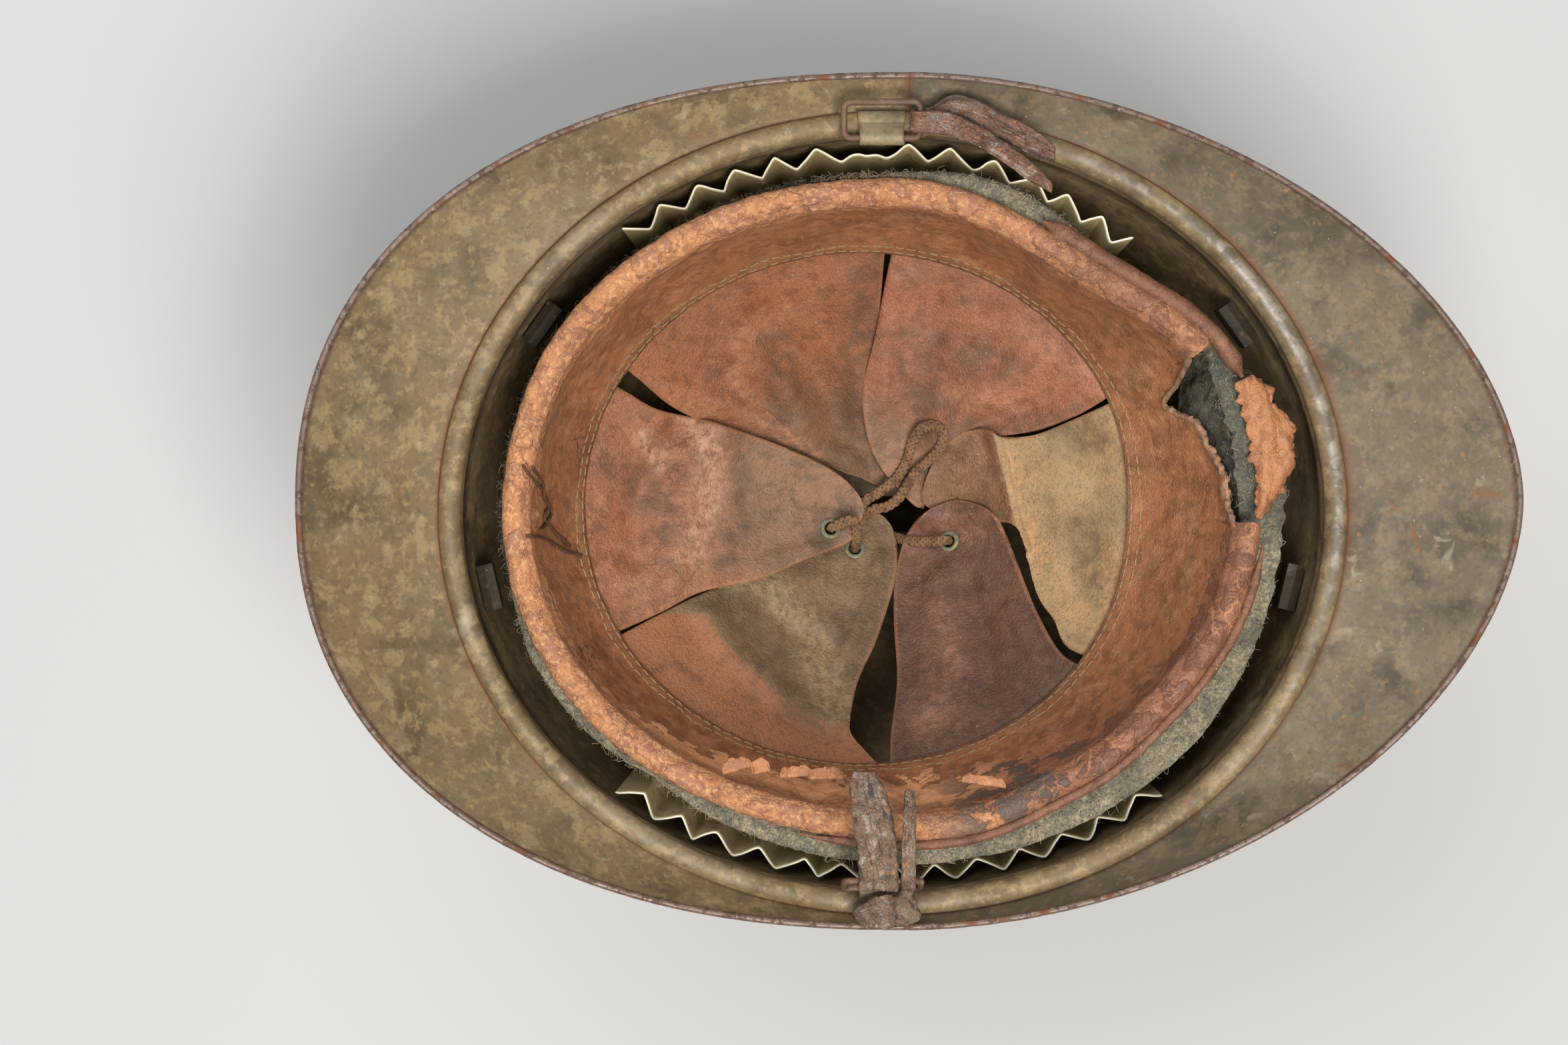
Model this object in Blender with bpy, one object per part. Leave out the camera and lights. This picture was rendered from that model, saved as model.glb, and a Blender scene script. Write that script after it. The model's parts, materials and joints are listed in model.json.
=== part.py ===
"""Crested steel helmet with its leather liner, lying crown down with the opening up.

The front visor points along +X and the wearer's right side along +Y.
The origin is under the middle of the brims, where the comb meets the table.
"""

from math import acos, atan2, cos, degrees, hypot, pi, radians, sin, sqrt

import bmesh
import bpy
from mathutils import Matrix, Vector

# Overall sizes: the opening of the steel skull is measured at the inner edge of its bead
OPENING_LENGTH = 0.2196
OPENING_WIDTH = 0.1926
SKULL_DEPTH = 0.120
COMB_HEIGHT = 0.020
BRIM_PAST_ENDS = 0.0422
BRIM_PAST_SIDES = 0.0122
OPENING_SET_BACK = 0.0037
OPENING_SIDE_SHIFT = 0.0030

# Steel
SHEET = 0.0010
BRIM_SHEET = 0.0009
TRIM_SHEET = 0.0006
BEAD_RADIUS = 0.0030
BEAD_SHEET = 0.0008
COLLAR_DEPTH = 0.0130
COLLAR_STEP = 0.0005
WALL_OFFSET = 0.0010
DOME_FULLNESS = 2.2
CLEARANCE = 0.0003
CURVED_CLEARANCE = 0.0006

# Brims
FRONT_ROUNDNESS = 1.82
REAR_ROUNDNESS = 2.22
FRONT_RISE = 0.0160
REAR_RISE = 0.0200
SIDE_RISE = 0.0026
BRIM_TUCK = 0.0024
EDGE_ROLL = 0.0009
SEAM_PLACE = 0.0
SEAM_GAP = 0.0004

# Comb
COMB_FRONT_SHARE = 0.68
COMB_REAR_SHARE = 0.86
COMB_RIB_WIDTH = 0.0170
COMB_RIB_SHARE = 0.95
COMB_FLANGE = 0.0070
VENT_LENGTH = 0.060
VENT_WIDTH = 0.011

# Rivets
RIVET_RADIUS = 0.0012
RIVET_HEAD_RADIUS = 0.0024
RIVET_HEAD_HEIGHT = 0.0011
RIVET_RUN_SHARE = 0.80

# Strap loops
LOOP_LENGTH = 0.0210
LOOP_REACH = 0.0112
LOOP_WIRE_RADIUS = 0.0009
LOOP_CORNER = 0.0018
LOOP_SET_BACK = 0.0067
LOOP_AXIS_INSET = 0.0012
LOOP_AXIS_HEIGHT = 0.0017
RIGHT_LOOP_REST = 24.0
LEFT_LOOP_REST = 108.0
BRACKET_WIDTH = 0.0120
BRACKET_LEG = 0.0130
BRACKET_RIVET_DEPTH = 0.0102

# Strap ends
STRAP_THICKNESS = 0.0014
STRAP_WIDTH = 0.0080
STRAP_FOLD_WIDTH = 0.0048
STRAP_LENGTH = 0.0370
LEFT_STRAP_WIDTH = 0.0096
LEFT_STRAP_LENGTH = 0.0290
LEFT_FLAP_LENGTH = 0.0190
LEFT_FLAP_WIDTH = 0.0160
STRAP_SIDE_SHIFT = 0.0012
FLAP_SIDE_SHIFT = 0.0012
NARROW_END_LENGTH = 0.0230
NARROW_END_WIDTH = 0.0030

# Corrugated spacers
SPACER_SHEET = 0.00045
SPACER_TOP = 0.0150
SPACER_HEIGHT = 0.0220
SPACER_WAVE = 0.0048
SPACER_WAVES = 13
SPACER_STEPS = 6
SPACER_SPANS = {"spacer_right": (52.0, 129.5), "spacer_left": (-130.7, -49.8)}

# Liner
LINER_GAP_ENDS = 0.0102
LINER_GAP_SIDES = 0.0112
BAND_SET_BACK = 0.0035
BAND_SIDE_SHIFT = 0.0022
BAND_TOP = 0.0050
BAND_ROLL = 0.0050
BAND_ROLL_DROP = 0.0050
LEATHER = 0.0015
BAND_TAPER_ENDS = 0.0252
BAND_TAPER_SIDES = 0.0151
RING_SET_BACK = 0.0120
RING_SIDE_SHIFT = 0.0015
RING_DEPTH = 0.0460
CROWN_GAP = 0.0320
HUB_SIDE_SHIFT = 0.0010
FELT_TOP = 0.0095
FELT_TOP_DROP = 0.0080
FELT_BOTTOM = 0.0360
TONGUE_TIP_HALF = 0.0078
TONGUE_LEVEL = 0.0026
TONGUE_ROOT_GAP = 0.0018
EYELET_FROM_TIP = 0.0098
EYELET_BORE = 0.0017
EYELET_BARREL = 0.0022
EYELET_FLANGE = 0.0030
EYELET_LIP = 0.00045
CLIP_WIDTH = 0.0120
CLIP_TOP = 0.0200
CLIP_LENGTH = 0.0150
CLIP_HOOK = 0.0050
CLIP_ANGLES = {"front_left": -12.0, "front_right": 32.0, "rear_right": 148.0, "rear_left": 192.0}
LACE_RADIUS = 0.00085
THREAD_RADIUS = 0.0005
SEAM_STITCH = 0.0062
SEAM_STITCHES = 6
SEAM_TOP_SHARE = 0.16
SEAM_RUN_SHARE = 0.50

# Places worked out from the sizes above
RIM = SKULL_DEPTH + COMB_HEIGHT
OPENING_CENTRE = Vector((-OPENING_SET_BACK, -OPENING_SIDE_SHIFT))
OPENING_HALF = Vector((OPENING_LENGTH / 2, OPENING_WIDTH / 2))
BRIM_HALF = OPENING_HALF + Vector((BRIM_PAST_ENDS, BRIM_PAST_SIDES))
SKULL_HALF = OPENING_HALF + Vector((WALL_OFFSET + SHEET, WALL_OFFSET + SHEET))
BAND_CENTRE = Vector((-BAND_SET_BACK, -BAND_SIDE_SHIFT))
BAND_HALF = OPENING_HALF - Vector((LINER_GAP_ENDS, LINER_GAP_SIDES))
RING_CENTRE = Vector((-RING_SET_BACK, -RING_SIDE_SHIFT))
RING_HALF = BAND_HALF - Vector((BAND_TAPER_ENDS, BAND_TAPER_SIDES))
HUB = Vector((0, -HUB_SIDE_SHIFT))
HUB_DEPTH = SKULL_DEPTH - CROWN_GAP
BRIM_SEAT = BEAD_RADIUS
LOOP_RISE = LOOP_REACH - 2 * LOOP_WIRE_RADIUS
STRAP_WRAP = LOOP_WIRE_RADIUS + CLEARANCE + STRAP_THICKNESS / 2
FELT_OUTSET = SPACER_WAVE + CURVED_CLEARANCE

# Headband: how far its worn top edge swells outward at an angle in degrees, in shares of its half sizes
BAND_SWELL_SHARES = ((-60, -0.035), (-40, -0.060), (-12, -0.055), (28, -0.030), (54, -0.085), (90, 0.0),
                     (118, 0.015), (142, 0.020), (172, 0.005), (215, 0.010), (255, -0.008), (280, 0.0),
                     (300, -0.035))

# Tongues: slit angles in degrees on the stitched ring, then the tip, in shares of the ring's
# half length and half width, how high it lies in the pile, and its eyelet's sideways share
TONGUE_SHARES = {
    "tongue_1": (82.7, 150.0, -0.055, 0.085, 0, 0.0),
    "tongue_2": (23.2, 82.7, 0.098, 0.003, 1, 0.0),
    "tongue_3": (-34.4, 23.2, 0.190, 0.020, 2, 0.0),
    "tongue_4": (-85.1, -34.4, 0.235, -0.005, 0, 0.4),
    "tongue_5": (-151.8, -85.1, -0.110, -0.045, 0, -0.3),
    "tongue_6": (150.0, 208.2, -0.118, -0.010, 2, -0.8),
}

# Strap end at the right loop, in shares of its length: along, sideways and up from the loop's arm
UPPER_LEG_SHARES = ((0.08, 0.0, 0.05), (0.24, -0.02, 0.075), (0.42, -0.09, 0.10),
                    (0.62, -0.20, 0.13), (0.82, -0.32, 0.16), (1.0, -0.43, 0.18))
LOWER_LEG_SHARES = ((0.08, 0.0, -0.05), (0.22, 0.07, -0.055), (0.40, 0.03, -0.02),
                    (0.60, -0.06, 0.01), (0.78, -0.15, 0.055), (0.92, -0.22, 0.09))

# Strap ends at the left loop: sideways in shares of the width, then inward and up from the
# outer bar in shares of the length, then the width
LEFT_END_SHARES = ((-0.38, 0.94, 0.02, 0.50), (-0.30, 0.80, 0.06, 0.85), (-0.18, 0.60, 0.10, 1.0),
                   (-0.08, 0.38, 0.12, 1.0), (-0.02, 0.18, 0.11, 1.0))
NARROW_END_SHARES = ((0.1, 1.0, 0.10, 0.5), (0.1, 0.75, 0.13, 0.9), (0.0, 0.45, 0.15, 1.0),
                     (0.0, 0.20, 0.13, 1.0))
FLAP_SHARES = ((0.26, -0.19, -0.04, 0.2), (0.13, -0.25, -0.17, 0.6), (0.0, -0.39, -0.295, 1.0),
               (0.0, -0.57, -0.28, 0.95), (-0.12, -0.655, -0.275, 0.2))

# Drawstring: an eyelet and the way through it, or a place in shares of the ring's half sizes and
# a lift over the bowl in shares of the pile's level
LACE_ROUTE_SHARES = (
    (0.10, -0.14, -1.9), (0.05, -0.09, -1.2), (-0.015, -0.045, 0.4), (-0.035, -0.015, 2.2),
    (-0.075, 0.015, 3.4), (-0.075, 0.075, 3.3), (-0.02, 0.125, 2.7), (0.045, 0.185, 2.2),
    (0.115, 0.255, 1.9), (0.165, 0.305, 1.9), (0.200, 0.295, 1.95), (0.195, 0.250, 1.95),
    (0.135, 0.185, 2.0), (0.070, 0.115, 2.3), (0.020, 0.055, 2.6), (0.010, -0.005, 2.4),
    (0.025, -0.070, 1.2), (0.010, -0.125, 0.9), (0.050, -0.160, 1.1), (0.115, -0.155, 1.15),
    (0.180, -0.150, 1.5), ("tongue_4", 1), (0.215, -0.215, -1.6), (0.120, -0.270, -1.9),
    (-0.020, -0.280, -1.8), (-0.110, -0.240, -1.7), ("tongue_5", -1), (-0.205, -0.170, 3.6),
    ("tongue_6", 1),
)


def material(name, colour, roughness, metallic):
    """A Principled material with a plain colour."""
    result = bpy.data.materials.new(name)
    result.use_nodes = True
    shader = result.node_tree.nodes["Principled BSDF"]
    shader.inputs["Base Color"].default_value = (*colour, 1)
    shader.inputs["Roughness"].default_value = roughness
    shader.inputs["Metallic"].default_value = metallic
    return result


def clear_scene():
    """Remove whatever the scene holds."""
    for item in list(bpy.data.objects):
        bpy.data.objects.remove(item, do_unlink=True)


def make_object(name, mesh_data, finish, smooth=50):
    """Link a bmesh as a named object whose faces point out."""
    bmesh.ops.recalc_face_normals(mesh_data, faces=mesh_data.faces)
    mesh = bpy.data.meshes.new(name)
    mesh_data.to_mesh(mesh)
    mesh_data.free()
    mesh.shade_smooth()
    mesh.set_sharp_from_angle(angle=radians(smooth))
    mesh.materials.append(finish)
    result = bpy.data.objects.new(name, mesh)
    bpy.context.scene.collection.objects.link(result)
    return result


def bridge(mesh_data, first, second, closed=True):
    """Join two rows of vertices with quads."""
    count = len(first)
    for i in range(count if closed else count - 1):
        j = (i + 1) % count
        mesh_data.faces.new((first[i], first[j], second[j], second[i]))


def cap(mesh_data, row):
    """Close an outline with strips from its first half across to its second half."""
    first, last = 0, len(row) - 1
    while last - first > 1:
        corners = [row[first], row[first + 1], row[last]]
        if last - first > 2:
            corners.insert(2, row[last - 1])
        mesh_data.faces.new(corners)
        first += 1
        last -= 1


def loft(name, sections, finish, ring=False, smooth=50):
    """A solid through closed sections, with end caps unless it closes on itself."""
    mesh_data = bmesh.new()
    rows = [[mesh_data.verts.new(p) for p in section] for section in sections]
    for a, b in zip(rows, rows[1:]):
        bridge(mesh_data, a, b)
    if ring:
        bridge(mesh_data, rows[-1], rows[0])
    else:
        cap(mesh_data, rows[0])
        cap(mesh_data, rows[-1])
    return make_object(name, mesh_data, finish, smooth)


def ring_stack(name, rings, start, end, finish, smooth=50):
    """A solid through rings, closed at both ends by a point."""
    mesh_data = bmesh.new()
    rows = [[mesh_data.verts.new(p) for p in ring] for ring in rings]
    for a, b in zip(rows, rows[1:]):
        bridge(mesh_data, a, b)
    for row, point in ((rows[0], start), (rows[-1], end)):
        tip = mesh_data.verts.new(point)
        for i, vertex in enumerate(row):
            mesh_data.faces.new((vertex, row[(i + 1) % len(row)], tip))
    return make_object(name, mesh_data, finish, smooth)


def sheet_solid(name, grid, up, thickness, finish):
    """A sheet of even thickness from a grid of its middle points."""
    mesh_data = bmesh.new()
    half = up * thickness / 2
    top = [[mesh_data.verts.new(p + half) for p in row] for row in grid]
    low = [[mesh_data.verts.new(p - half) for p in row] for row in grid]
    for layer in (top, low):
        for a, b in zip(layer, layer[1:]):
            bridge(mesh_data, a, b, closed=False)
    rims = ((top[0], low[0]), (top[-1], low[-1]),
            ([r[0] for r in top], [r[0] for r in low]),
            ([r[-1] for r in top], [r[-1] for r in low]))
    for a, b in rims:
        bridge(mesh_data, a, b, closed=False)
    return make_object(name, mesh_data, finish)


def thick_path(points, thickness):
    """The closed outline of a sheet that follows a path drawn in its section."""
    sides = ([], [])
    for i, point in enumerate(points):
        along = (points[min(i + 1, len(points) - 1)] - points[max(i - 1, 0)]).normalized()
        across = Vector((-along.y, along.x)) * thickness / 2
        sides[0].append(point + across)
        sides[1].append(point - across)
    return sides[0] + sides[1][::-1]


def smooth_curve(points, steps):
    """Points on a smooth curve through the given ones."""
    result = []
    last = len(points) - 1
    for i in range(last):
        a, b = points[max(i - 1, 0)], points[i]
        c, d = points[i + 1], points[min(i + 2, last)]
        for k in range(steps):
            t = k / steps
            result.append(0.5 * (2 * b + (c - a) * t + (2 * a - 5 * b + 4 * c - d) * t * t
                                 + (3 * b - a - 3 * c + d) * t ** 3))
    return result + [points[last]]


def tube(name, points, radius, sides, finish, closed=False):
    """A round tube along a path, turned as little as possible from ring to ring."""
    count = len(points)
    sections = []
    across = None
    for i, point in enumerate(points):
        after = points[(i + 1) % count] if closed else points[min(i + 1, count - 1)]
        before = points[i - 1] if closed else points[max(i - 1, 0)]
        along = (after - before).normalized()
        if across is None:
            across = along.orthogonal().normalized()
        across = (across - along * across.dot(along)).normalized()
        up = along.cross(across)
        sections.append([point + (across * cos(a) + up * sin(a)) * radius
                         for a in (2 * pi * k / sides for k in range(sides))])
    return loft(name, sections, finish, ring=closed, smooth=80)


def ellipse(centre, half, angle):
    """A point on an ellipse in plan."""
    return Vector((centre.x + half.x * cos(angle), centre.y + half.y * sin(angle)))


def ellipse_ring(centre, half, height, count):
    """A closed ring of points on a level ellipse."""
    return [ellipse(centre, half, 2 * pi * i / count).to_3d() + Vector((0, 0, height))
            for i in range(count)]


def dome_share(depth, full_depth):
    """How wide the skull is at a depth under its rim, as a share of its width at the rim."""
    return (1 - min(depth / full_depth, 1) ** DOME_FULLNESS) ** (1 / DOME_FULLNESS)


def dome_depth(x, y):
    """Depth of the skull's outer face under the rim at a place in plan."""
    share = hypot((x - OPENING_CENTRE.x) / SKULL_HALF.x, (y - OPENING_CENTRE.y) / SKULL_HALF.y)
    return SKULL_DEPTH * (1 - min(share, 1) ** DOME_FULLNESS) ** (1 / DOME_FULLNESS)


def dome_point(x, y):
    """A point on the skull's outer face."""
    return Vector((x, y, RIM - dome_depth(x, y)))


def dome_normal(x, y):
    """The direction out of the skull at a point on its outer face."""
    step = SHEET / 10
    along = dome_point(x + step, y) - dome_point(x - step, y)
    side = dome_point(x, y + step) - dome_point(x, y - step)
    return -along.cross(side).normalized()


def wall_half(depth):
    """Half sizes of the skull's inner face at a depth under the rim."""
    inner = SKULL_HALF - Vector((SHEET, SHEET))
    return inner * dome_share(depth, SKULL_DEPTH - SHEET)


STEEL = material("worn_olive_steel", (0.16, 0.145, 0.09), 0.55, 0.6)
BRIGHT_STEEL = material("worn_grey_steel", (0.20, 0.19, 0.17), 0.5, 0.8)
RUSTY_STEEL = material("rusty_steel", (0.16, 0.09, 0.05), 0.7, 0.5)
PALE_METAL = material("dull_pale_metal", (0.50, 0.46, 0.32), 0.4, 0.9)
BRASS = material("aged_brass", (0.35, 0.28, 0.12), 0.5, 0.9)
BROWN_LEATHER = material("red_brown_leather", (0.29, 0.12, 0.06), 0.65, 0.0)
DARK_LEATHER = material("dark_brown_leather", (0.17, 0.09, 0.055), 0.7, 0.0)
CRACKED_LEATHER = material("cracked_grey_leather", (0.13, 0.09, 0.08), 0.8, 0.0)
WOOL = material("grey_wool", (0.16, 0.17, 0.15), 0.95, 0.0)
LACE = material("brown_lace", (0.17, 0.09, 0.05), 0.9, 0.0)


def make_skull():
    """The one-piece dome, its rim rolled outward into a bead, open at the crown under the comb."""
    count = 56
    steps = 10
    rings = []
    for i in range(1, steps + 1):
        turn = (pi / 2) * i / (steps + 0.6)
        share = sin(turn) ** (2 / DOME_FULLNESS)
        depth = SKULL_DEPTH * cos(turn) ** (2 / DOME_FULLNESS)
        rings.append((SKULL_HALF * share, RIM - depth))
    roll = Vector((BEAD_RADIUS, -BEAD_RADIUS))
    section = [Vector((BEAD_SHEET, -2 * BEAD_RADIUS))]
    for radius, turns in ((BEAD_RADIUS - BEAD_SHEET, (180, 125, 70, 18)),
                          (BEAD_RADIUS, (18, 55, 90, 130, 180))):
        section += [roll + Vector((cos(radians(a)), sin(radians(a)))) * radius for a in turns]
    groove = 2 * BEAD_RADIUS
    step = WALL_OFFSET - COLLAR_STEP
    section += [Vector((step, -groove)), Vector((step, -COLLAR_DEPTH)),
                Vector((WALL_OFFSET, -COLLAR_DEPTH - COLLAR_STEP))]
    rings += [(OPENING_HALF + Vector((p.x, p.x)), RIM + p.y) for p in section]
    for i in range(steps - 1, 0, -1):
        turn = (pi / 2) * i / (steps + 0.6)
        share = sin(turn) ** (2 / DOME_FULLNESS)
        depth = (SKULL_DEPTH - SHEET) * cos(turn) ** (2 / DOME_FULLNESS)
        rings.append(((SKULL_HALF - Vector((SHEET, SHEET))) * share, RIM - depth))
    loops = [ellipse_ring(OPENING_CENTRE, half, height, count) for half, height in rings]
    crown = OPENING_CENTRE.to_3d() + Vector((0, 0, RIM - SKULL_DEPTH))
    skull = ring_stack("skull", loops, crown, crown + Vector((0, 0, SHEET)), STEEL)
    vent = bmesh.new()
    bmesh.ops.create_cone(vent, cap_ends=True, segments=24, radius1=0.5, radius2=0.5, depth=1)
    bmesh.ops.scale(vent, vec=(VENT_LENGTH, VENT_WIDTH, COMB_HEIGHT), verts=vent.verts)
    bmesh.ops.translate(vent, vec=crown, verts=vent.verts)
    cut(skull, make_object("vent_cutter", vent, STEEL))
    return skull


def cut(target, cutter):
    """Subtract a hidden cutter from an object."""
    cutter.hide_render = True
    cutter.display_type = "WIRE"
    modifier = target.modifiers.new(cutter.name, "BOOLEAN")
    modifier.operation = "DIFFERENCE"
    modifier.solver = "EXACT"
    modifier.object = cutter


def brim_reach(start, out):
    """How far the brims' outer edge lies from a place on the bead, straight out from it."""
    low, high = 0, BRIM_HALF.x
    for _ in range(40):
        middle = (low + high) / 2
        p = start + out * middle
        power = FRONT_ROUNDNESS if p.x > 0 else REAR_ROUNDNESS
        share = (abs(p.x) / (BRIM_HALF.x - EDGE_ROLL)) ** power
        share += (abs(p.y) / (BRIM_HALF.y - EDGE_ROLL)) ** power
        if share > 1:
            high = middle
        else:
            low = middle
    return low


def make_brim(name, start, end, rise):
    """One half of the brim, its inner edge held under the skull's bead, its outer edge rolled."""
    count = 26
    sections = []
    for i in range(count + 1):
        angle = start + (end - start) * i / count
        inner = ellipse(OPENING_CENTRE, OPENING_HALF, angle)
        out = Vector((cos(angle) / OPENING_HALF.x, sin(angle) / OPENING_HALF.y)).normalized()
        reach = brim_reach(inner, out)
        tip_rise = SIDE_RISE + (rise - SIDE_RISE) * abs(cos(angle)) ** 1.5
        first = 2 * BEAD_RADIUS - BRIM_TUCK
        flat = 2 * BEAD_RADIUS
        path = [Vector((first, -BRIM_SEAT - BRIM_SHEET / 2))]
        for share in (0, 0.2, 0.45, 0.7, 1):
            level = (tip_rise + BRIM_SEAT) * share ** 1.25 - BRIM_SEAT - BRIM_SHEET / 2
            path.append(Vector((flat + (reach - flat) * share, level)))
        outline = thick_path(path, BRIM_SHEET)
        middle = len(path)
        end_along = (path[-1] - path[-2]).normalized()
        facing = atan2(end_along.y, end_along.x)
        knob = [path[-1] + Vector((cos(facing + a), sin(facing + a))) * EDGE_ROLL
                for a in (radians(d) for d in (120, 70, 20, -20, -70, -120))]
        outline = outline[:middle - 1] + knob + outline[middle + 1:]
        base = inner.to_3d() + Vector((0, 0, RIM))
        sections.append([base + (out * p.x).to_3d() + Vector((0, 0, p.y)) for p in outline])
    return loft(name, sections, STEEL)


def comb_frame(share):
    """Place and directions along the comb: share runs from -1 at the rear to 1 at the front."""
    reach = COMB_FRONT_SHARE if share > 0 else COMB_REAR_SHARE
    x = OPENING_CENTRE.x + SKULL_HALF.x * reach * sin(share * pi / 4) / sin(pi / 4)
    y = OPENING_CENTRE.y
    return dome_point(x, y), dome_normal(x, y)


def drop_to_skull(base, out, side):
    """How far the skull's outer face lies under the tangent plane, beside the comb's middle."""
    low, high = -COMB_HEIGHT, COMB_HEIGHT
    for _ in range(30):
        middle = (low + high) / 2
        p = base + Vector((0, side, 0)) + out * middle
        if p.z < RIM - dome_depth(p.x, p.y):
            high = middle
        else:
            low = middle
    return low


def comb_rib_half(share):
    """Half width of the comb's raised rib."""
    return COMB_RIB_WIDTH / 2 * (1 - 0.45 * share * share)


def make_comb():
    """The raised hollow crest over the crown, with a flat flange on each side."""
    count = 22
    across_shares = (-1, -0.94, -0.75, -0.4, 0, 0.4, 0.75, 0.94, 1)
    sections = []
    for i in range(count + 1):
        share = -1 + 2 * i / count
        base, out = comb_frame(share)
        rib = comb_rib_half(share)
        inner_rib = rib - SHEET
        end_round = sqrt(max(1 - share ** 6, 0.12))
        flange = rib + COMB_FLANGE * end_round
        rise = max(1 - abs(share / COMB_RIB_SHARE) ** 2.4, 0) ** 0.8
        height = (COMB_HEIGHT - SHEET - CURVED_CLEARANCE) * rise
        upper = [(-flange, 0)] + [(s * rib, height * (1 - abs(s) ** 2.4) ** 0.7) for s in across_shares]
        upper.append((flange, 0))
        lower = [(-flange, 0)] + [(s * inner_rib, height * (1 - abs(s) ** 2.4) ** 0.7)
                                  for s in across_shares]
        lower.append((flange, 0))
        section = []
        for points, lift in ((upper, CURVED_CLEARANCE + SHEET), (lower[::-1], CURVED_CLEARANCE)):
            for side, raised in points:
                level = drop_to_skull(base, out, side) + lift + raised
                section.append(base + Vector((0, side, 0)) + out * level)
        sections.append(section)
    return loft("comb", sections, STEEL)


def make_rivet(name, base, out, inside, outside, finish):
    """A rivet through two sheets: a domed head outside and a flat one inside."""
    count = 10
    side = out.orthogonal().normalized()
    other = out.cross(side)
    head = RIVET_HEAD_RADIUS
    profile = ((head * 0.7, -inside - RIVET_HEAD_HEIGHT * 0.7), (head * 0.85, -inside - CLEARANCE),
               (RIVET_RADIUS, -inside - CLEARANCE), (RIVET_RADIUS, outside + CLEARANCE),
               (head, outside + CLEARANCE), (head * 0.8, outside + RIVET_HEAD_HEIGHT * 0.7))
    rings = [[base + (side * cos(a) + other * sin(a)) * r + out * h
              for a in (2 * pi * k / count for k in range(count))] for r, h in profile]
    start = base - out * (inside + RIVET_HEAD_HEIGHT)
    end = base + out * (outside + RIVET_HEAD_HEIGHT)
    return ring_stack(name, rings, start, end, finish, smooth=40)


def rivet_cutter(name, base, out):
    """A rod that clears a rivet's shank."""
    rod = bmesh.new()
    bmesh.ops.create_cone(rod, cap_ends=True, segments=12, radius1=RIVET_RADIUS + CLEARANCE,
                          radius2=RIVET_RADIUS + CLEARANCE, depth=COMB_HEIGHT / 2)
    turn = out.to_track_quat("Z", "Y").to_matrix().to_4x4()
    bmesh.ops.transform(rod, matrix=Matrix.Translation(base) @ turn, verts=rod.verts)
    return make_object(name, rod, STEEL)


def make_comb_rivets(skull, comb):
    """Two rivets near each end of the comb, one through each flange."""
    number = 0
    for share in (-RIVET_RUN_SHARE, RIVET_RUN_SHARE):
        middle, _ = comb_frame(share)
        for side in (-1, 1):
            number += 1
            reach = comb_rib_half(share) + COMB_FLANGE / 2
            y = OPENING_CENTRE.y + side * reach
            base, out = dome_point(middle.x, y), dome_normal(middle.x, y)
            cutter = rivet_cutter(f"comb_rivet_cutter_{number}", base, out)
            cut(skull, cutter)
            cut(comb, cutter)
            make_rivet(f"comb_rivet_{number}", base, out, SHEET + CLEARANCE,
                       CURVED_CLEARANCE + SHEET, BRIGHT_STEEL)


def loop_axis(side):
    """The middle of a loop's hinge bar. side is 1 on the wearer's right and -1 on the left."""
    x = -LOOP_SET_BACK
    share = (x - BRACKET_WIDTH / 2 - OPENING_CENTRE.x) / OPENING_HALF.x
    edge = OPENING_CENTRE.y + side * OPENING_HALF.y * sqrt(1 - share * share)
    return Vector((x, edge - side * LOOP_AXIS_INSET, RIM + LOOP_AXIS_HEIGHT))


def make_bracket(word, side, skull):
    """A strip folded round the loop's bar, over the bead and down the wall, where it is riveted."""
    bar = Vector((-LOOP_AXIS_INSET, LOOP_AXIS_HEIGHT))
    wrap = LOOP_WIRE_RADIUS + CLEARANCE + TRIM_SHEET / 2
    over = BEAD_RADIUS + CLEARANCE + TRIM_SHEET / 2
    roll = Vector((BEAD_RADIUS, -BEAD_RADIUS))
    leg = WALL_OFFSET - COLLAR_STEP - CLEARANCE - TRIM_SHEET / 2
    path = [roll + Vector((cos(radians(a)), sin(radians(a)))) * over for a in (35, 55, 75, 92)]
    path += [bar + Vector((cos(radians(a)), sin(radians(a)))) * wrap
             for a in (62, 90, 118, 146, 174, 202, 226)]
    path.append(Vector((-CLEARANCE - TRIM_SHEET / 2, -BEAD_RADIUS)))
    path.append(Vector((leg, -2 * BEAD_RADIUS)))
    path.append(Vector((leg, -BRACKET_LEG)))
    outline = thick_path(path, TRIM_SHEET)
    origin = loop_axis(side)
    zero = Vector((origin.x, origin.y + side * LOOP_AXIS_INSET, RIM))
    sections = []
    for x in (-BRACKET_WIDTH / 2, BRACKET_WIDTH / 2):
        sections.append([zero + Vector((x, side * p.x, p.y)) for p in outline])
    bracket = loft(f"loop_bracket_{word}", sections, BRIGHT_STEEL)
    base = zero + Vector((0, side * (WALL_OFFSET + SHEET), -BRACKET_RIVET_DEPTH))
    out = Vector((0, side, 0))
    cutter = rivet_cutter(f"bracket_rivet_cutter_{word}", base, out)
    cut(skull, cutter)
    cut(bracket, cutter)
    inside = WALL_OFFSET + SHEET - leg + TRIM_SHEET / 2
    make_rivet(f"bracket_rivet_{word}", base, out, inside, 0, BRIGHT_STEEL)


def loop_frame(side, angle):
    """Turns the loop's own frame to its place: its y runs from the hinge bar to the outer bar."""
    turn = radians(angle)
    along = Vector((1, 0, 0))
    out = Vector((0, side * cos(turn), sin(turn)))
    frame = Matrix((along, out, along.cross(out))).transposed().to_4x4()
    return Matrix.Translation(loop_axis(side)) @ frame


def pivot(name, place, carrier=None):
    """An empty on a joint's axis, placed in its carrier's frame, for what turns there to hang on."""
    empty = bpy.data.objects.new(name, None)
    empty.empty_display_size = LOOP_REACH
    bpy.context.scene.collection.objects.link(empty)
    return hang(empty, carrier, place)


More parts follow.
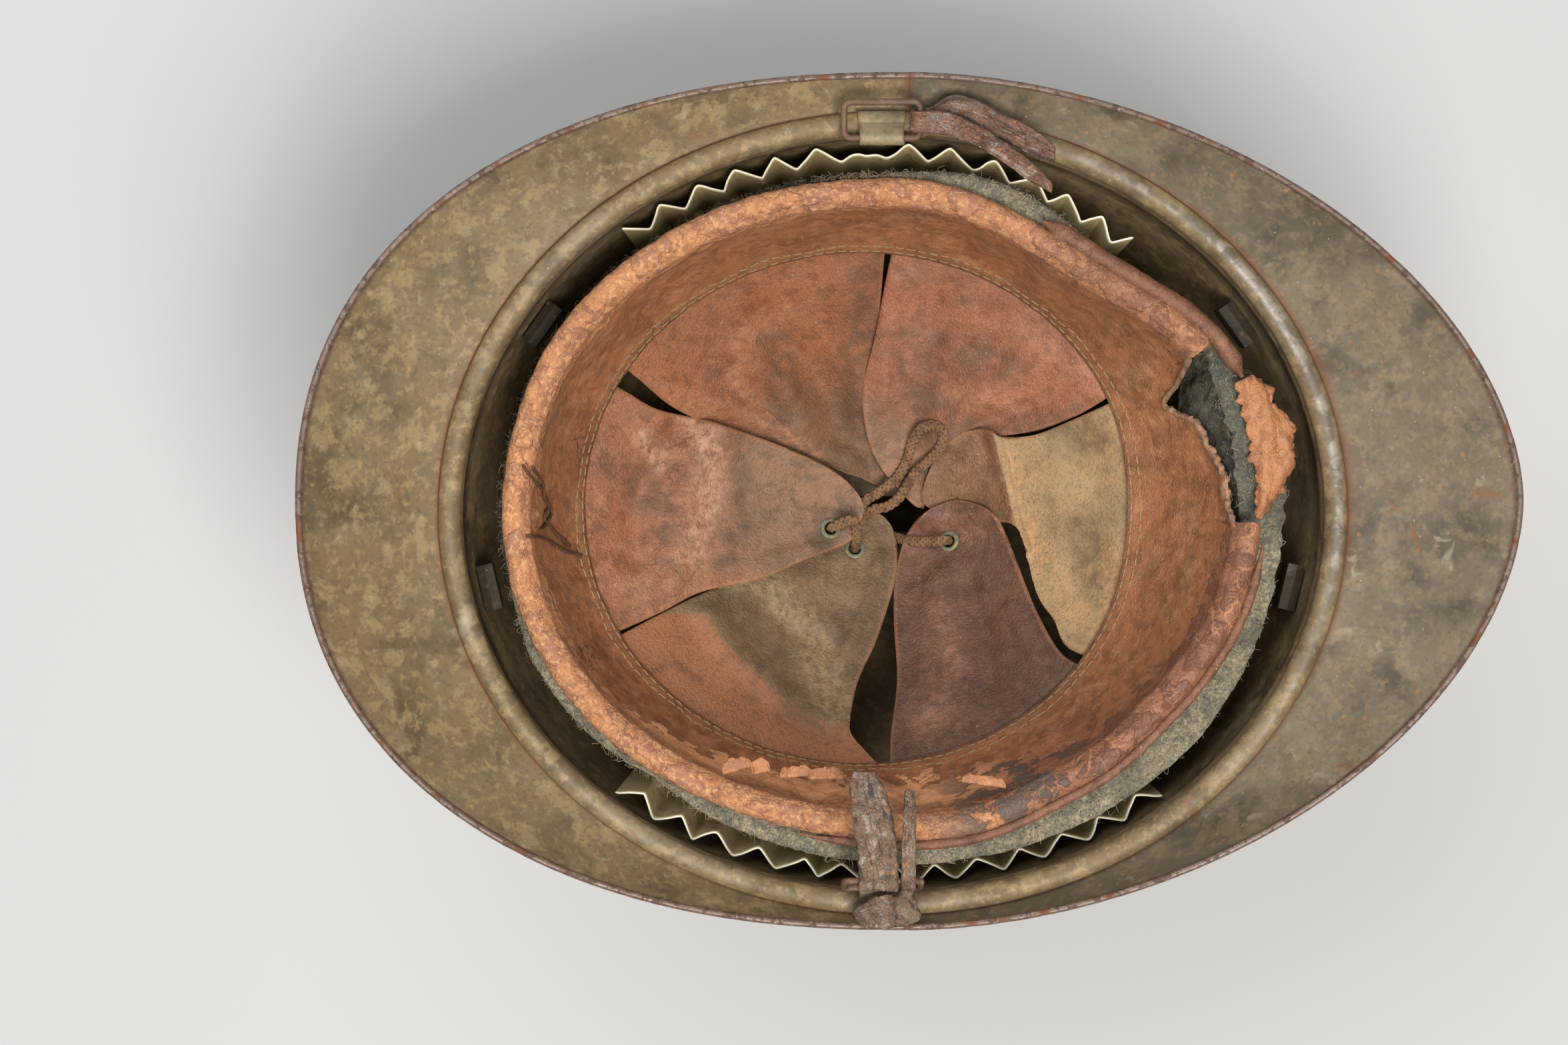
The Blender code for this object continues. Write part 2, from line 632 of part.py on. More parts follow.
def hang(piece, carrier, place):
    """Place a piece in its carrier's frame."""
    piece.parent = carrier
    piece.matrix_basis = place
    return piece


def make_loop(name, carrier):
    """A wire loop with rounded corners, drawn from the bar that its bracket holds."""
    half = LOOP_LENGTH / 2 - LOOP_WIRE_RADIUS
    corners = ((half, 0, 0), (half, LOOP_RISE, 90), (-half, LOOP_RISE, 180), (-half, 0, 270))
    path = []
    for x, y, turn in corners:
        inward = Vector((-1 if x > 0 else 1, 1 if y == 0 else -1, 0))
        centre = Vector((x, y, 0)) + inward * LOOP_CORNER
        for k in range(4):
            a = radians(turn - 90 + 90 * k / 3)
            path.append(centre + Vector((cos(a), sin(a), 0)) * LOOP_CORNER)
    loop = tube(name, path, LOOP_WIRE_RADIUS, 7, RUSTY_STEEL, closed=True)
    return hang(loop, carrier, Matrix())


def strap_solid(name, stations):
    """A strap through stations: a point, a direction across it and a width at each."""
    sections = []
    for i, (point, across, width) in enumerate(stations):
        after = stations[min(i + 1, len(stations) - 1)][0]
        before = stations[max(i - 1, 0)][0]
        along = (after - before).normalized()
        across = (across - along * across.dot(along)).normalized()
        up = along.cross(across) * STRAP_THICKNESS / 2
        half = across * width / 2
        sections.append([point + s for s in (half + up, -half + up, -half - up, half - up)])
    return loft(name, sections, CRACKED_LEATHER)


def make_right_strap(loop_pivot):
    """The torn strap end folded round the right loop's front arm: two ends side by side."""
    arm = Matrix.Translation(Vector((LOOP_LENGTH / 2 - LOOP_WIRE_RADIUS, LOOP_RISE / 2, 0)))
    carrier = pivot("right_strap_pivot", arm, loop_pivot)
    across = Vector((0, 1, 0))
    stations = []
    for along, side, lift in reversed(LOWER_LEG_SHARES):
        point = Vector((along, side, lift)) * STRAP_LENGTH
        point.z = min(point.z, -STRAP_WRAP) if along < 0.3 else point.z
        width = STRAP_FOLD_WIDTH + (STRAP_WIDTH - STRAP_FOLD_WIDTH) * min(along * 3, 1)
        stations.append((point, across, width * (0.5 if along > 0.9 else 1)))
    for turn in (-90, -125, -160, -200, -235, -270):
        a = radians(turn)
        stations.append((Vector((cos(a), 0, sin(a))) * STRAP_WRAP, across, STRAP_FOLD_WIDTH))
    for along, side, lift in UPPER_LEG_SHARES:
        point = Vector((along, side, lift)) * STRAP_LENGTH
        point.z = max(point.z, STRAP_WRAP)
        width = STRAP_FOLD_WIDTH + (STRAP_WIDTH - STRAP_FOLD_WIDTH) * min(along * 3, 1)
        stations.append((point, across, width * (0.35 if along == 1 else 1)))
    return hang(strap_solid("strap_end_right", stations), carrier, Matrix())


def hung_stations(table, length, width, shift):
    """Strap stations from places in shares of the strap's width and length.

    Each place says how far it lies sideways, inward and up from the loop's outer bar.
    """
    return [(Vector((shift + side * width, reach * length, lift * length)), Vector((1, 0, 0)), width * wide)
            for side, reach, lift, wide in table]


def over_bar(shift, width, turns):
    """Strap stations round a loop's outer bar."""
    return [(Vector((shift, cos(radians(a)) * STRAP_WRAP, sin(radians(a)) * STRAP_WRAP)),
             Vector((1, 0, 0)), width) for a in turns]


def make_left_straps(loop_pivot):
    """Two strap ends over the left loop's outer bar: one stands up, one ends in a torn flap."""
    level = loop_frame(-1, LEFT_LOOP_REST).to_3x3().inverted().to_4x4()
    bar = Matrix.Translation(Vector((0, LOOP_RISE, 0))) @ level
    carrier = pivot("left_strap_pivot", bar, loop_pivot)
    stations = hung_stations(LEFT_END_SHARES, LEFT_STRAP_LENGTH, LEFT_STRAP_WIDTH, -STRAP_SIDE_SHIFT)
    stations += over_bar(-STRAP_SIDE_SHIFT, LEFT_STRAP_WIDTH, (70, 105, 140, 175, 210, 240))
    hang(strap_solid("strap_end_left", stations), carrier, Matrix())
    beside = LOOP_LENGTH / 2 - LOOP_WIRE_RADIUS - LOOP_CORNER - NARROW_END_WIDTH / 2
    stations = hung_stations(NARROW_END_SHARES, NARROW_END_LENGTH, NARROW_END_WIDTH, beside)
    stations += over_bar(beside, NARROW_END_WIDTH, (70, 105, 140, 175))
    stations += hung_stations(FLAP_SHARES, LEFT_FLAP_LENGTH, LEFT_FLAP_WIDTH, FLAP_SIDE_SHIFT)
    hang(strap_solid("strap_flap_left", stations), loop_pivot, bar)


def make_spacer(name, start, end):
    """A strip of corrugated sheet that stands between the skull's wall and the felt."""
    count = SPACER_WAVES * SPACER_STEPS
    wave_shares = (1, 0.8, 0.2, 0, 0.2, 0.8)
    rows = []
    for depth in (SPACER_TOP, SPACER_TOP + SPACER_HEIGHT):
        half = wall_half(depth)
        row = []
        for i in range(count + 1):
            angle = radians(start + (end - start) * i / count)
            inset = CURVED_CLEARANCE + SPACER_WAVE * (1 - wave_shares[i % SPACER_STEPS])
            row.append(ellipse(OPENING_CENTRE, half - Vector((inset, inset)), angle))
        rows.append(row)
    sections = []
    for i in range(count + 1):
        section = []
        for row, depth in ((rows[0], SPACER_TOP), (rows[1], SPACER_TOP + SPACER_HEIGHT)):
            along = (row[min(i + 1, count)] - row[max(i - 1, 0)]).normalized()
            across = Vector((-along.y, along.x)) * SPACER_SHEET / 2
            pair = [(row[i] + across).to_3d(), (row[i] - across).to_3d()]
            if depth > SPACER_TOP:
                pair.reverse()
            section += [p + Vector((0, 0, RIM - depth)) for p in pair]
        sections.append(section)
    return loft(name, sections, PALE_METAL)


def wall_reach(place, out, depth):
    """How far the skull's inner face at a depth lies from a place in plan, straight along out."""
    half = wall_half(depth)
    start = place - OPENING_CENTRE
    u = Vector((start.x / half.x, start.y / half.y))
    v = Vector((out.x / half.x, out.y / half.y))
    across = u.dot(v)
    return (sqrt(across * across - v.dot(v) * (u.dot(u) - 1)) - across) / v.dot(v)


def make_clip(name, angle):
    """A spring strip soldered to the wall, bent in to grip the felt's back."""
    turn = radians(angle)
    zero = ellipse(OPENING_CENTRE, OPENING_HALF, turn)
    out = Vector((cos(turn) / OPENING_HALF.x, sin(turn) / OPENING_HALF.y)).normalized()
    side = Vector((-out.y, out.x))
    edges = [zero + side * s for s in (-CLIP_WIDTH / 2, 0, CLIP_WIDTH / 2)]
    path = []
    for depth in (CLIP_TOP + CLIP_LENGTH, CLIP_TOP + CLIP_LENGTH / 2, CLIP_TOP):
        wall = min(wall_reach(edge, out, depth) for edge in edges)
        path.append(Vector((wall - CURVED_CLEARANCE - TRIM_SHEET / 2, -depth)))
    inner = -FELT_OUTSET + CLEARANCE + TRIM_SHEET / 2
    path.append(Vector(((path[-1].x + inner) / 2, CLIP_WIDTH / 10 - CLIP_TOP)))
    path.append(Vector((inner, -CLIP_TOP)))
    path.append(Vector((inner, -CLIP_TOP - CLIP_HOOK)))
    outline = thick_path(path, TRIM_SHEET)
    sections = [[(edge + out * p.x).to_3d() + Vector((0, 0, RIM + p.y)) for p in outline] for edge in edges]
    return loft(f"liner_clip_{name}", sections, BRIGHT_STEEL)


def band_swell(angle):
    """The band's half sizes at an angle, with the swell of its worn top edge."""
    turn = degrees(angle) % 360
    turn = turn - 360 if turn > BAND_SWELL_SHARES[-1][0] else turn
    for (start, first), (end, last) in zip(BAND_SWELL_SHARES, BAND_SWELL_SHARES[1:]):
        if start <= turn <= end:
            way = (1 - cos(pi * (turn - start) / (end - start))) / 2
            return BAND_HALF * (1 + first + (last - first) * way)
    return BAND_HALF


def band_place(angle, share):
    """A point on the leather band's middle surface: share runs from its top to the stitched ring."""
    inward = share ** 1.3
    top = ellipse(BAND_CENTRE, band_swell(angle), angle)
    low = ellipse(RING_CENTRE, RING_HALF, angle)
    plan = top.lerp(low, inward)
    depth = BAND_TOP + (RING_DEPTH - BAND_TOP) * share
    return plan.to_3d() + Vector((0, 0, RIM - depth))


def make_headband():
    """The leather band round the head, rolled outward at its top edge."""
    count = 42
    shares = (0.08, 0.25, 0.45, 0.65, 0.84, 1)
    sections = []
    for i in range(count):
        angle = 2 * pi * i / count
        out = Vector((cos(angle) / BAND_HALF.x, sin(angle) / BAND_HALF.y)).normalized()
        top = band_place(angle, 0)
        path = [Vector((0, -BAND_ROLL_DROP)), Vector((0, -BAND_ROLL / 2)),
                Vector((-BAND_ROLL / 2, 0)), Vector((-BAND_ROLL, -BAND_ROLL / 2))]
        shift = LEATHER / 2 + BAND_ROLL
        for share in shares:
            place = band_place(angle, share)
            flat = (place - top).to_2d().dot(out)
            path.append(Vector((flat - shift * (1 - share), place.z - top.z - LEATHER / 2)))
        outline = thick_path(path, LEATHER)
        sections.append([top + (out * (p.x - LEATHER / 2)).to_3d() + Vector((0, 0, p.y)) for p in outline])
    return loft("headband", sections, BROWN_LEATHER, ring=True)


def make_felt():
    """The wool felt band between the leather and the spacers."""
    count = 48
    sections = []
    outer_half = OPENING_HALF - Vector((FELT_OUTSET, FELT_OUTSET))
    for i in range(count):
        angle = 2 * pi * i / count
        inner_half = band_swell(angle) + Vector((CURVED_CLEARANCE, CURVED_CLEARANCE))
        top = FELT_TOP + FELT_TOP_DROP * cos(angle) ** 2
        section = []
        for centre, half, depths in ((OPENING_CENTRE, outer_half, (top, FELT_BOTTOM)),
                                     (BAND_CENTRE, inner_half, (FELT_BOTTOM, top))):
            for depth in depths:
                full = dome_share(depth, SKULL_DEPTH) if centre is OPENING_CENTRE else 1
                shrink = 1 - (1 - full) * (OPENING_HALF.x / half.x)
                place = ellipse(centre, half * shrink, angle)
                section.append(place.to_3d() + Vector((0, 0, RIM - depth)))
        sections.append(section)
    return loft("felt_band", sections, WOOL, ring=True)


def tongue_height(place, level):
    """Height of a tongue's middle surface at a place in plan, in the shallow bowl they form."""
    offset = place - RING_CENTRE
    angle = atan2(offset.y / RING_HALF.y, offset.x / RING_HALF.x)
    edge = ellipse(RING_CENTRE, RING_HALF, angle)
    share = min((place - HUB).length / (edge - HUB).length, 1)
    rise = HUB_DEPTH - RING_DEPTH - LEATHER - CURVED_CLEARANCE
    ramp = min(max((0.94 - share) / 0.4, 0), 1)
    ramp = ramp * ramp * (3 - 2 * ramp)
    return RIM - HUB_DEPTH + rise * share ** 1.4 + level * TONGUE_LEVEL * ramp


def tongue_tip(name):
    """The tip of a tongue in plan."""
    _, _, x, y, _, _ = TONGUE_SHARES[name]
    return Vector((x * RING_HALF.x, y * RING_HALF.y)) + HUB * 0.5


def tongue_root(name, across):
    """A point on a tongue's root: across runs from -1 to 1."""
    start, end = TONGUE_SHARES[name][:2]
    trim = degrees(TONGUE_ROOT_GAP / RING_HALF.y)
    middle, half = (start + end) / 2, (end - start) / 2 - trim
    inset = Vector((2 * CLEARANCE, 2 * CLEARANCE))
    return ellipse(RING_CENTRE, RING_HALF - inset, radians(middle + half * across))


def tongue_place(name, along, across):
    """A point of a tongue in plan: along runs from its root to its tip."""
    root = tongue_root(name, across)
    tip = tongue_tip(name)
    axis = (tip - tongue_root(name, 0)).normalized()
    side = Vector((-axis.y, axis.x))
    if (tongue_root(name, 1) - tongue_root(name, -1)).dot(side) < 0:
        side = -side
    end = tip + side * across * TONGUE_TIP_HALF - axis * TONGUE_TIP_HALF * abs(across) ** 3
    return root.lerp(end, along)


def eyelet_place(name):
    """Where a tongue's eyelet sits."""
    tip = tongue_tip(name)
    axis = (tongue_root(name, 0) - tip).normalized()
    side = Vector((axis.y, -axis.x))
    share = TONGUE_SHARES[name][5]
    plan = tip + axis * EYELET_FROM_TIP + side * share * TONGUE_TIP_HALF
    return plan.to_3d() + Vector((0, 0, tongue_height(plan, TONGUE_SHARES[name][4])))


def eyelet_frame(name):
    """Turns an eyelet's own frame to its place, its axis square to the leather."""
    centre = eyelet_place(name)
    level = TONGUE_SHARES[name][4]
    reach = EYELET_FLANGE
    slopes = [(tongue_height(centre.to_2d() + step, level) - tongue_height(centre.to_2d() - step, level))
              / (2 * reach) for step in (Vector((reach, 0)), Vector((0, reach)))]
    up = Vector((-slopes[0], -slopes[1], 1))
    return Matrix.Translation(centre) @ up.to_track_quat("Z", "Y").to_matrix().to_4x4()


def make_tongue(name):
    """One leather tongue from the stitched ring to the middle of the bowl."""
    level = TONGUE_SHARES[name][4]
    grid = []
    for i in range(9):
        row = []
        for j in range(7):
            place = tongue_place(name, i / 8, -1 + 2 * j / 6)
            row.append(Vector((place.x, place.y, tongue_height(place, level))))
        grid.append(row)
    tongue = sheet_solid(name, grid, Vector((0, 0, 1)), LEATHER, DARK_LEATHER)
    hole = bmesh.new()
    bmesh.ops.create_cone(hole, cap_ends=True, segments=14, radius1=EYELET_BARREL + CLEARANCE,
                          radius2=EYELET_BARREL + CLEARANCE, depth=6 * LEATHER)
    bmesh.ops.transform(hole, matrix=eyelet_frame(name), verts=hole.verts)
    cut(tongue, make_object(f"{name}_eyelet_cutter", hole, STEEL))
    return tongue


def make_eyelet(name, number):
    """A brass eyelet clinched through a tongue."""
    count = 10
    place = eyelet_frame(name)
    seat = LEATHER / 2 + CURVED_CLEARANCE
    lip = seat + EYELET_LIP
    profile = ((EYELET_BORE, -lip), (EYELET_FLANGE, -lip), (EYELET_FLANGE, -seat), (EYELET_BARREL, -seat),
               (EYELET_BARREL, seat), (EYELET_FLANGE, seat), (EYELET_FLANGE, lip), (EYELET_BORE, lip))
    sections = []
    for k in range(count):
        a = 2 * pi * k / count
        sections.append([place @ Vector((r * cos(a), r * sin(a), h)) for r, h in profile])
    return loft(f"eyelet_{number}", sections, BRASS, ring=True, smooth=40)


def make_drawstring():
    """The lace that gathers the tongues: a bight on top, then through three eyelets."""
    reach = LEATHER / 2 + CURVED_CLEARANCE + EYELET_LIP + LACE_RADIUS
    points = []
    for entry in LACE_ROUTE_SHARES:
        if len(entry) == 2:
            name, way = entry
            place = eyelet_frame(name)
            points += [place @ Vector((0, 0, way * lift)) for lift in (reach, 0, -reach)]
        else:
            x, y, lift = entry
            plan = Vector((x * RING_HALF.x, y * RING_HALF.y))
            points.append(plan.to_3d() + Vector((0, 0, tongue_height(plan, 0) + lift * TONGUE_LEVEL)))
    return tube("drawstring", smooth_curve(points[:-1], 2), LACE_RADIUS, 6, LACE)


def make_seam_thread():
    """The heavy thread laced across the headband's rear seam."""
    points = []
    crossings = SEAM_STITCHES * 2
    half_angle = SEAM_STITCH / 2 / RING_HALF.y
    for i in range(crossings + 1):
        share = SEAM_TOP_SHARE + SEAM_RUN_SHARE * i / crossings
        side = 1 if i % 2 else -1
        place = band_place(pi + side * half_angle, share)
        inward = (LEATHER / 2 + BAND_ROLL) * (1 - share) + LEATHER + THREAD_RADIUS + CURVED_CLEARANCE
        points.append(place + Vector((inward, 0, -LEATHER / 2)))
    return tube("rear_seam_thread", smooth_curve(points, 2), THREAD_RADIUS, 5, LACE)


def main():
    """Build every piece of the helmet."""
    skull = make_skull()
    seam = acos((SEAM_PLACE - OPENING_CENTRE.x) / OPENING_HALF.x)
    gap = SEAM_GAP / (2 * BRIM_HALF.x)
    make_brim("front_visor", -seam + gap, seam - gap, FRONT_RISE)
    make_brim("neck_guard", seam + gap, 2 * pi - seam - gap, REAR_RISE)
    comb = make_comb()
    make_comb_rivets(skull, comb)
    pivots = {}
    for word, side, rest in (("right", 1, RIGHT_LOOP_REST), ("left", -1, LEFT_LOOP_REST)):
        make_bracket(word, side, skull)
        pivots[word] = pivot(f"{word}_loop_pivot", loop_frame(side, rest))
        make_loop(f"strap_loop_{word}", pivots[word])
    make_right_strap(pivots["right"])
    make_left_straps(pivots["left"])
    for name, (start, end) in SPACER_SPANS.items():
        make_spacer(name, start, end)
    for name, angle in CLIP_ANGLES.items():
        make_clip(name, angle)
    make_felt()
    make_headband()
    for number, name in enumerate(TONGUE_SHARES, 1):
        make_tongue(name)
        make_eyelet(name, number)
    make_drawstring()
    make_seam_thread()


clear_scene()
main()
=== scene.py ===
import json
from math import acos, atan2, cos, degrees, pi, radians, sin, sqrt

import bmesh
import bpy
import numpy as np
from mathutils import Matrix, Vector, noise


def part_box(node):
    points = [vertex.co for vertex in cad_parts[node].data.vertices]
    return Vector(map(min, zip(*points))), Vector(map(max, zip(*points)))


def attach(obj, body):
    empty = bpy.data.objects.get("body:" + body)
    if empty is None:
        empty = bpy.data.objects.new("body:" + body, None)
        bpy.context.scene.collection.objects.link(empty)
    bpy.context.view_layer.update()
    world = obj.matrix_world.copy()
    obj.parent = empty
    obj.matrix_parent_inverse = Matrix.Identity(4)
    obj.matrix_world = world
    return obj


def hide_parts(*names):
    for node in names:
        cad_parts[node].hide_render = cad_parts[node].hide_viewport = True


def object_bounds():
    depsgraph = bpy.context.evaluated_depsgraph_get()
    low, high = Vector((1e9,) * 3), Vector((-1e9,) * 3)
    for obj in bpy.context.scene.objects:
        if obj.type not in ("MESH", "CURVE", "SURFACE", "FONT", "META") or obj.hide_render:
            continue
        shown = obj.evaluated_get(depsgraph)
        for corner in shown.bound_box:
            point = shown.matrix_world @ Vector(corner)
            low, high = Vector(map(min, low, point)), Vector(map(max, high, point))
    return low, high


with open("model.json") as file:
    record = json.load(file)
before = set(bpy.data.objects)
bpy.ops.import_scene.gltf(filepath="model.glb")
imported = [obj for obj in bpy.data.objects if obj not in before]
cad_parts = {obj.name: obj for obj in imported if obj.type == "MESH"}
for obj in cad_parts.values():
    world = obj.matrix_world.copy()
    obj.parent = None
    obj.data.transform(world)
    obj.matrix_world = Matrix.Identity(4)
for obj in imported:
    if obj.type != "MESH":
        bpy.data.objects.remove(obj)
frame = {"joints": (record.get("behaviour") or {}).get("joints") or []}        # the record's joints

bl_info = {
    "name": "Crested Steel Helmet",
    "version": (1, 0, 0),
    "blender": (4, 5, 0),
    "location": "3D View > Sidebar > Helmet",
    "description": "Builds a worn crested helmet with its leather liner around its packed frame",
    "category": "Object",
}

# Places read from the frame
CAD_BOX = [list(corner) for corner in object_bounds()]
SKULL_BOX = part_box("skull")
JOINTS = {joint["name"]: joint for joint in frame["joints"]}
RIM = SKULL_BOX[1].z
SKULL_DEPTH = RIM - SKULL_BOX[0].z
OPENING_CENTRE = ((SKULL_BOX[0] + SKULL_BOX[1]) / 2).to_2d()
BRIM_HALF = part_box("front_visor")[1].to_2d()

# Steel
SHEET = 0.001
BEAD_RADIUS = 0.003
BEAD_SHEET = 0.0008
BEAD_REACH = BEAD_RADIUS * (1 + cos(radians(18)))
WALL_OFFSET = 0.001
COLLAR_STEP = 0.0005
COLLAR_DEPTH = 0.013
BRIM_SHEET = 0.0009
BRIM_TUCK = 0.0024
EDGE_ROLL = 0.0009
FRONT_RISE = 0.016
REAR_RISE = 0.02
SIDE_RISE = 0.0026
FRONT_ROUNDNESS = 1.82
REAR_ROUNDNESS = 2.22
DOME_FULLNESS = 2.2
DOME_DENTS = 0.00018
CLEARANCE = 0.0003
CURVED_CLEARANCE = 0.0006
OPENING_HALF = ((SKULL_BOX[1] - SKULL_BOX[0]) / 2).to_2d() - Vector((BEAD_REACH, BEAD_REACH))
SKULL_HALF = OPENING_HALF + Vector((WALL_OFFSET + SHEET, WALL_OFFSET + SHEET))
VENT_HALF = Vector((0.03, 0.0055))
SEAM_GAP = 0.00005
HALVINGS = 40
COMB_HALVINGS = 30

# Rust on the brims beside the bead, row by row outward, and how far it spreads at the visor's right
BRIM_RUST_SHARES = (1, 1, 0.45, 0.2, 0.1, 0.05, 0, 0)
BRIM_RUST_SPREAD = (0, 0, 0.5, 0.7, 0.6, 0.45, 0.3, 0.1)

# Comb, rivets and strap loops
COMB_HEIGHT = SKULL_BOX[0].z
COMB_FRONT_SHARE = 0.68
COMB_REAR_SHARE = 0.86
COMB_RIB_WIDTH = 0.017
COMB_RIB_SHARE = 0.95
COMB_FLANGE = 0.007
RIVET_HEAD_RADIUS = 0.0024
RIVET_HEAD_HEIGHT = 0.0011
TRIM_SHEET = 0.0006
BRACKET_WIDTH = 0.012
BRACKET_LEG = 0.013
LOOP_LENGTH = 0.021
LOOP_REACH = 0.0112
LOOP_WIRE_RADIUS = 0.0009
LOOP_CORNER = 0.0018
LOOP_RISE = LOOP_REACH - 2 * LOOP_WIRE_RADIUS
LOOP_AXIS_INSET = 0.0012
LOOP_AXIS_HEIGHT = 0.0017
LOOP_RESTS = {"right": 24.0, "left": 108.0}

# Chin strap's torn ends
STRAP_THICKNESS = 0.0014
STRAP_WIDTH = 0.008
STRAP_FOLD_WIDTH = 0.0048
STRAP_LENGTH = 0.037
LEFT_STRAP_WIDTH = 0.0096
LEFT_STRAP_LENGTH = 0.029
LEFT_FLAP_LENGTH = 0.019
LEFT_FLAP_WIDTH = 0.016
STRAP_SIDE_SHIFT = 0.0012
NARROW_END_LENGTH = 0.023
NARROW_END_WIDTH = 0.003
STRAP_WRAP = LOOP_WIRE_RADIUS + CLEARANCE + STRAP_THICKNESS / 2
UPPER_LEG_SHARES = ((0.08, 0.0, 0.05), (0.24, -0.02, 0.075), (0.42, -0.09, 0.1), (0.62, -0.2, 0.13),
                    (0.82, -0.32, 0.16), (1.0, -0.43, 0.18))
LOWER_LEG_SHARES = ((0.08, 0.0, -0.05), (0.22, 0.07, -0.055), (0.4, 0.03, -0.02), (0.6, -0.06, 0.01),
                    (0.78, -0.15, 0.055), (0.92, -0.22, 0.09))
LEFT_END_SHARES = ((-0.38, 0.94, 0.02, 0.5), (-0.3, 0.8, 0.06, 0.85), (-0.18, 0.6, 0.1, 1.0),
                   (-0.08, 0.38, 0.12, 1.0), (-0.02, 0.18, 0.11, 1.0))
NARROW_END_SHARES = ((0.1, 1.0, 0.1, 0.5), (0.1, 0.75, 0.13, 0.9), (0.0, 0.45, 0.15, 1.0),
                     (0.0, 0.2, 0.13, 1.0))
FLAP_SHARES = ((0.26, -0.19, -0.04, 0.2), (0.13, -0.25, -0.17, 0.6), (0.0, -0.39, -0.295, 1.0),
               (0.0, -0.57, -0.28, 0.95), (-0.12, -0.655, -0.275, 0.2))

# Corrugated spacers
SPACER_SHEET = 0.00045
SPACER_TOP = 0.015
SPACER_HEIGHT = 0.022
SPACER_WAVE = 0.0048
SPACER_WAVES = 13
SPACER_SPANS = {"spacer_right": (52.0, 129.5), "spacer_left": (-130.7, -49.8)}

# Liner
LINER_GAP_ENDS = 0.0102
LINER_GAP_SIDES = 0.0112
BAND_CENTRE = Vector((-0.0035, -0.0022))
BAND_HALF = OPENING_HALF - Vector((LINER_GAP_ENDS, LINER_GAP_SIDES))
BAND_TOP = 0.005
BAND_ROLL = 0.005
BAND_ROLL_DROP = 0.005
LEATHER = 0.0015
RING_CENTRE = Vector((-0.012, -0.0015))
RING_HALF = BAND_HALF - Vector((0.0252, 0.0151))
RING_DEPTH = 0.046
HUB = Vector((0, -0.001))
HUB_DEPTH = SKULL_DEPTH - 0.032
FELT_TOP = 0.0095
FELT_TOP_DROP = 0.008
FELT_BOTTOM = 0.036
FELT_OUTSET = SPACER_WAVE + CURVED_CLEARANCE
TONGUE_LEVEL = 0.0026
EYELET_BORE = 0.0017
EYELET_BARREL = 0.0022
EYELET_FLANGE = 0.003
EYELET_LIP = 0.00045
RIVET_RADIUS = 0.0012
LACE_WIDTH = 0.0027
LACE_THICKNESS = 0.0012
LACE_PITCH = 0.0017
LACE_NECK = 0.36
LACE_NECK_REACH = 0.002
LACED_EYELETS = (4, 5, 6)
LACE_SMOOTHINGS = 30
THREAD_RADIUS = 0.0005
ANY_DIRECTION = (0.31, 0.17, 0.93)
STITCH_INSETS = (("inner", 0.0014), ("outer", 0.0044))
TONGUE_ROOT_SHARE = 1.036
EYELET_DIP = 0.0034
CURL_REACH = 0.0045
FELT_RIDGE = 0.0009
FIBRE_RADIUS = 0.00006
PEEL_SHEET = 0.0005

# How far the band's worn top edge swells outward at an angle in degrees, in shares of its half sizes
BAND_SWELL_SHARES = ((-60, -0.035), (-40, -0.06), (-12, -0.055), (28, -0.03), (54, -0.085), (90, 0.0),
                     (118, 0.015), (142, 0.02), (172, 0.005), (215, 0.01), (255, -0.008), (280, 0.0),
                     (300, -0.035))

# The tear at the band's front right: how far down it goes at an angle in degrees, as a share of the way
TEAR_SHARES = ((-3.0, 0.0), (-1.6, 0.06), (2.0, 0.1), (6.0, 0.14), (10.0, 0.19), (14.0, 0.23),
               (18.0, 0.29), (22.0, 0.4), (25.0, 0.52), (27.0, 0.5), (29.5, 0.24), (31.0, 0.06),
               (32.0, 0.0))

# How far the felt shows outside the band at an angle in degrees, as a share of the room it has
FELT_SHARES = ((-180, 0.1), (-168, 0.15), (-155, 0.75), (-140, 0.6), (-128, 0.15), (-118, 0.55),
               (-100, 0.8), (-85, 0.95), (-70, 1.0), (-40, 1.0), (-10, 0.75), (20, 0.55), (40, 0.1),
               (52, 0.12), (60, 0.3), (68, 0.55), (78, 0.7), (88, 0.35), (93, 0.05), (130, 0.0),
               (170, 0.05), (180, 0.1))

# Wear of the band's roll at an angle in degrees: how wide it is worn, kept whole and charred, in shares
ROLL_WEAR_SHARES = ((-180, 0.16, 0.0, 0), (-145, 0.22, 0.0, 0), (-125, 0.42, 0.0, 0),
                    (-108, 0.62, 0.0, 0), (-86, 0.66, 0.0, 0.1), (-76, 0.6, 0.3, 0.9),
                    (-64, 0.42, 0.9, 0.9), (-52, 0.24, 1.0, 0.15), (-8, 0.16, 0.95, 0), (6, 0.13, 0.2, 0),
                    (20, 0.16, 0.2, 0), (36, 0.16, 0.65, 0), (60, 0.15, 0.5, 0), (82, 0.15, 0.15, 0),
                    (120, 0.15, 0.0, 0), (180, 0.16, 0.0, 0))

# Leaves of leather that have peeled off the roll: place in metres, how long and wide, and its turn
PEELS = ((-0.0433, -0.0686, 0.0064, 0.0034, 196), (-0.0372, -0.0692, 0.0038, 0.0042, 190),
         (-0.0282, -0.0702, 0.0068, 0.003, 184), (-0.0205, -0.0708, 0.0072, 0.0034, 180),
         (0.0195, -0.0723, 0.0092, 0.0026, 172))

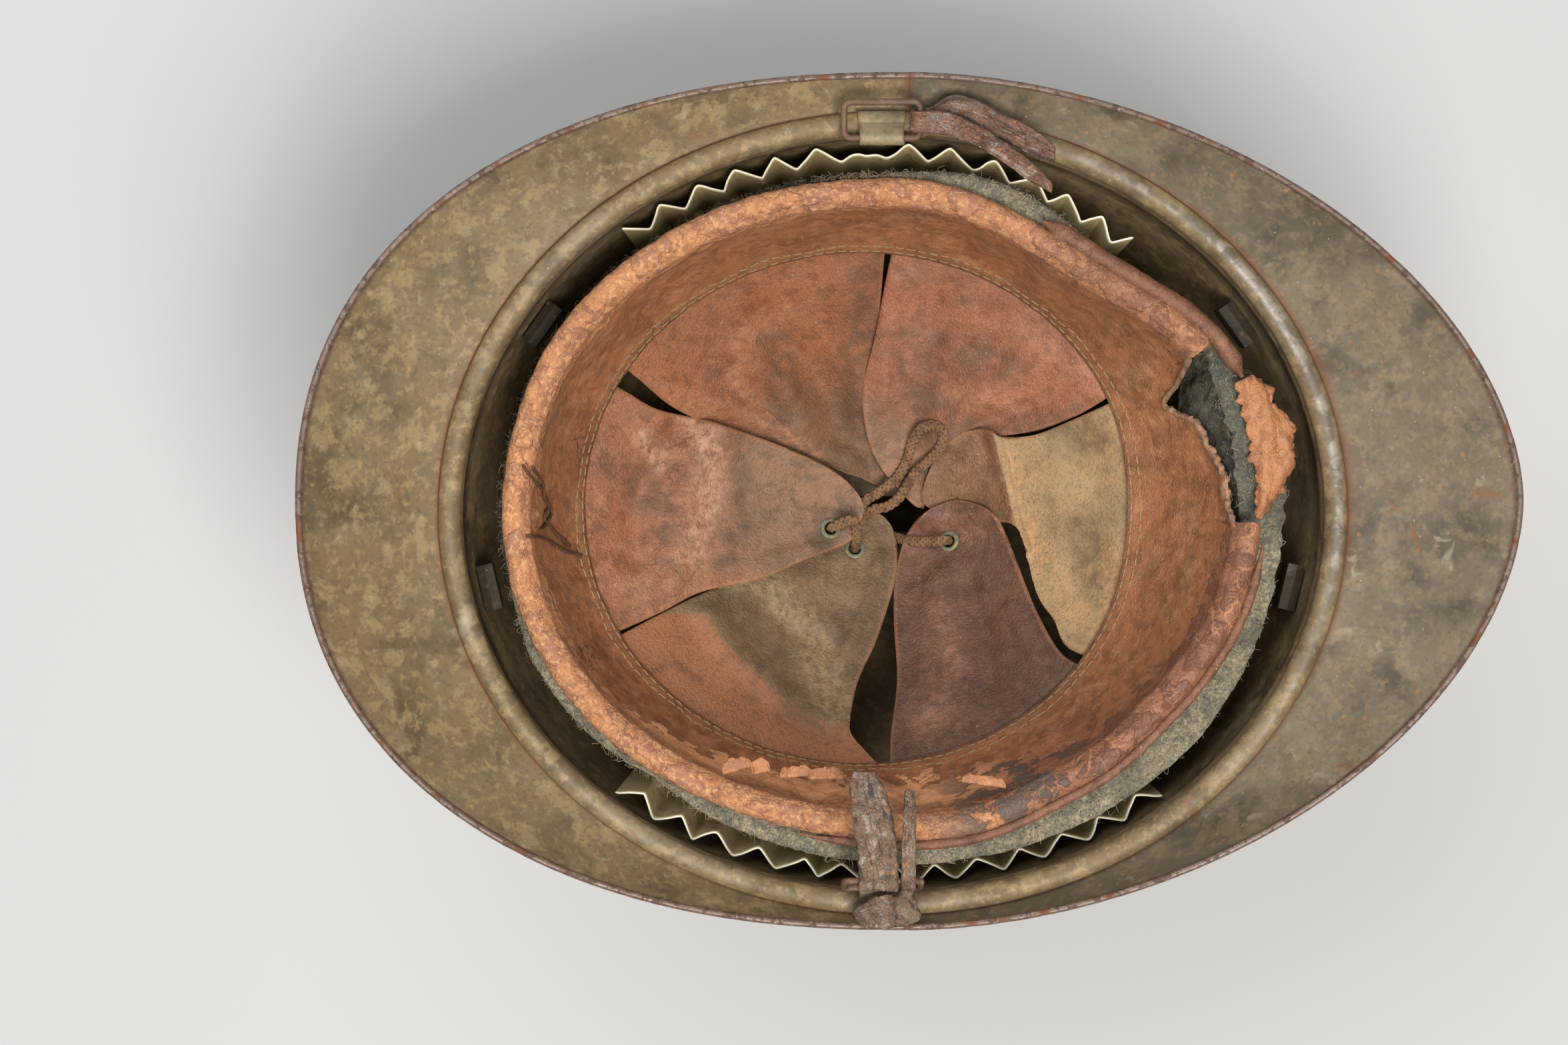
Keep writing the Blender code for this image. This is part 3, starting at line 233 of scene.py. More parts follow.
# Tongues: the two edges from the stitched ring to the tip, in shares of the ring's half sizes
TONGUE_EDGE_SHARES = {
    "tongue_1": (((-0.95, 0.485), (-0.816, 0.372), (-0.555, 0.256), (-0.304, 0.176), (-0.134, 0.107)),
                 ((-0.06, 0.978), (-0.068, 0.85), (-0.07, 0.72), (-0.03, 0.52), (0.0, 0.28)),
                 (-0.045, 0.085)),
    "tongue_2": (((-0.022, 0.978), (-0.05, 0.831), (-0.079, 0.66), (-0.121, 0.471), (-0.117, 0.344),
                  (-0.071, 0.177), (0.035, 0.037)),
                 ((0.777, 0.428), (0.661, 0.351), (0.516, 0.29), (0.363, 0.262), (0.228, 0.205),
                  (0.148, 0.086)),
                 (0.106, -0.015)),
    "tongue_3": (((0.785, 0.388), (0.61, 0.304), (0.499, 0.26), (0.388, 0.258), (0.33, 0.29),
                  (0.263, 0.284), (0.181, 0.229), (0.125, 0.121)),
                 ((0.718, -0.612), (0.625, -0.56), (0.585, -0.463), (0.53, -0.369), (0.48, -0.18),
                  (0.44, -0.085), (0.33, -0.07), (0.19, -0.045)),
                 (0.11, 0.01)),
    "tongue_4": (((-0.03, -1.009), (-0.024, -0.896), (0.004, -0.694), (-0.003, -0.471), (0.009, -0.26),
                  (0.062, -0.104), (0.14, -0.02)),
                 ((0.704, -0.672), (0.612, -0.606), (0.528, -0.448), (0.46, -0.266), (0.407, -0.12),
                  (0.35, -0.03)),
                 (0.24, 0.012)),
    "tongue_5": (((-1.035, -0.53), (-0.885, -0.446), (-0.731, -0.364), (-0.512, -0.274),
                  (-0.259, -0.125)),
                 ((-0.089, -1.009), (-0.175, -0.909), (-0.184, -0.85), (-0.155, -0.709), (-0.082, -0.547),
                  (-0.009, -0.321), (0.003, -0.183), (-0.02, -0.085)),
                 (-0.09, -0.042)),
    "tongue_6": (((-0.992, 0.42), (-0.885, 0.358), (-0.685, 0.312), (-0.376, 0.199), (-0.23, 0.123),
                  (-0.148, 0.045)),
                 ((-1.082, -0.52), (-0.89, -0.43), (-0.731, -0.346), (-0.52, -0.3), (-0.339, -0.22),
                  (-0.185, -0.159), (-0.142, -0.093)),
                 (-0.122, -0.026)),
}

# Each tongue's colours, dark colour, pale colour, cracks, bloom, where its tip's tone ends and begins
# as shares of the ring, the tip's tone and the colour of its painted highlights
TONGUE_LOOKS = {
    "tongue_1": ((0.31, 0.108, 0.042), (0.125, 0.046, 0.022), (0.4, 0.165, 0.074), 0.25, 0.15, 0.24, 0.66,
                 (0.21, 0.13, 0.072), (0.42, 0.19, 0.095)),
    "tongue_2": ((0.35, 0.132, 0.066), (0.15, 0.06, 0.034), (0.42, 0.19, 0.108), 0.3, 0.18, 0.22, 0.62,
                 (0.25, 0.16, 0.098), (0.43, 0.205, 0.122)),
    "tongue_3": ((0.23, 0.11, 0.056), (0.095, 0.046, 0.026), (0.36, 0.205, 0.115), 0.3, 0.25, 0.18, 0.5,
                 (0.21, 0.12, 0.052), (0.5, 0.28, 0.13)),
    "tongue_4": ((0.14, 0.066, 0.038), (0.052, 0.028, 0.018), (0.26, 0.12, 0.07), 0.4, 0.3, 0.16, 0.4,
                 (0.25, 0.115, 0.072), (0.33, 0.15, 0.095)),
    "tongue_5": ((0.15, 0.088, 0.044), (0.062, 0.033, 0.018), (0.28, 0.195, 0.105), 0.4, 0.65, 1.0, 1.4,
                 (0.23, 0.145, 0.074), (0.37, 0.29, 0.15)),
    "tongue_6": ((0.34, 0.13, 0.06), (0.13, 0.05, 0.026), (0.52, 0.255, 0.145), 0.4, 0.3, 0.34, 0.72,
                 (0.21, 0.145, 0.088), (0.6, 0.36, 0.24)),
}

# How high each tongue lies in the pile
TONGUE_LEVELS = {"tongue_1": 0, "tongue_2": 1, "tongue_3": 2, "tongue_4": 0, "tongue_5": 0, "tongue_6": 2}

# The torn strip's middle: place in metres from the rim's middle, height over the rim, and width
TORN_FLAP = ((0.087, 0.0318, -0.006, 0.0045), (0.0893, 0.027, -0.0052, 0.008),
             (0.0915, 0.021, -0.0048, 0.0095), (0.0936, 0.014, -0.0052, 0.0105),
             (0.094, 0.007, -0.006, 0.0088), (0.0918, 0.001, -0.0068, 0.004),
             (0.0902, -0.0045, -0.008, 0.0012))

WELT_DROP = 0.0018

# Edging outside the band: from and to an angle in degrees, its radius, and how far out it lies
WELTS = ((24, 66, 0.0024, 0.0012), (-104, -6, 0.0013, 0.0009))

# The rear seam's threads: turn from the seam in degrees, share of the way down, and lift in radii
SEAM_ROUTES = (((-9.5, 0.02, 0.6), (-7.5, 0.16, 1.2), (-5.0, 0.3, 1.0), (-4.0, 0.42, 1.0),
                (-1.0, 0.52, 1.2), (1.5, 0.46, 1.0), (3.5, 0.6, 1.0), (6.0, 0.74, 1.0), (8.0, 0.86, 0.9)),
               ((-8.0, 0.2, 0.8), (-5.5, 0.36, 1.8), (-2.5, 0.44, 1.8), (0.0, 0.6, 1.2), (2.5, 0.52, 1.2),
                (4.0, 0.4, 1.2)),
               ((4.5, 0.02, 0.6), (5.0, 0.2, 1.0), (5.5, 0.4, 1.2), (7.0, 0.62, 1.0), (9.0, 0.8, 1.0),
                (10.5, 0.93, 0.9)))

# Drawstring: an eyelet and the way through it, or a place in shares of the ring's half sizes and
# a lift over the bowl in shares of the pile's level
LACE_ROUTE_SHARES = ((-0.06, -0.12, -1.9), (-0.11, -0.07, -0.6), (-0.128, -0.02, 1.3),
                     (-0.109, 0.014, 2.4), (-0.066, 0.041, 2.3), (-0.017, 0.079, 2.2), (0.019, 0.12, 2.0),
                     (0.042, 0.17, 1.85), (0.062, 0.242, 1.8), (0.086, 0.291, 1.85), (0.13, 0.311, 2.2),
                     (0.169, 0.294, 2.5), (0.175, 0.248, 2.55), (0.152, 0.202, 2.5), (0.114, 0.162, 2.45),
                     (0.074, 0.122, 2.4), (0.045, 0.072, 2.35), (0.015, 0.022, 2.2),
                     (-0.033, -0.014, 2.2), (-0.085, -0.026, 1.9), (-0.105, -0.062, 0.2),
                     (-0.06, -0.11, -1.5), (0.0, -0.135, -0.9), (0.05, -0.15, 0.55), (0.11, -0.155, 1.1),
                     (0.175, -0.15, 1.35), ("tongue_4", 1), (0.215, -0.215, -1.6), (0.12, -0.27, -1.9),
                     (-0.02, -0.28, -1.8), (-0.11, -0.24, -1.7), ("tongue_5", -1), (-0.146, -0.118, 2.75),
                     (-0.155, -0.078, 3.15), (-0.18, -0.07, 3.1), ("tongue_6", 1))

# Camera over the middle of the opening
CAMERA_PLACE = Vector((-0.0314, -0.0054, 0.84))
CAMERA_LENS = 63.43
CAMERA_NEAR = 0.01

# Floor, surrounding and soft panels: place, sizes, power and tint
FLOOR_HALF = 1.6
SURROUNDING_COLOUR = (0.9, 0.92, 0.95, 1)
SURROUNDING_STRENGTH = 0.32
SOFT_PANELS = (("key_panel", (0.16, -0.46, 1.25), (0.6, 0.6), 19, (1.0, 0.98, 0.95)),
               ("fill_panel", (-0.42, 0.62, 1.12), (1.0, 1.0), 10, (0.96, 0.98, 1.0)))


# Shapes

def ellipse(centre, half, angles):
    """Points of an ellipse in plan, one for each angle."""
    return np.stack([centre[0] + half[0] * np.cos(angles), centre[1] + half[1] * np.sin(angles)], -1)


def circle(angles):
    """Points of the unit circle, one for each angle."""
    return np.stack([np.cos(angles), np.sin(angles), 0 * angles], -1)


def sweep(start, end, count):
    """Evenly spaced angles from start to end, given in degrees."""
    return np.radians(np.linspace(start, end, count))


def full_turn(count):
    """Evenly spaced angles all the way round."""
    return np.linspace(0, 2 * pi, count, endpoint=False)


def wrapped(angles, first=-180):
    """Angles in degrees, from the first one on."""
    return (np.degrees(angles) - first) % 360 + first


def unit(rows):
    """Each direction at length 1."""
    return rows / np.linalg.norm(rows, axis=-1, keepdims=True)


def raised(plan, height):
    """Places in plan with their heights."""
    return np.concatenate([plan, height[..., None]], -1)


def lengths_along(line):
    """How far along a line each of its points lies."""
    return np.concatenate([[0], np.cumsum(np.linalg.norm(np.diff(line, axis=0), axis=1))])


def at_lengths(line, wanted, lengths=None):
    """Places on a line at wanted distances along it."""
    lengths = lengths_along(line) if lengths is None else lengths
    return np.stack([np.interp(wanted, lengths, column) for column in np.transpose(line)], -1)


def evenly(line, count):
    """Evenly spaced points on a line."""
    return at_lengths(line, np.linspace(0, lengths_along(line)[-1], count))


def ease(value, start, end):
    """A soft step from 0 at start to 1 at end."""
    t = np.clip((np.asarray(value, float) - start) / (end - start), 0, 1)
    return t * t * (3 - 2 * t)


def bell(value, middle, width):
    """A soft bump of height 1 at middle."""
    return np.exp(-((np.asarray(value, float) - middle) / width) ** 2)


def lumps(points, size, seed=0.0, octaves=3):
    """Steady smooth noise, about -1 to 1, with lumps of a size."""
    shift = Vector((seed, 0.7 * seed, -seed))
    flat = np.asarray(points, float).reshape(-1, 3) / size
    values = [noise.fractal(Vector(p) + shift, 1.0, 2.0, octaves) for p in flat]
    return np.array(values).reshape(np.shape(points)[:-1])


def smooth_line(points, count):
    """Evenly spaced points on a smooth curve through the given ones."""
    p = np.asarray(points, float)
    p = np.vstack([2 * p[0] - p[1], p, 2 * p[-1] - p[-2]])
    t = np.linspace(0, 1, 12, endpoint=False)[:, None]
    parts = []
    for a, b, c, d in zip(p, p[1:], p[2:], p[3:]):
        parts.append(0.5 * (2 * b + (c - a) * t + (2 * a - 5 * b + 4 * c - d) * t * t
                            + (3 * b - a - 3 * c + d) * t ** 3))
    return evenly(np.vstack([*parts, p[-2:-1]]), count)


def make_mesh(name, points, faces, finish, marks=None, smooth=50):
    """A named object from points and faces, with its finish and its painted marks."""
    mesh = bpy.data.meshes.new(name)
    mesh.from_pydata(np.asarray(points, float).reshape(-1, 3), [], faces)
    for mark, values in (marks or {}).items():
        layer = mesh.attributes.new(mark, "FLOAT", "POINT")
        layer.data.foreach_set("value", np.asarray(values, np.float32).ravel())
    tidy = bmesh.new()
    tidy.from_mesh(mesh)
    bmesh.ops.remove_doubles(tidy, verts=tidy.verts, dist=CLEARANCE / 50)
    bmesh.ops.recalc_face_normals(tidy, faces=tidy.faces)
    tidy.to_mesh(mesh)
    tidy.free()
    mesh.shade_smooth()
    mesh.set_sharp_from_angle(angle=radians(smooth))
    mesh.materials.append(finish)
    result = bpy.data.objects.new(name, mesh)
    bpy.context.scene.collection.objects.link(result)
    return result


def strip_faces(row):
    """Faces that close an outline, from its first half across to its second half."""
    faces = []
    first, last = 0, len(row) - 1
    while last - first > 2:
        faces.append((row[first], row[first + 1], row[last - 1], row[last]))
        first, last = first + 1, last - 1
    if last - first == 2:
        faces.append((row[first], row[first + 1], row[last]))
    return faces


def loft(name, sections, finish, ring=False, marks=None, smooth=50):
    """A closed mesh through closed sections, with end caps unless it closes on itself."""
    points = np.asarray(sections, float)
    count, around = points.shape[:2]
    index = np.arange(count * around).reshape(count, around)
    first = index if ring else index[:-1]
    after = np.roll(index, -1, axis=0) if ring else index[1:]
    quads = np.stack([first, np.roll(first, -1, 1), np.roll(after, -1, 1), after], -1)
    faces = quads.reshape(-1, 4).tolist()
    if not ring:
        faces += strip_faces(index[0].tolist()) + strip_faces(index[-1].tolist())
    return make_mesh(name, points, faces, finish, marks, smooth)


def directions(grid, ring):
    """The direction square to a grid's surface at each of its points."""
    if ring:
        along = np.roll(grid, -1, 0) - np.roll(grid, 1, 0)
    else:
        along = np.gradient(grid, axis=0)
    square = np.cross(along, np.gradient(grid, axis=1))
    return square / np.maximum(np.linalg.norm(square, axis=-1, keepdims=True), 1e-12)


def leaf(name, grid, thickness, finish, ring=False, marks=None, smooth=60):
    """A sheet with soft edges from a grid of its middle points, in rows across its length."""
    grid = np.asarray(grid, float)
    away = directions(grid, ring) * thickness / 2
    thin = np.ones(grid.shape[:2])
    if not ring:
        thin[0] = thin[-1] = 0.35
    away *= thin[..., None]
    edges = []
    for edge, inner in ((0, 1), (-1, -2)):
        out = grid[:, edge] - grid[:, inner]
        length = np.maximum(np.linalg.norm(out, axis=-1, keepdims=True), 1e-9)
        edges.append((grid[:, edge] + out / length * thickness * 0.3)[:, None])
    sections = np.concatenate([edges[0], grid + away, edges[1], (grid - away)[:, ::-1]], axis=1)
    painted = {}
    for mark, values in (marks or {}).items():
        values = np.broadcast_to(values, grid.shape[:2])
        painted[mark] = np.concatenate([values[:, :1], values, values[:, -1:], values[:, ::-1]], axis=1)
    side = np.zeros(sections.shape[:2])
    side[:, 1:grid.shape[1] + 1] = 1
    painted["face_side"] = side
    return loft(name, sections, finish, ring, painted, smooth)


def rod(name, line, radius, sides, finish, closed=False, marks=None):
    """A round rod along a line, turned as little as possible; radius may change along it."""
    line = np.asarray(line, float)
    count = len(line)
    radii = np.broadcast_to(radius, count)
    across = None
    sections = []
    for i in range(count):
        after = line[(i + 1) % count] if closed else line[min(i + 1, count - 1)]
        before = line[i - 1] if closed else line[max(i - 1, 0)]
        along = Vector(after - before).normalized()
        across = along.orthogonal() if across is None else across
        across = (across - along * across.dot(along)).normalized()
        up = along.cross(across)
        turns = full_turn(sides)
        sections.append([line[i] + np.array(across * cos(a) + up * sin(a)) * radii[i] for a in turns])
    return loft(name, sections, finish, ring=closed, marks=marks, smooth=80)


def place_piece(piece, body, slot, *nodes):
    """Let a piece ride on its body in place of its nodes; its finish slot is not used."""
    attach(piece, body)
    if nodes:
        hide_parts(*nodes)
    return piece


# Finishes

def dim(colour, share):
    """A colour at a share of its brightness."""
    return tuple(share * value for value in colour)


def chain(tree, kind, **values):
    """A node with its settings; a value that is a socket is linked to the input of that name."""
    node = tree.nodes.new(kind)
    for key, value in values.items():
        if key.startswith("set_"):
            setattr(node, key[4:], value)
            continue
        slot = int(key[1:]) if key[0] == "i" and key[1:].isdigit() else key.replace("_", " ")
        if isinstance(value, bpy.types.NodeSocket):
            tree.links.new(value, node.inputs[slot])
        else:
            node.inputs[slot].default_value = value
    return node


def in_order(values):
    """Values as the inputs of a node, in their order."""
    return {f"i{number}": value for number, value in enumerate(values)}


def maths(tree, operation, *values, clamp=False):
    """One operation on up to three values."""
    return chain(tree, "ShaderNodeMath", set_operation=operation, set_use_clamp=clamp,
                 **in_order(values)).outputs[0]


def vectors(tree, operation, *values, **named):
    """One operation on up to three vectors."""
    return chain(tree, "ShaderNodeVectorMath", set_operation=operation, **in_order(values),
                 **named).outputs[0]


def soft_step(tree, value, start, end):
    """A value stretched to run softly from 0 to 1."""
    return chain(tree, "ShaderNodeMapRange", set_interpolation_type="SMOOTHSTEP", Value=value,
                 From_Min=start, From_Max=end).outputs[0]


def clouds(tree, place, scale, detail, output="Fac", **values):
    """Smooth noise at a place."""
    return chain(tree, "ShaderNodeTexNoise", Vector=place, Scale=scale, Detail=detail,
                 **values).outputs[output]


def cells(tree, place, feature="DISTANCE_TO_EDGE"):
    """The outputs of a texture of cells, one to a unit."""
    return chain(tree, "ShaderNodeTexVoronoi", set_feature=feature, Vector=place, Scale=1).outputs


def stretched(tree, **shares):
    """A stretch along x, y and z."""
    return chain(tree, "ShaderNodeCombineXYZ", **{"X": 1, "Y": 1, "Z": 1, **shares}).outputs[0]


def mottle(tree, place, given):
    """Soft patches: Scale is patches a metre, Low and High are where they begin and are full."""
    patches = clouds(tree, place, 1, given["Detail"], Roughness=0.62, Distortion=given["Twist"])
    return soft_step(tree, patches, given["Low"], given["High"]),


def grain(tree, place, given):
    """Pebbled leather grain as a height, with finer creases between the pebbles."""
    bent = vectors(tree, "ADD", place, clouds(tree, place, 0.35, 3, "Color"))
    pebble = soft_step(tree, cells(tree, bent)["Distance"], 0.0, 0.28)
    return maths(tree, "MULTIPLY_ADD", clouds(tree, place, 2.5, 4), given["Crease"], pebble),


def cracks(tree, place, given):
    """A net of thin cracks: Width is their share of a cell, and Break leaves some of them out."""
    place = vectors(tree, "MULTIPLY", place, stretched(tree, X=given["Stretch"]))
    bent = vectors(tree, "MULTIPLY_ADD", clouds(tree, place, 0.9, 4, "Color"), (1.3, 1.3, 1.3), place)
    line = soft_step(tree, cells(tree, bent)["Distance"], given["Width"], 0.0)
    kept = soft_step(tree, clouds(tree, place, 0.3, 2), given["Break"], 0.72)
    return maths(tree, "MULTIPLY", line, kept),


def specks(tree, place, given):
    """Small scattered specks: Scale is cells a metre, Size is their share of a cell."""
    found = cells(tree, place, "F1")
    spot = soft_step(tree, found["Distance"], given["Size"], 0.0)
    chance = chain(tree, "ShaderNodeSeparateColor", Color=found["Color"]).outputs[0]
    return maths(tree, "MULTIPLY", spot, maths(tree, "LESS_THAN", chance, given["Amount"])),


def fibres(tree, place, given):
    """Matted fibres: thin bent streaks as a mask, and their height."""
    bent = vectors(tree, "MULTIPLY_ADD", clouds(tree, place, 0.25, 2, "Color"), (6, 6, 6), place)
    lying, crossing = (vectors(tree, "DIVIDE", bent, stretched(tree, **{way: given["Stretch"]}))
                       for way in "YX")
    top = maths(tree, "MAXIMUM", clouds(tree, lying, 1, 2), clouds(tree, crossing, 1, 2))
    return soft_step(tree, top, 0.52, 0.68), top


# The shared shader groups: what makes each, its inputs and its outputs
EFFECTS = {
    "Mottle": (mottle, {"Scale": 100, "Detail": 5, "Twist": 0.4, "Low": 0.45, "High": 0.6}, ("Mask",)),
    "Grain": (grain, {"Scale": 900, "Crease": 0.5}, ("Height",)),
    "Cracks": (cracks, {"Scale": 200, "Width": 0.05, "Break": 0.5, "Stretch": 1.0}, ("Mask",)),
    "Specks": (specks, {"Scale": 300, "Size": 0.2, "Amount": 0.5}, ("Mask",)),
    "Fibres": (fibres, {"Scale": 700, "Stretch": 5.0}, ("Mask", "Height")),
}


def effect(name):
    """A shared shader group, built the first time that a finish asks for it."""
    if name in bpy.data.node_groups:
        return bpy.data.node_groups[name]
    make, inputs, outputs = EFFECTS[name]
    group = bpy.data.node_groups.new(name, "ShaderNodeTree")
    for label, value in inputs.items():
        socket = group.interface.new_socket(label, in_out="INPUT", socket_type="NodeSocketFloat")
        socket.default_value = value
    for label in outputs:
        group.interface.new_socket(label, in_out="OUTPUT", socket_type="NodeSocketFloat")
    given = group.nodes.new("NodeGroupInput").outputs
    result = group.nodes.new("NodeGroupOutput")
    place = chain(group, "ShaderNodeTexCoord").outputs["Object"]
    place = vectors(group, "SCALE", place, Scale=given["Scale"])
    for label, value in zip(outputs, make(group, place, given)):
        group.links.new(value, result.inputs[label])
    return group


class Finish:
    """A material in the making: layers of colour, roughness and height over a Principled shader."""

    def __init__(self, name, colour, roughness, metallic=0.0, shine=0.5):
        self.material = bpy.data.materials.new(name)
        self.material.use_nodes = True
        self.tree = self.material.node_tree
        self.shader = self.tree.nodes["Principled BSDF"]
        self.shader.inputs["Metallic"].default_value = metallic
        self.shader.inputs["Specular IOR Level"].default_value = shine
        self.colour = (*colour, 1)
        self.rough = roughness
        self.height = None

    def mask(self, name, output="Mask", **values):
        """A shared effect placed here with its own values."""
        node = chain(self.tree, "ShaderNodeGroup", set_node_tree=effect(name), **values)
        return node.outputs[output]

    def mottle(self, scale, detail, twist, low, high):
        """Soft patches, from where they begin to where they are full."""
        return self.mask("Mottle", Scale=scale, Detail=detail, Twist=twist, Low=low, High=high)

    def cracks(self, scale, width, gaps, stretch):
        """A net of thin cracks."""
        return self.mask("Cracks", Scale=scale, Width=width, Break=gaps, Stretch=stretch)

    def specks(self, scale, size, amount):
        """Small scattered specks."""
        return self.mask("Specks", Scale=scale, Size=size, Amount=amount)

    def fibres(self, scale, stretch, output="Mask"):
        """Matted fibres, as a mask or as a height."""
        return self.mask("Fibres", output, Scale=scale, Stretch=stretch)

    def mark(self, name, start=0.0, end=1.0):
        """A mark painted on the mesh, stretched to run from 0 to 1."""
        value = chain(self.tree, "ShaderNodeAttribute", set_attribute_name=name).outputs["Fac"]
        return soft_step(self.tree, value, start, end)

    def maths(self, operation, a, b, clamp=False):
        """One operation on two values."""
        return maths(self.tree, operation, a, b, 0.0, clamp=clamp)

    def without(self, mask):
        """Where a mask is off."""
        return self.maths("SUBTRACT", 1.0, mask, clamp=True)

    def both(self, a, b):
        """Where both masks are on."""
        return self.maths("MULTIPLY", a, b)

    def layer(self, colour, mask, amount=1.0, roughness=None):
        """Lay a colour, and its roughness, over what is there, by a mask."""
        share = self.maths("MULTIPLY", mask, amount, clamp=True)
        mix = chain(self.tree, "ShaderNodeMix", set_data_type="RGBA", i0=share, i6=self.colour,
                    i7=(*colour, 1))
        self.colour = mix.outputs[2]
        if roughness is not None:
            blend = chain(self.tree, "ShaderNodeMix", set_data_type="FLOAT", i0=share, i2=self.rough,
                          i3=roughness)
            self.rough = blend.outputs[0]
        return self

    def raise_by(self, height, amount):
        """Add to the height that the surface's bump shows."""
        grown = self.maths("MULTIPLY", height, amount)
        self.height = grown if self.height is None else self.maths("ADD", self.height, grown)
        return self

    def done(self, strength=0.6, distance=0.0004):
        """Join everything to the shader and return the material."""
        for label, value in (("Base Color", self.colour), ("Roughness", self.rough)):
            if isinstance(value, bpy.types.NodeSocket):
                self.tree.links.new(value, self.shader.inputs[label])
            else:
                self.shader.inputs[label].default_value = value
        if self.height is not None:
            bump = chain(self.tree, "ShaderNodeBump", Strength=strength, Distance=distance,
                         Height=self.height)
            self.tree.links.new(bump.outputs[0], self.shader.inputs["Normal"])
        return self.material


# The maker's sizes and colours

def length(name, value, words):
    """A length that the panel shows in the scene's units."""
    return bpy.props.FloatProperty(name=name, description=words, default=value, min=0, subtype="DISTANCE",
                                   unit="LENGTH", precision=5)


def colour(name, value, words):
    """A colour that the panel shows as a swatch."""
    return bpy.props.FloatVectorProperty(name=name, description=words, default=value, size=3, min=0, max=1,
                                         subtype="COLOR")


class HELMET_PG_sizes(bpy.types.PropertyGroup):
    """Sizes that a maker would change."""

    lace_width: length("Lace width", LACE_WIDTH, "Width of the flat braided lace")
    lace_thickness: length("Lace thickness", LACE_THICKNESS, "Thickness of the flat braided lace")
    stitch_length: length("Stitch length", 0.0031, "Distance from stitch to stitch in the leather's seams")
    seam_thread: length("Seam thread", 0.00022, "Radius of the thread in the leather's seams")
    fibre_length: length("Felt fibre length", 0.0034, "Length of the loose fibres on the felt")
    fibre_count: bpy.props.IntProperty(
        name="Felt fibres", description="How many loose fibres stand on the felt", default=5200, min=0)


class HELMET_PG_colours(bpy.types.PropertyGroup):
    """Colours that a maker would change."""

    paint: colour("Olive paint", (0.172, 0.116, 0.053), "Olive paint on the steel")
    visor_paint: colour("Visor paint", (0.118, 0.094, 0.06), "Grey-brown paint on the visor")
    bare_steel: colour("Worn steel", (0.23, 0.18, 0.115), "Steel where the paint has worn away")
    rust: colour("Rust", (0.235, 0.082, 0.032), "Rust on edges and in the grooves")
    bare_fitting: colour("Bracket metal", (0.25, 0.205, 0.115), "Bare metal of the brackets and rivets")
    rusty_wire: colour("Loop wire", (0.12, 0.06, 0.036), "Rusted wire of the strap loops")
    # Near black, darker than the rusted metal alone: partly painted shade, so that the clips sink into the
    # bowl's shade.
    clip: colour("Clip metal", (0.035, 0.028, 0.018), "Dark metal of the liner's clips")
    spacer: colour("Spacer metal", (0.46, 0.37, 0.19), "Plated metal of the corrugated spacers")
    felt: colour("Felt", (0.185, 0.168, 0.118), "Wool felt behind the leather")
    band: colour("Band leather", (0.36, 0.145, 0.062), "Tanned leather of the head band")
    worn_leather: colour("Worn leather", (0.5, 0.25, 0.125), "Leather where it is scuffed")
    dark_leather: colour("Dark leather", (0.105, 0.048, 0.026), "Leather darkened by use")
    flesh_side: colour("Flesh side", (0.335, 0.232, 0.118), "The leather's rough inner side")
    bloom: colour("Leather bloom", (0.235, 0.17, 0.1), "Pale bloom and dust on old leather")
    lace: colour("Lace", (0.185, 0.1, 0.05), "Braided lace")
    brass: colour("Brass", (0.33, 0.24, 0.1), "Tarnished brass of the eyelets")
    thread: colour("Thread", (0.3, 0.2, 0.105), "Linen thread of the seams")
    floor: colour("Floor", (0.5, 0.495, 0.485), "Plain floor under the helmet")


def sizes():
    """The maker's sizes."""
    return bpy.context.scene.helmet_sizes


def colours():
    """The maker's colours."""
    return bpy.context.scene.helmet_colours


# Steel pieces

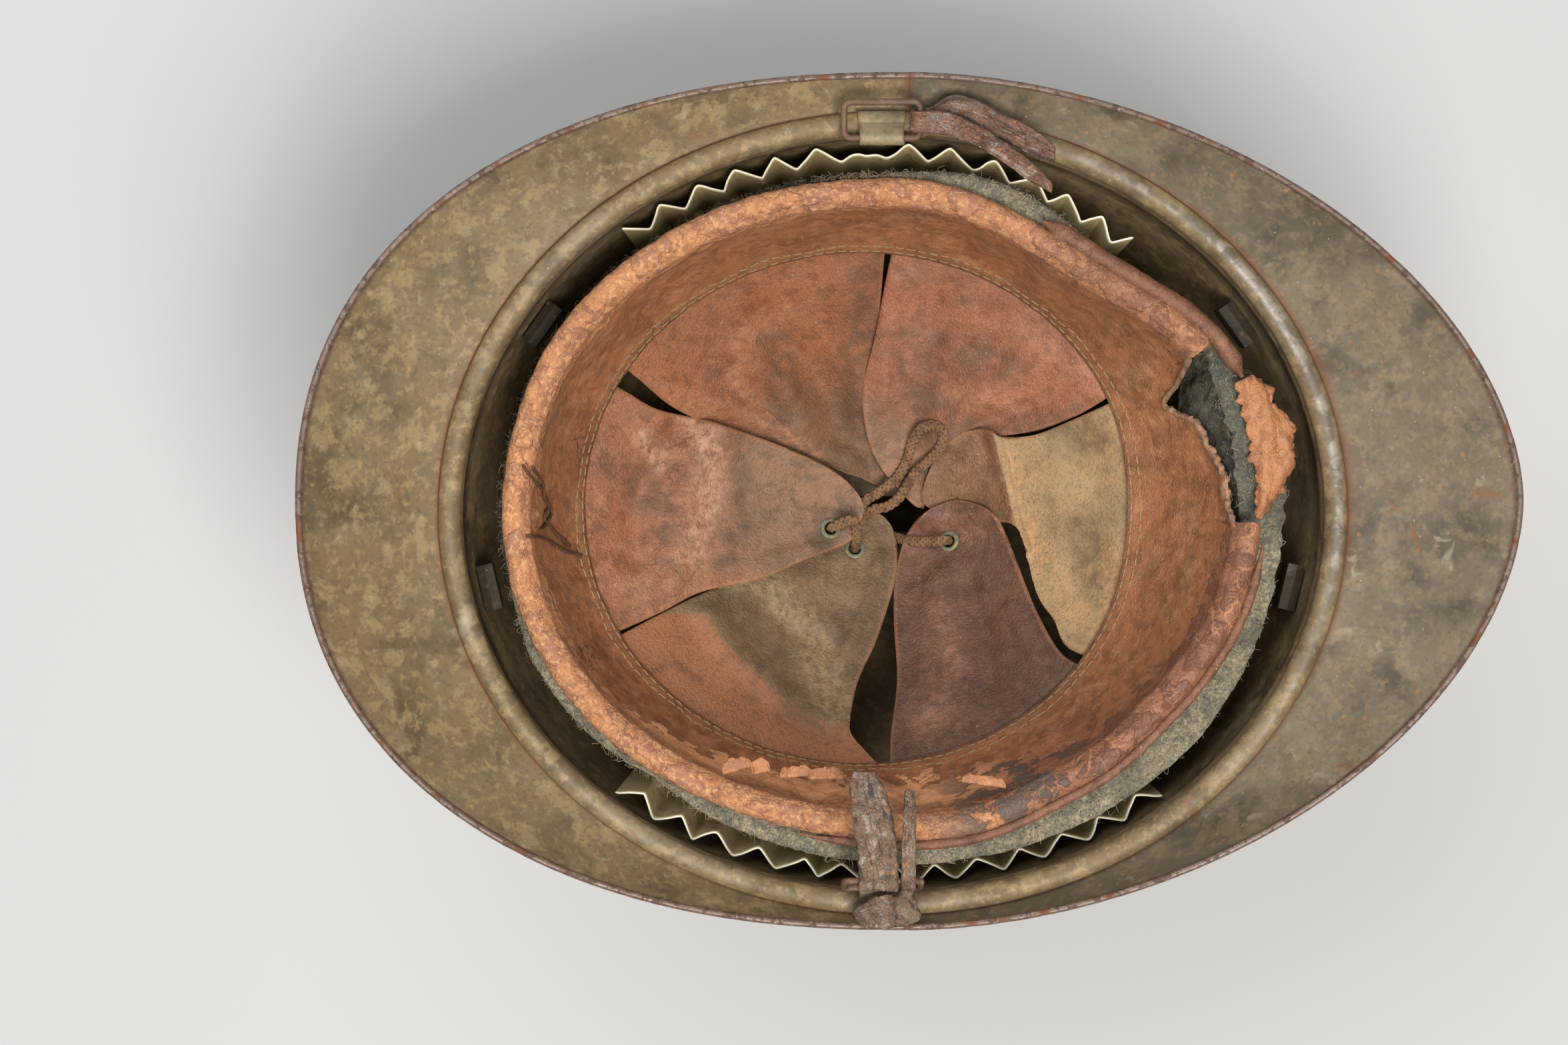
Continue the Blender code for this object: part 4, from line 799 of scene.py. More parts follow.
def build_steel_finish(name, paint=None, wear=0.5, rust=0.4, edge="edge", patchy=1.0):
    """Olive paint worn to grey steel, with chips, rust freckles, scratches and dust, and painted highlights
    on the bead and the edges.
    """
    c = colours()
    steel = Finish(name, paint or c.paint, 0.64, metallic=0.15)
    broad = steel.mottle(24, 7, 0.25, 0.42, 0.64)
    steel.layer(c.bare_steel, broad, wear, 0.46)
    shade = steel.mottle(60, 8, 0.3, 0.46, 0.68)
    steel.layer(dim(paint or c.paint, 0.34), shade, 0.72, 0.6)
    fine = steel.mottle(380, 7, 0.2, 0.5, 0.68)
    steel.layer((0.36, 0.255, 0.12), fine, 0.5 * patchy, 0.52)
    tan = steel.mottle(150, 9, 0.2, 0.51, 0.6)
    steel.layer((0.35, 0.25, 0.118), tan, 0.45 * patchy, 0.55)
    deep = steel.mottle(115, 9, 0.25, 0.53, 0.63)
    steel.layer((0.105, 0.086, 0.048), deep, 0.5 * patchy, 0.55)
    grime = steel.mottle(800, 5, 0.2, 0.5, 0.7)
    steel.layer((0.08, 0.06, 0.032), grime, 0.5)
    rough_rust = steel.mottle(90, 9, 0.5, 0.6, 0.72)
    freckles = steel.specks(420, 0.4, 0.06 + 0.16 * rust)
    groups = steel.mottle(70, 5, 0.2, 0.48, 0.62)
    steel.layer(c.rust, rough_rust, 0.45 * rust + 0.15, 0.8)
    steel.layer((0.34, 0.145, 0.05), steel.both(freckles, groups), rust, 0.75)
    blooms = steel.specks(150, 0.42, 0.12 * rust)
    steel.layer((0.37, 0.175, 0.07), steel.both(blooms, fine), 0.8 * rust, 0.75)
    dust = steel.specks(800, 0.2, 0.035)
    steel.layer((0.58, 0.56, 0.5), dust, 0.7, 0.7)
    for grain_, length_ in ((260, 9.0), (140, 14.0)):
        scratch = steel.fibres(grain_, length_)
        some = steel.mottle(grain_ / 3, 4, 0.2, 0.6, 0.7)
        steel.layer((0.5, 0.43, 0.3), steel.both(scratch, some), 0.35, 0.4)
    if edge:
        worn = steel.mark(edge)
        steel.layer((0.135, 0.088, 0.066), worn, 0.85, 0.34)
        bitten = steel.mottle(420, 8, 0.3, 0.49, 0.58)
        steel.layer((0.075, 0.036, 0.024), steel.both(worn, bitten), 0.8, 0.85)
        # Pale specks on the worn edge: painted highlights.
        edge_highlight = steel.mottle(700, 6, 0.2, 0.56, 0.64)
        steel.layer((0.34, 0.27, 0.22), steel.both(worn, edge_highlight), 0.32, 0.42)
    rusted = steel.mark("rust")
    steel.layer(dim(c.rust, 0.62), rusted, 0.9, 0.85)
    # The bead mark: a darker, glossier colour, with pale patches on it that are a painted highlight.
    painted_sheen = steel.mottle(180, 7, 0.2, 0.46, 0.62)
    steel.layer((0.11, 0.094, 0.07), steel.mark("bead"), 0.75, 0.5)
    steel.layer((0.38, 0.33, 0.27), steel.both(steel.mark("bead"), painted_sheen), 0.6, 0.28)
    steel.raise_by(shade, 0.2).raise_by(fine, 0.16).raise_by(freckles, -0.5).raise_by(rough_rust, -0.4)
    return steel.done(strength=0.55, distance=0.00035)


def dome_depth(x, y):
    """Depth of the skull's outer face under the rim at places in plan."""
    share = np.hypot((x - OPENING_CENTRE.x) / SKULL_HALF.x, (y - OPENING_CENTRE.y) / SKULL_HALF.y)
    return SKULL_DEPTH * (1 - np.clip(share, 0, 1) ** DOME_FULLNESS) ** (1 / DOME_FULLNESS)


def brim_reach(start, out):
    """How far the brims' outer edge lies from places on the bead, straight out from them."""
    low, high = np.zeros(len(start)), np.full(len(start), BRIM_HALF.x)
    for _ in range(HALVINGS):
        middle = (low + high) / 2
        p = start + out * middle[:, None]
        power = np.where(p[:, 0] > 0, FRONT_ROUNDNESS, REAR_ROUNDNESS)
        share = (np.abs(p[:, 0]) / (BRIM_HALF.x - EDGE_ROLL)) ** power
        share += (np.abs(p[:, 1]) / (BRIM_HALF.y - EDGE_ROLL)) ** power
        high = np.where(share > 1, middle, high)
        low = np.where(share > 1, low, middle)
    return low


def bead_places(angles):
    """Places on the dome's opening and the directions straight out of it, by angle."""
    out = np.stack([np.cos(angles) / OPENING_HALF.x, np.sin(angles) / OPENING_HALF.y], -1)
    return ellipse(OPENING_CENTRE, OPENING_HALF, angles), unit(out)


def make_brim(name, start, end, rise, slot_finish):
    """One half of the brim, held under the bead, with a dented face and a rolled, worn edge."""
    angles = sweep(start, end, 300)
    inner, out = bead_places(angles)
    reach = brim_reach(inner, out)
    tip = SIDE_RISE + (rise - SIDE_RISE) * np.abs(np.cos(angles)) ** 1.5
    first, flat = 2 * BEAD_RADIUS - BRIM_TUCK, 2 * BEAD_RADIUS - 0.0001
    shares = np.concatenate([[-1], np.linspace(0, 1, 44)])
    xs = np.where(shares < 0, first, flat + (reach[:, None] - flat) * shares)
    zs = (tip[:, None] + BEAD_RADIUS) * np.maximum(shares, 0) ** 1.25 - BEAD_RADIUS - BRIM_SHEET / 2
    plan = inner[:, None] + out[:, None] * xs[..., None]
    middle = raised(plan, RIM + zs)
    free = ease(shares, 0.15, 0.5) * ease(1 - shares, -0.05, 0.15)
    if name == "neck_guard":
        near_end = np.minimum(np.degrees(angles) - start, end - np.degrees(angles))
        middle[..., 2] -= 0.00035 * ease(2.5 - near_end, 0, 2.5)[:, None]
    middle[..., 2] += lumps(middle, 0.03, seed=3, octaves=2) * 0.0003 * free
    middle[..., 2] += lumps(middle, 0.009, seed=9, octaves=2) * 0.0001 * free
    slope = np.gradient(zs, axis=1) / np.gradient(xs, axis=1)
    turn = np.arctan(slope)
    half = BRIM_SHEET / 2
    side = np.stack([-np.sin(turn), np.cos(turn)], -1)
    shift = np.concatenate([out[:, None] * side[..., :1], side[..., 1:]], -1) * half
    top, low = middle + shift, middle - shift
    nick = np.clip(lumps(middle[:, -1], 0.0045, seed=17, octaves=3) - 0.25, 0, 1)
    roll_radius = EDGE_ROLL * (0.97 - 0.22 * nick)
    knob = []
    for degrees_ in np.linspace(125, -125, 14):
        a = turn[:, -1] + radians(degrees_)
        knob.append(np.concatenate([out * np.cos(a)[:, None], np.sin(a)[:, None]], -1)
                    * roll_radius[:, None] + middle[:, -1])
    knob = np.stack(knob, 1)
    sections = np.concatenate([top[:, :-1], knob, low[:, -2::-1]], 1)
    worn = np.zeros(sections.shape[:2])
    tops = top.shape[1] - 1
    worn[:, tops:tops + 14] = 1
    worn[:, tops - 1] = 0.55
    rust = np.zeros(sections.shape[:2])
    rust[:, tops:tops + 14] = np.clip(nick * 2, 0, 1)[:, None]
    uneven = 0.55 + 0.45 * lumps(middle[:, :1], 0.009, seed=21, octaves=3)
    spread = bell(np.degrees(angles), 48, 42)[:, None] * uneven
    rust[:, :8] = np.clip(np.array(BRIM_RUST_SHARES) + spread * np.array(BRIM_RUST_SPREAD), 0, 1)
    ends = np.minimum(np.arange(len(angles)), np.arange(len(angles))[::-1])
    rust = np.maximum(rust, ease(1.6 - ends, 0, 1.6)[:, None] * 0.8)
    piece = loft(name + "_sheet", sections, slot_finish, marks={"edge": worn, "rust": rust}, smooth=65)
    return place_piece(piece, "shell", "painted_steel", name)


def make_skull(finish):
    """The one-piece dome, its rim rolled into a bead over the brims, open at the crown."""
    count = 480
    angles = full_turn(count)
    inner_half = SKULL_HALF - Vector((SHEET, SHEET))
    rings, rust, worn = [], [], []

    def dome_ring(half, depth, share):
        """A ring on a dome at a share of its width, easing into the vent's oval near the crown."""
        cosine, sine = np.cos(angles), np.sin(angles)
        x = np.sqrt((half.x * share) ** 2 + VENT_HALF.x ** 2 * (1 - share ** 2)) * cosine
        y = np.sqrt((half.y * share) ** 2 + VENT_HALF.y ** 2 * (1 - share ** 2)) * sine
        level = np.hypot(x / half.x, y / half.y)
        deep = depth * (1 - np.clip(level, 0, 1) ** DOME_FULLNESS) ** (1 / DOME_FULLNESS)
        ring = np.stack([OPENING_CENTRE.x + x, OPENING_CENTRE.y + y, RIM - deep], -1)
        dents = lumps(ring, 0.035, seed=5, octaves=2) * DOME_DENTS
        ring[:, 2] += dents * ease(share, 0.2, 0.5) * (share < 0.96)
        return ring

    turns = np.linspace(0, pi / 2, 44)
    shares = np.sin(turns) ** (2 / DOME_FULLNESS)
    for share in shares[:-1]:
        rings.append(dome_ring(SKULL_HALF, SKULL_DEPTH, min(share, 0.995)))
        rust.append(np.zeros(count))
        worn.append(np.zeros(count))
    arc = sweep(18, 180, 22)
    inner_arc = sweep(180, 28, 10)
    roll = np.array([BEAD_RADIUS, -BEAD_RADIUS])
    points = [(BEAD_SHEET, -COLLAR_DEPTH * 0.35)]
    points += [roll + np.array([cos(a), sin(a)]) * (BEAD_RADIUS - BEAD_SHEET) for a in inner_arc]
    first_arc = len(points)
    points += [roll + np.array([cos(a), sin(a)]) * BEAD_RADIUS for a in arc]
    step = WALL_OFFSET - COLLAR_STEP
    points += [(0.0002, -1.4 * BEAD_RADIUS), (step, -2 * BEAD_RADIUS),
               (step + 0.0001, -COLLAR_DEPTH * 0.62), (step - 0.0001, -COLLAR_DEPTH * 0.66),
               (step, -COLLAR_DEPTH), (WALL_OFFSET, -COLLAR_DEPTH - COLLAR_STEP)]
    inner, out = bead_places(angles)
    for i, (x, z) in enumerate(points):
        plan = inner + out * x
        if i >= len(points) - 6:
            plan = ellipse(OPENING_CENTRE, OPENING_HALF + Vector((x, x)), angles)
        rings.append(raised(plan, np.full(count, RIM + z)))
        rust.append(np.full(count, 1.0 if i <= first_arc + 1 else 0.0))
        crown = 1 - min(abs(degrees(atan2(z + BEAD_RADIUS, x - BEAD_RADIUS)) - 88) / 40, 1)
        # The crest is weighted toward the right side, where its painted highlight and its edge wear are
        # strongest.
        painted_sheen = 0.1 + 0.9 * bell(wrapped(angles), 20, 38)
        worn.append(painted_sheen * (max(crown, 0) if i >= first_arc else 0))
    for share in shares[-3::-1]:
        rings.append(dome_ring(inner_half, SKULL_DEPTH - SHEET, min(share, 0.99)))
        rust.append(np.zeros(count))
        worn.append(np.zeros(count))
    sections, rust, worn = (np.swapaxes(np.array(rows), 0, 1) for rows in (rings, rust, worn))
    # The bead mark carries the crest's darker colour and its painted highlight.
    marks = {"rust": rust, "edge": worn * 0.4, "bead": np.clip(worn * 1.6, 0, 1)}
    piece = loft("skull_shell", sections, finish, ring=True, marks=marks, smooth=60)
    return place_piece(piece, "shell", "painted_steel", "skull")


def comb_frame(share):
    """Place, outward direction and half width of the rib along the comb, from the rear to the front."""
    reach = COMB_FRONT_SHARE if share > 0 else COMB_REAR_SHARE
    x = OPENING_CENTRE.x + SKULL_HALF.x * reach * sin(share * pi / 4) / sin(pi / 4)
    base, out = skull_frame(x, OPENING_CENTRE.y)
    return base, out, COMB_RIB_WIDTH / 2 * (1 - 0.45 * share * share)


def skull_frame(x, y):
    """A point on the skull's outer face and the direction out of it there."""
    step = SHEET / 10
    slopes = [(dome_depth(x + dx, y + dy) - dome_depth(x - dx, y - dy)) / (2 * step)
              for dx, dy in ((step, 0), (0, step))]
    return Vector((x, y, RIM - dome_depth(x, y))), -Vector((slopes[0], slopes[1], 1)).normalized()


def drop_to_skull(base, out, sides):
    """How far the skull's outer face lies along out from places beside the comb's middle."""
    low, high = np.full(len(sides), -COMB_HEIGHT), np.full(len(sides), COMB_HEIGHT)
    for _ in range(COMB_HALVINGS):
        middle = (low + high) / 2
        x, y, z = base.x + out.x * middle, base.y + sides + out.y * middle, base.z + out.z * middle
        beyond = z < RIM - dome_depth(x, y)
        high = np.where(beyond, middle, high)
        low = np.where(beyond, low, middle)
    return low


def make_comb(finish):
    """The raised hollow crest over the crown, with a flat flange on each side and worn ridge."""
    across = np.linspace(-1, 1, 37)
    upper, lower, ridge = [], [], []
    for share in np.linspace(-1, 1, 190):
        base, out, rib = comb_frame(share)
        flange = rib + COMB_FLANGE * sqrt(max(1 - share ** 6, 0.12))
        rise = max(1 - abs(share / COMB_RIB_SHARE) ** 2.4, 0) ** 0.8
        height = (COMB_HEIGHT - SHEET - CURVED_CLEARANCE) * rise
        for rows, half in ((upper, rib), (lower, rib - SHEET)):
            between = (flange + half) / 2
            sides = np.concatenate([[-flange, -between], across * half, [between, flange]])
            raised = np.clip(1 - np.abs(sides / half) ** 2.4, 0, 1) ** 0.7 * height
            lift = CURVED_CLEARANCE + (SHEET if half == rib else 0)
            level = drop_to_skull(base, out, sides) + lift + raised
            points = np.array(base) + np.array(out) * level[:, None]
            points[:, 1] += sides
            rows.append(points)
        ridge.append(np.concatenate([[0, 0], np.clip(1.15 - np.abs(across) * 1.3, 0, 1), [0, 0]]))
    upper, lower = np.array(upper), np.array(lower)[:, ::-1]
    upper[..., 2] += lumps(upper, 0.012, seed=21, octaves=2) * 0.00012
    sections = np.concatenate([upper, lower], 1)
    worn = np.concatenate([np.array(ridge), np.zeros(lower.shape[:2])], 1)
    piece = loft("comb_shell", sections, finish, marks={"edge": worn * 0.8}, smooth=60)
    return place_piece(piece, "shell", "painted_steel", "comb")


def lathe(name, profile, place, finish, count=28, smooth=40):
    """A turned piece from (radius, height) pairs, closed where the first and last radius are zero."""
    sections = []
    for turn in full_turn(count):
        sections.append([place @ Vector((r * cos(turn), r * sin(turn), h)) for r, h in profile])
    return loft(name, sections, finish, ring=True, smooth=smooth)


def make_rivets(finish):
    """Domed rivets through the comb's flanges and the loops' brackets."""
    for node in [f"comb_rivet_{n}" for n in (1, 2, 3, 4)] + ["bracket_rivet_right", "bracket_rivet_left"]:
        low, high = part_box(node)
        middle = (low + high) / 2
        if node.startswith("comb"):
            base, out = skull_frame(middle.x, middle.y)
            for _ in range(4):
                gap = (middle - base).to_2d() - (middle - base).dot(out) * out.to_2d()
                base, out = skull_frame(base.x + gap.x, base.y + gap.y)
            inside, outside = SHEET + CLEARANCE, CURVED_CLEARANCE + SHEET
        else:
            out = Vector((0, 1 if middle.y > 0 else -1, 0))
            face = high.y if out.y > 0 else low.y
            base = Vector((middle.x, face - out.y * RIVET_HEAD_HEIGHT, middle.z))
            inside, outside = (high.y - low.y) - 2 * RIVET_HEAD_HEIGHT, 0
        head, rise = RIVET_HEAD_RADIUS, RIVET_HEAD_HEIGHT
        profile = [(0, -inside - rise), (head * 0.55, -inside - rise * 0.9),
                   (head * 0.84, -inside - rise * 0.45), (head * 0.85, -inside - CLEARANCE),
                   (RIVET_RADIUS, -inside - CLEARANCE),
                   (RIVET_RADIUS, outside + CLEARANCE), (head, outside + CLEARANCE)]
        profile += [(head * cos(a), outside + CLEARANCE + (rise - CLEARANCE) * sin(a))
                    for a in np.radians((20, 40, 60, 78))] + [(0, outside + rise)]
        turn = Matrix.Translation(base) @ out.to_track_quat("Z", "Y").to_matrix().to_4x4()
        piece = lathe(node + "_turned", profile, turn, finish)
        place_piece(piece, "shell", "bare_steel", node)


# Strap loops, brackets and the strap's ends

def loop_axis(side):
    """The middle of a loop's hinge bar; side is 1 on the wearer's right and -1 on the left."""
    word = "right" if side > 0 else "left"
    return Vector(JOINTS[f"{word}_loop_swing"]["pos_m"])


def loop_frame(side, angle):
    """Turns the loop's own frame to its place: its y runs from the hinge bar to the outer bar."""
    turn = radians(angle)
    along = Vector((1, 0, 0))
    out = Vector((0, side * cos(turn), sin(turn)))
    turned = Matrix((along, out, along.cross(out))).transposed().to_4x4()
    return Matrix.Translation(loop_axis(side)) @ turned


def make_bracket(word, side, finish):
    """A strip folded round the loop's bar, over the bead and down the wall."""
    bar = np.array([-LOOP_AXIS_INSET, LOOP_AXIS_HEIGHT])
    wrap = LOOP_WIRE_RADIUS + CLEARANCE + TRIM_SHEET / 2
    over = BEAD_RADIUS + CLEARANCE + TRIM_SHEET / 2
    roll = np.array([BEAD_RADIUS, -BEAD_RADIUS])
    leg = WALL_OFFSET - COLLAR_STEP - CLEARANCE - TRIM_SHEET / 2
    path = [roll + np.array([cos(a), sin(a)]) * over for a in sweep(35, 92, 10)]
    path += [bar + np.array([cos(a), sin(a)]) * wrap for a in sweep(62, 226, 22)]
    path += [np.array([-CLEARANCE - TRIM_SHEET / 2, -BEAD_RADIUS]), np.array([leg, -2 * BEAD_RADIUS]),
             np.array([leg, -BRACKET_LEG])]
    line = evenly(path, 90)
    axis = loop_axis(side)
    base = np.array([axis.x, axis.y + side * LOOP_AXIS_INSET, RIM])
    columns = np.linspace(-1, 1, 17) * BRACKET_WIDTH / 2
    narrow = 1 - 0.1 * bell(np.linspace(0, 1, 90), 0.3, 0.16)
    grid = np.zeros((90, 17, 3))
    grid[..., 0] = base[0] + columns * narrow[:, None]
    grid[..., 1] = base[1] + side * line[:, :1]
    grid[..., 2] = base[2] + line[:, 1:]
    grid[..., 2] += lumps(grid, 0.004, seed=31) * 0.00006
    ends = np.abs(columns / columns[-1])[None, :] ** 6 * np.ones((90, 1))
    # The bead mark paints a band across the middle of the strip darker, with pale patches on it that are a
    # painted highlight.
    piece = leaf(f"loop_bracket_{word}_strip", grid, TRIM_SHEET, finish, marks={"edge": ends * 0.5,
                 "bead": np.repeat(bell(np.linspace(0, 1, 90), 0.5, 0.09)[:, None], 17, axis=1)})
    return place_piece(piece, "shell", "bare_steel", f"loop_bracket_{word}")


def make_loop(word, side, finish):
    """A bent wire loop, pitted by rust."""
    half = LOOP_LENGTH / 2 - LOOP_WIRE_RADIUS
    place = loop_frame(side, LOOP_RESTS[word])
    corners = ((half, 0, 0), (half, LOOP_RISE, 90), (-half, LOOP_RISE, 180), (-half, 0, 270))
    line = []
    for x, y, turn in corners:
        centre = Vector((x, y, 0)) + Vector((-1 if x > 0 else 1, 1 if y == 0 else -1, 0)) * LOOP_CORNER
        line += [centre + Vector((cos(a), sin(a), 0)) * LOOP_CORNER for a in sweep(turn - 90, turn, 9)]
    line = evenly([place @ p for p in line + line[:1]], 221)[:-1]
    radius = LOOP_WIRE_RADIUS * (0.97 + 0.05 * lumps(line, 0.003, seed=13))
    piece = rod(f"strap_loop_{word}_wire", line, radius, 18, finish, closed=True)
    return place_piece(piece, f"{word}_loop", "rusty_wire", f"strap_loop_{word}")


def strap_leaf(name, place, stations, finish, seed):
    """A strap through stations, each a point, a direction across it and a width, cracked and ragged."""
    table = np.array([[*point, *across, width] for point, across, width in stations])
    count, columns = 150, 26
    line = smooth_line(table, count)
    shares = np.linspace(-1, 1, columns)
    grid = np.zeros((count, columns, 3))
    edge = np.stack([np.linspace(0, 0.04, count), np.full(count, seed), np.zeros(count)], -1)
    ragged = lumps(edge, 0.0024)
    for i, row in enumerate(line):
        across = Vector(row[3:6]).normalized()
        half = row[6] / 2 * (0.96 + 0.07 * ragged[i])
        for j, share in enumerate(shares):
            grid[i, j] = place @ (Vector(row[:3]) + across * half * share)
    square = directions(grid, False)
    curl = (shares ** 2 - 0.4) * 0.00035
    fine = lumps(grid, 0.0016, seed=seed) * 0.00016 + lumps(grid, 0.006, seed=seed + 5, octaves=2) * 0.0003
    along = np.linspace(0, 1, count)[:, None] + 0 * shares
    bent = shares * 0.006 + 0.0012 * np.sin(5 * along)
    lanes = np.stack([bent, along * 0.006, 0 * along + seed * 0.01], -1)
    streak = lumps(lanes, 0.0011, seed=seed + 9, octaves=3)
    grid += square * (curl[None, :, None] + fine[..., None] + streak[..., None] * 0.00022)
    # Painted shade along the furrows and a painted highlight along the ridges, following the streaks that
    # shape the strap.
    marks = {"furrow_shade": np.clip(-streak * 1.6 - 0.1, 0, 1), "ridge": np.clip(streak * 1.6 - 0.1, 0, 1)}
    return leaf(name, grid, STRAP_THICKNESS * 0.9, finish, marks=marks)


def make_right_strap(finish):
    """The torn strap end folded round the right loop's front arm: two ends side by side."""
    arm = Matrix.Translation(Vector((LOOP_LENGTH / 2 - LOOP_WIRE_RADIUS, LOOP_RISE / 2, 0)))
    across = (0, 1, 0)
    stations = []

    def leg(table, sign, end_share):
        """Stations of one of the strap's two ends."""
        rows = []
        for along, side, lift in table:
            point = Vector((along, side, lift)) * STRAP_LENGTH
            if along < 0.3 or sign > 0:
                point.z = sign * max(sign * point.z, STRAP_WRAP)
            wider = (STRAP_WIDTH - STRAP_FOLD_WIDTH) * min(along * 3, 1)
            width = STRAP_FOLD_WIDTH + wider * (0.25 if sign > 0 else 0.6)
            if sign > 0:
                point.x *= 1 - 0.1 * along
                width *= 1 - 0.35 * along ** 2
            rows.append((point, across, width * (end_share if along > 0.9 else 1)))
        return rows

    stations += reversed(leg(LOWER_LEG_SHARES, -1, 0.5))
    stations += [(Vector((cos(a), 0, sin(a))) * STRAP_WRAP, across, STRAP_FOLD_WIDTH)
                 for a in np.radians((-90, -125, -160, -200, -235, -270))]
    stations += leg(UPPER_LEG_SHARES, 1, 0.45)
    place = loop_frame(1, LOOP_RESTS["right"]) @ arm
    piece = strap_leaf("strap_end_right_leather", place, stations, finish, 41)
    return place_piece(piece, "right_strap", "strap_leather", "strap_end_right")


def make_left_straps(finish):
    """Two strap ends over the left loop's outer bar: one stands up, one ends in a torn flap."""
    frame_there = loop_frame(-1, LOOP_RESTS["left"])
    level = frame_there.to_3x3().inverted().to_4x4()
    place = frame_there @ Matrix.Translation(Vector((0, LOOP_RISE, 0))) @ level
    across = (1, 0, 0)

    def hung(table, long, width, shift):
        """Stations from places in shares of the strap's width and length."""
        return [(Vector((shift + side * width, reach * long, lift * long)), across, width * wide)
                for side, reach, lift, wide in table]

    def over_bar(shift, width, turns):
        """Stations round the loop's outer bar."""
        return [(Vector((shift, cos(a) * STRAP_WRAP, sin(a) * STRAP_WRAP)), across, width)
                for a in np.radians(turns)]

    stations = hung(LEFT_END_SHARES, LEFT_STRAP_LENGTH, LEFT_STRAP_WIDTH, -STRAP_SIDE_SHIFT)
    stations += over_bar(-STRAP_SIDE_SHIFT, LEFT_STRAP_WIDTH, (70, 105, 140, 175, 210, 240))
    end = strap_leaf("strap_end_left_leather", place, stations, finish, 53)
    place_piece(end, "left_strap", "strap_leather", "strap_end_left")
    beside = LOOP_LENGTH / 2 - LOOP_WIRE_RADIUS - LOOP_CORNER - NARROW_END_WIDTH / 2
    stations = hung(NARROW_END_SHARES, NARROW_END_LENGTH, NARROW_END_WIDTH, beside)
    stations += over_bar(beside, NARROW_END_WIDTH, (70, 105, 140, 175))
    stations += hung(FLAP_SHARES, LEFT_FLAP_LENGTH, LEFT_FLAP_WIDTH, STRAP_SIDE_SHIFT)
    flap = strap_leaf("strap_flap_left_leather", place, stations, finish, 67)
    place_piece(flap, "left_loop", "strap_leather", "strap_flap_left")


# Corrugated spacers between the wall and the felt

def wall_half(depth):
    """Half sizes of the skull's inner face at a depth under the rim."""
    inner = SKULL_HALF - Vector((SHEET, SHEET))
    return inner * (1 - min(depth / (SKULL_DEPTH - SHEET), 1) ** DOME_FULLNESS) ** (1 / DOME_FULLNESS)


def make_spacer(name, finish, dented=None, away=0.0):
    """A strip of corrugated sheet between the skull's wall and the felt."""
    start, end = SPACER_SPANS[name]
    count = SPACER_WAVES * 36
    turns = np.linspace(0, SPACER_WAVES, count + 1)
    wave = np.clip(0.5 + np.arcsin(0.955 * np.cos(2 * pi * turns)) / pi * 1.1, 0, 1)
    uneven = lumps(np.stack([turns * 0.01, 0 * turns, 0 * turns], -1), 0.012, seed=len(name))
    wave = wave * (0.93 + 0.07 * uneven)
    if dented:
        flat = bell(turns, dented, 0.42)
        wave = wave * (1 - flat) + 0.28 * flat
    angles = np.radians(start + (end - start) * (turns + 0.16 * uneven) / SPACER_WAVES)
    rows = []
    for share in np.linspace(0, 1, 13):
        half = wall_half(SPACER_TOP + SPACER_HEIGHT * share)
        inset = CURVED_CLEARANCE + SPACER_WAVE * (1 - np.clip(wave, 0, 1)) + 0.0038 * share
        inset = inset + away * ease(86 - np.degrees(angles), 0, 36)
        x = OPENING_CENTRE.x + (half.x - inset) * np.cos(angles)
        y = OPENING_CENTRE.y + (half.y - inset) * np.sin(angles)
        z = np.full(count + 1, RIM - SPACER_TOP - SPACER_HEIGHT * share)
        if share == 0:
            z = z + 0.0002 * uneven
        rows.append(np.stack([x, y, z], -1))
    grid = np.stack(rows, 1)
    # The top row carries the mark for the finish's painted highlight along the top edge.
    top = np.zeros(grid.shape[:2])
    top[:, 0] = 1
    piece = leaf(name + "_sheet", grid, SPACER_SHEET, finish, marks={"edge": top}, smooth=70)
    return place_piece(piece, "shell", "pale_metal", name)


# Leather and felt

def build_leather(name, base, dark, pale, crack=0.4, bloom=0.35, grain=0.5):
    """Old leather: grain and cracks over tanned colour, scuffed pale, darkened by use, with bloom."""
    c = colours()
    hide = Finish(name, base, 0.55, shine=0.42)
    broad = hide.mottle(48, 7, 0.3, 0.42, 0.66)
    hide.layer(dark, broad, 0.62, 0.48)
    patch = hide.mottle(95, 8, 0.35, 0.5, 0.68)
    hide.layer(pale, patch, 0.5, 0.66)
    blotch = hide.mottle(230, 8, 0.2, 0.5, 0.6)
    hide.layer(dim(base, 0.48), blotch, 0.55)
    raised = hide.mottle(360, 8, 0.2, 0.52, 0.62)
    hide.layer(tuple(0.5 * (u + v) for u, v in zip(base, pale)), raised, 0.55, 0.6)
    dusty = hide.mottle(75, 9, 0.2, 0.5, 0.7)
    hide.layer(c.bloom, dusty, bloom, 0.85)
    pebbles = hide.mask("Grain", "Height", Scale=1500, Crease=0.6)
    coarse = hide.mask("Grain", "Height", Scale=700, Crease=0.4)
    pores = hide.without(pebbles)
    hide.layer(dim(dark, 0.5), pores, 0.35)
    net = hide.cracks(120, 0.03, 0.56, 1.0)
    fine = hide.cracks(420, 0.06, 0.48, 0.6)
    hide.layer(dim(dark, 0.22), net, crack, 0.9)
    hide.layer(dim(dark, 0.4), fine, crack * 0.6, 0.85)
    spots = hide.specks(620, 0.22, 0.07)
    hide.layer((0.6, 0.55, 0.44), spots, 0.55, 0.9)
    hide.raise_by(pebbles, 0.3 * grain).raise_by(coarse, 0.35 * grain)
    hide.raise_by(net, -0.9 * crack).raise_by(fine, -0.5 * crack).raise_by(patch, 0.15)
    return hide


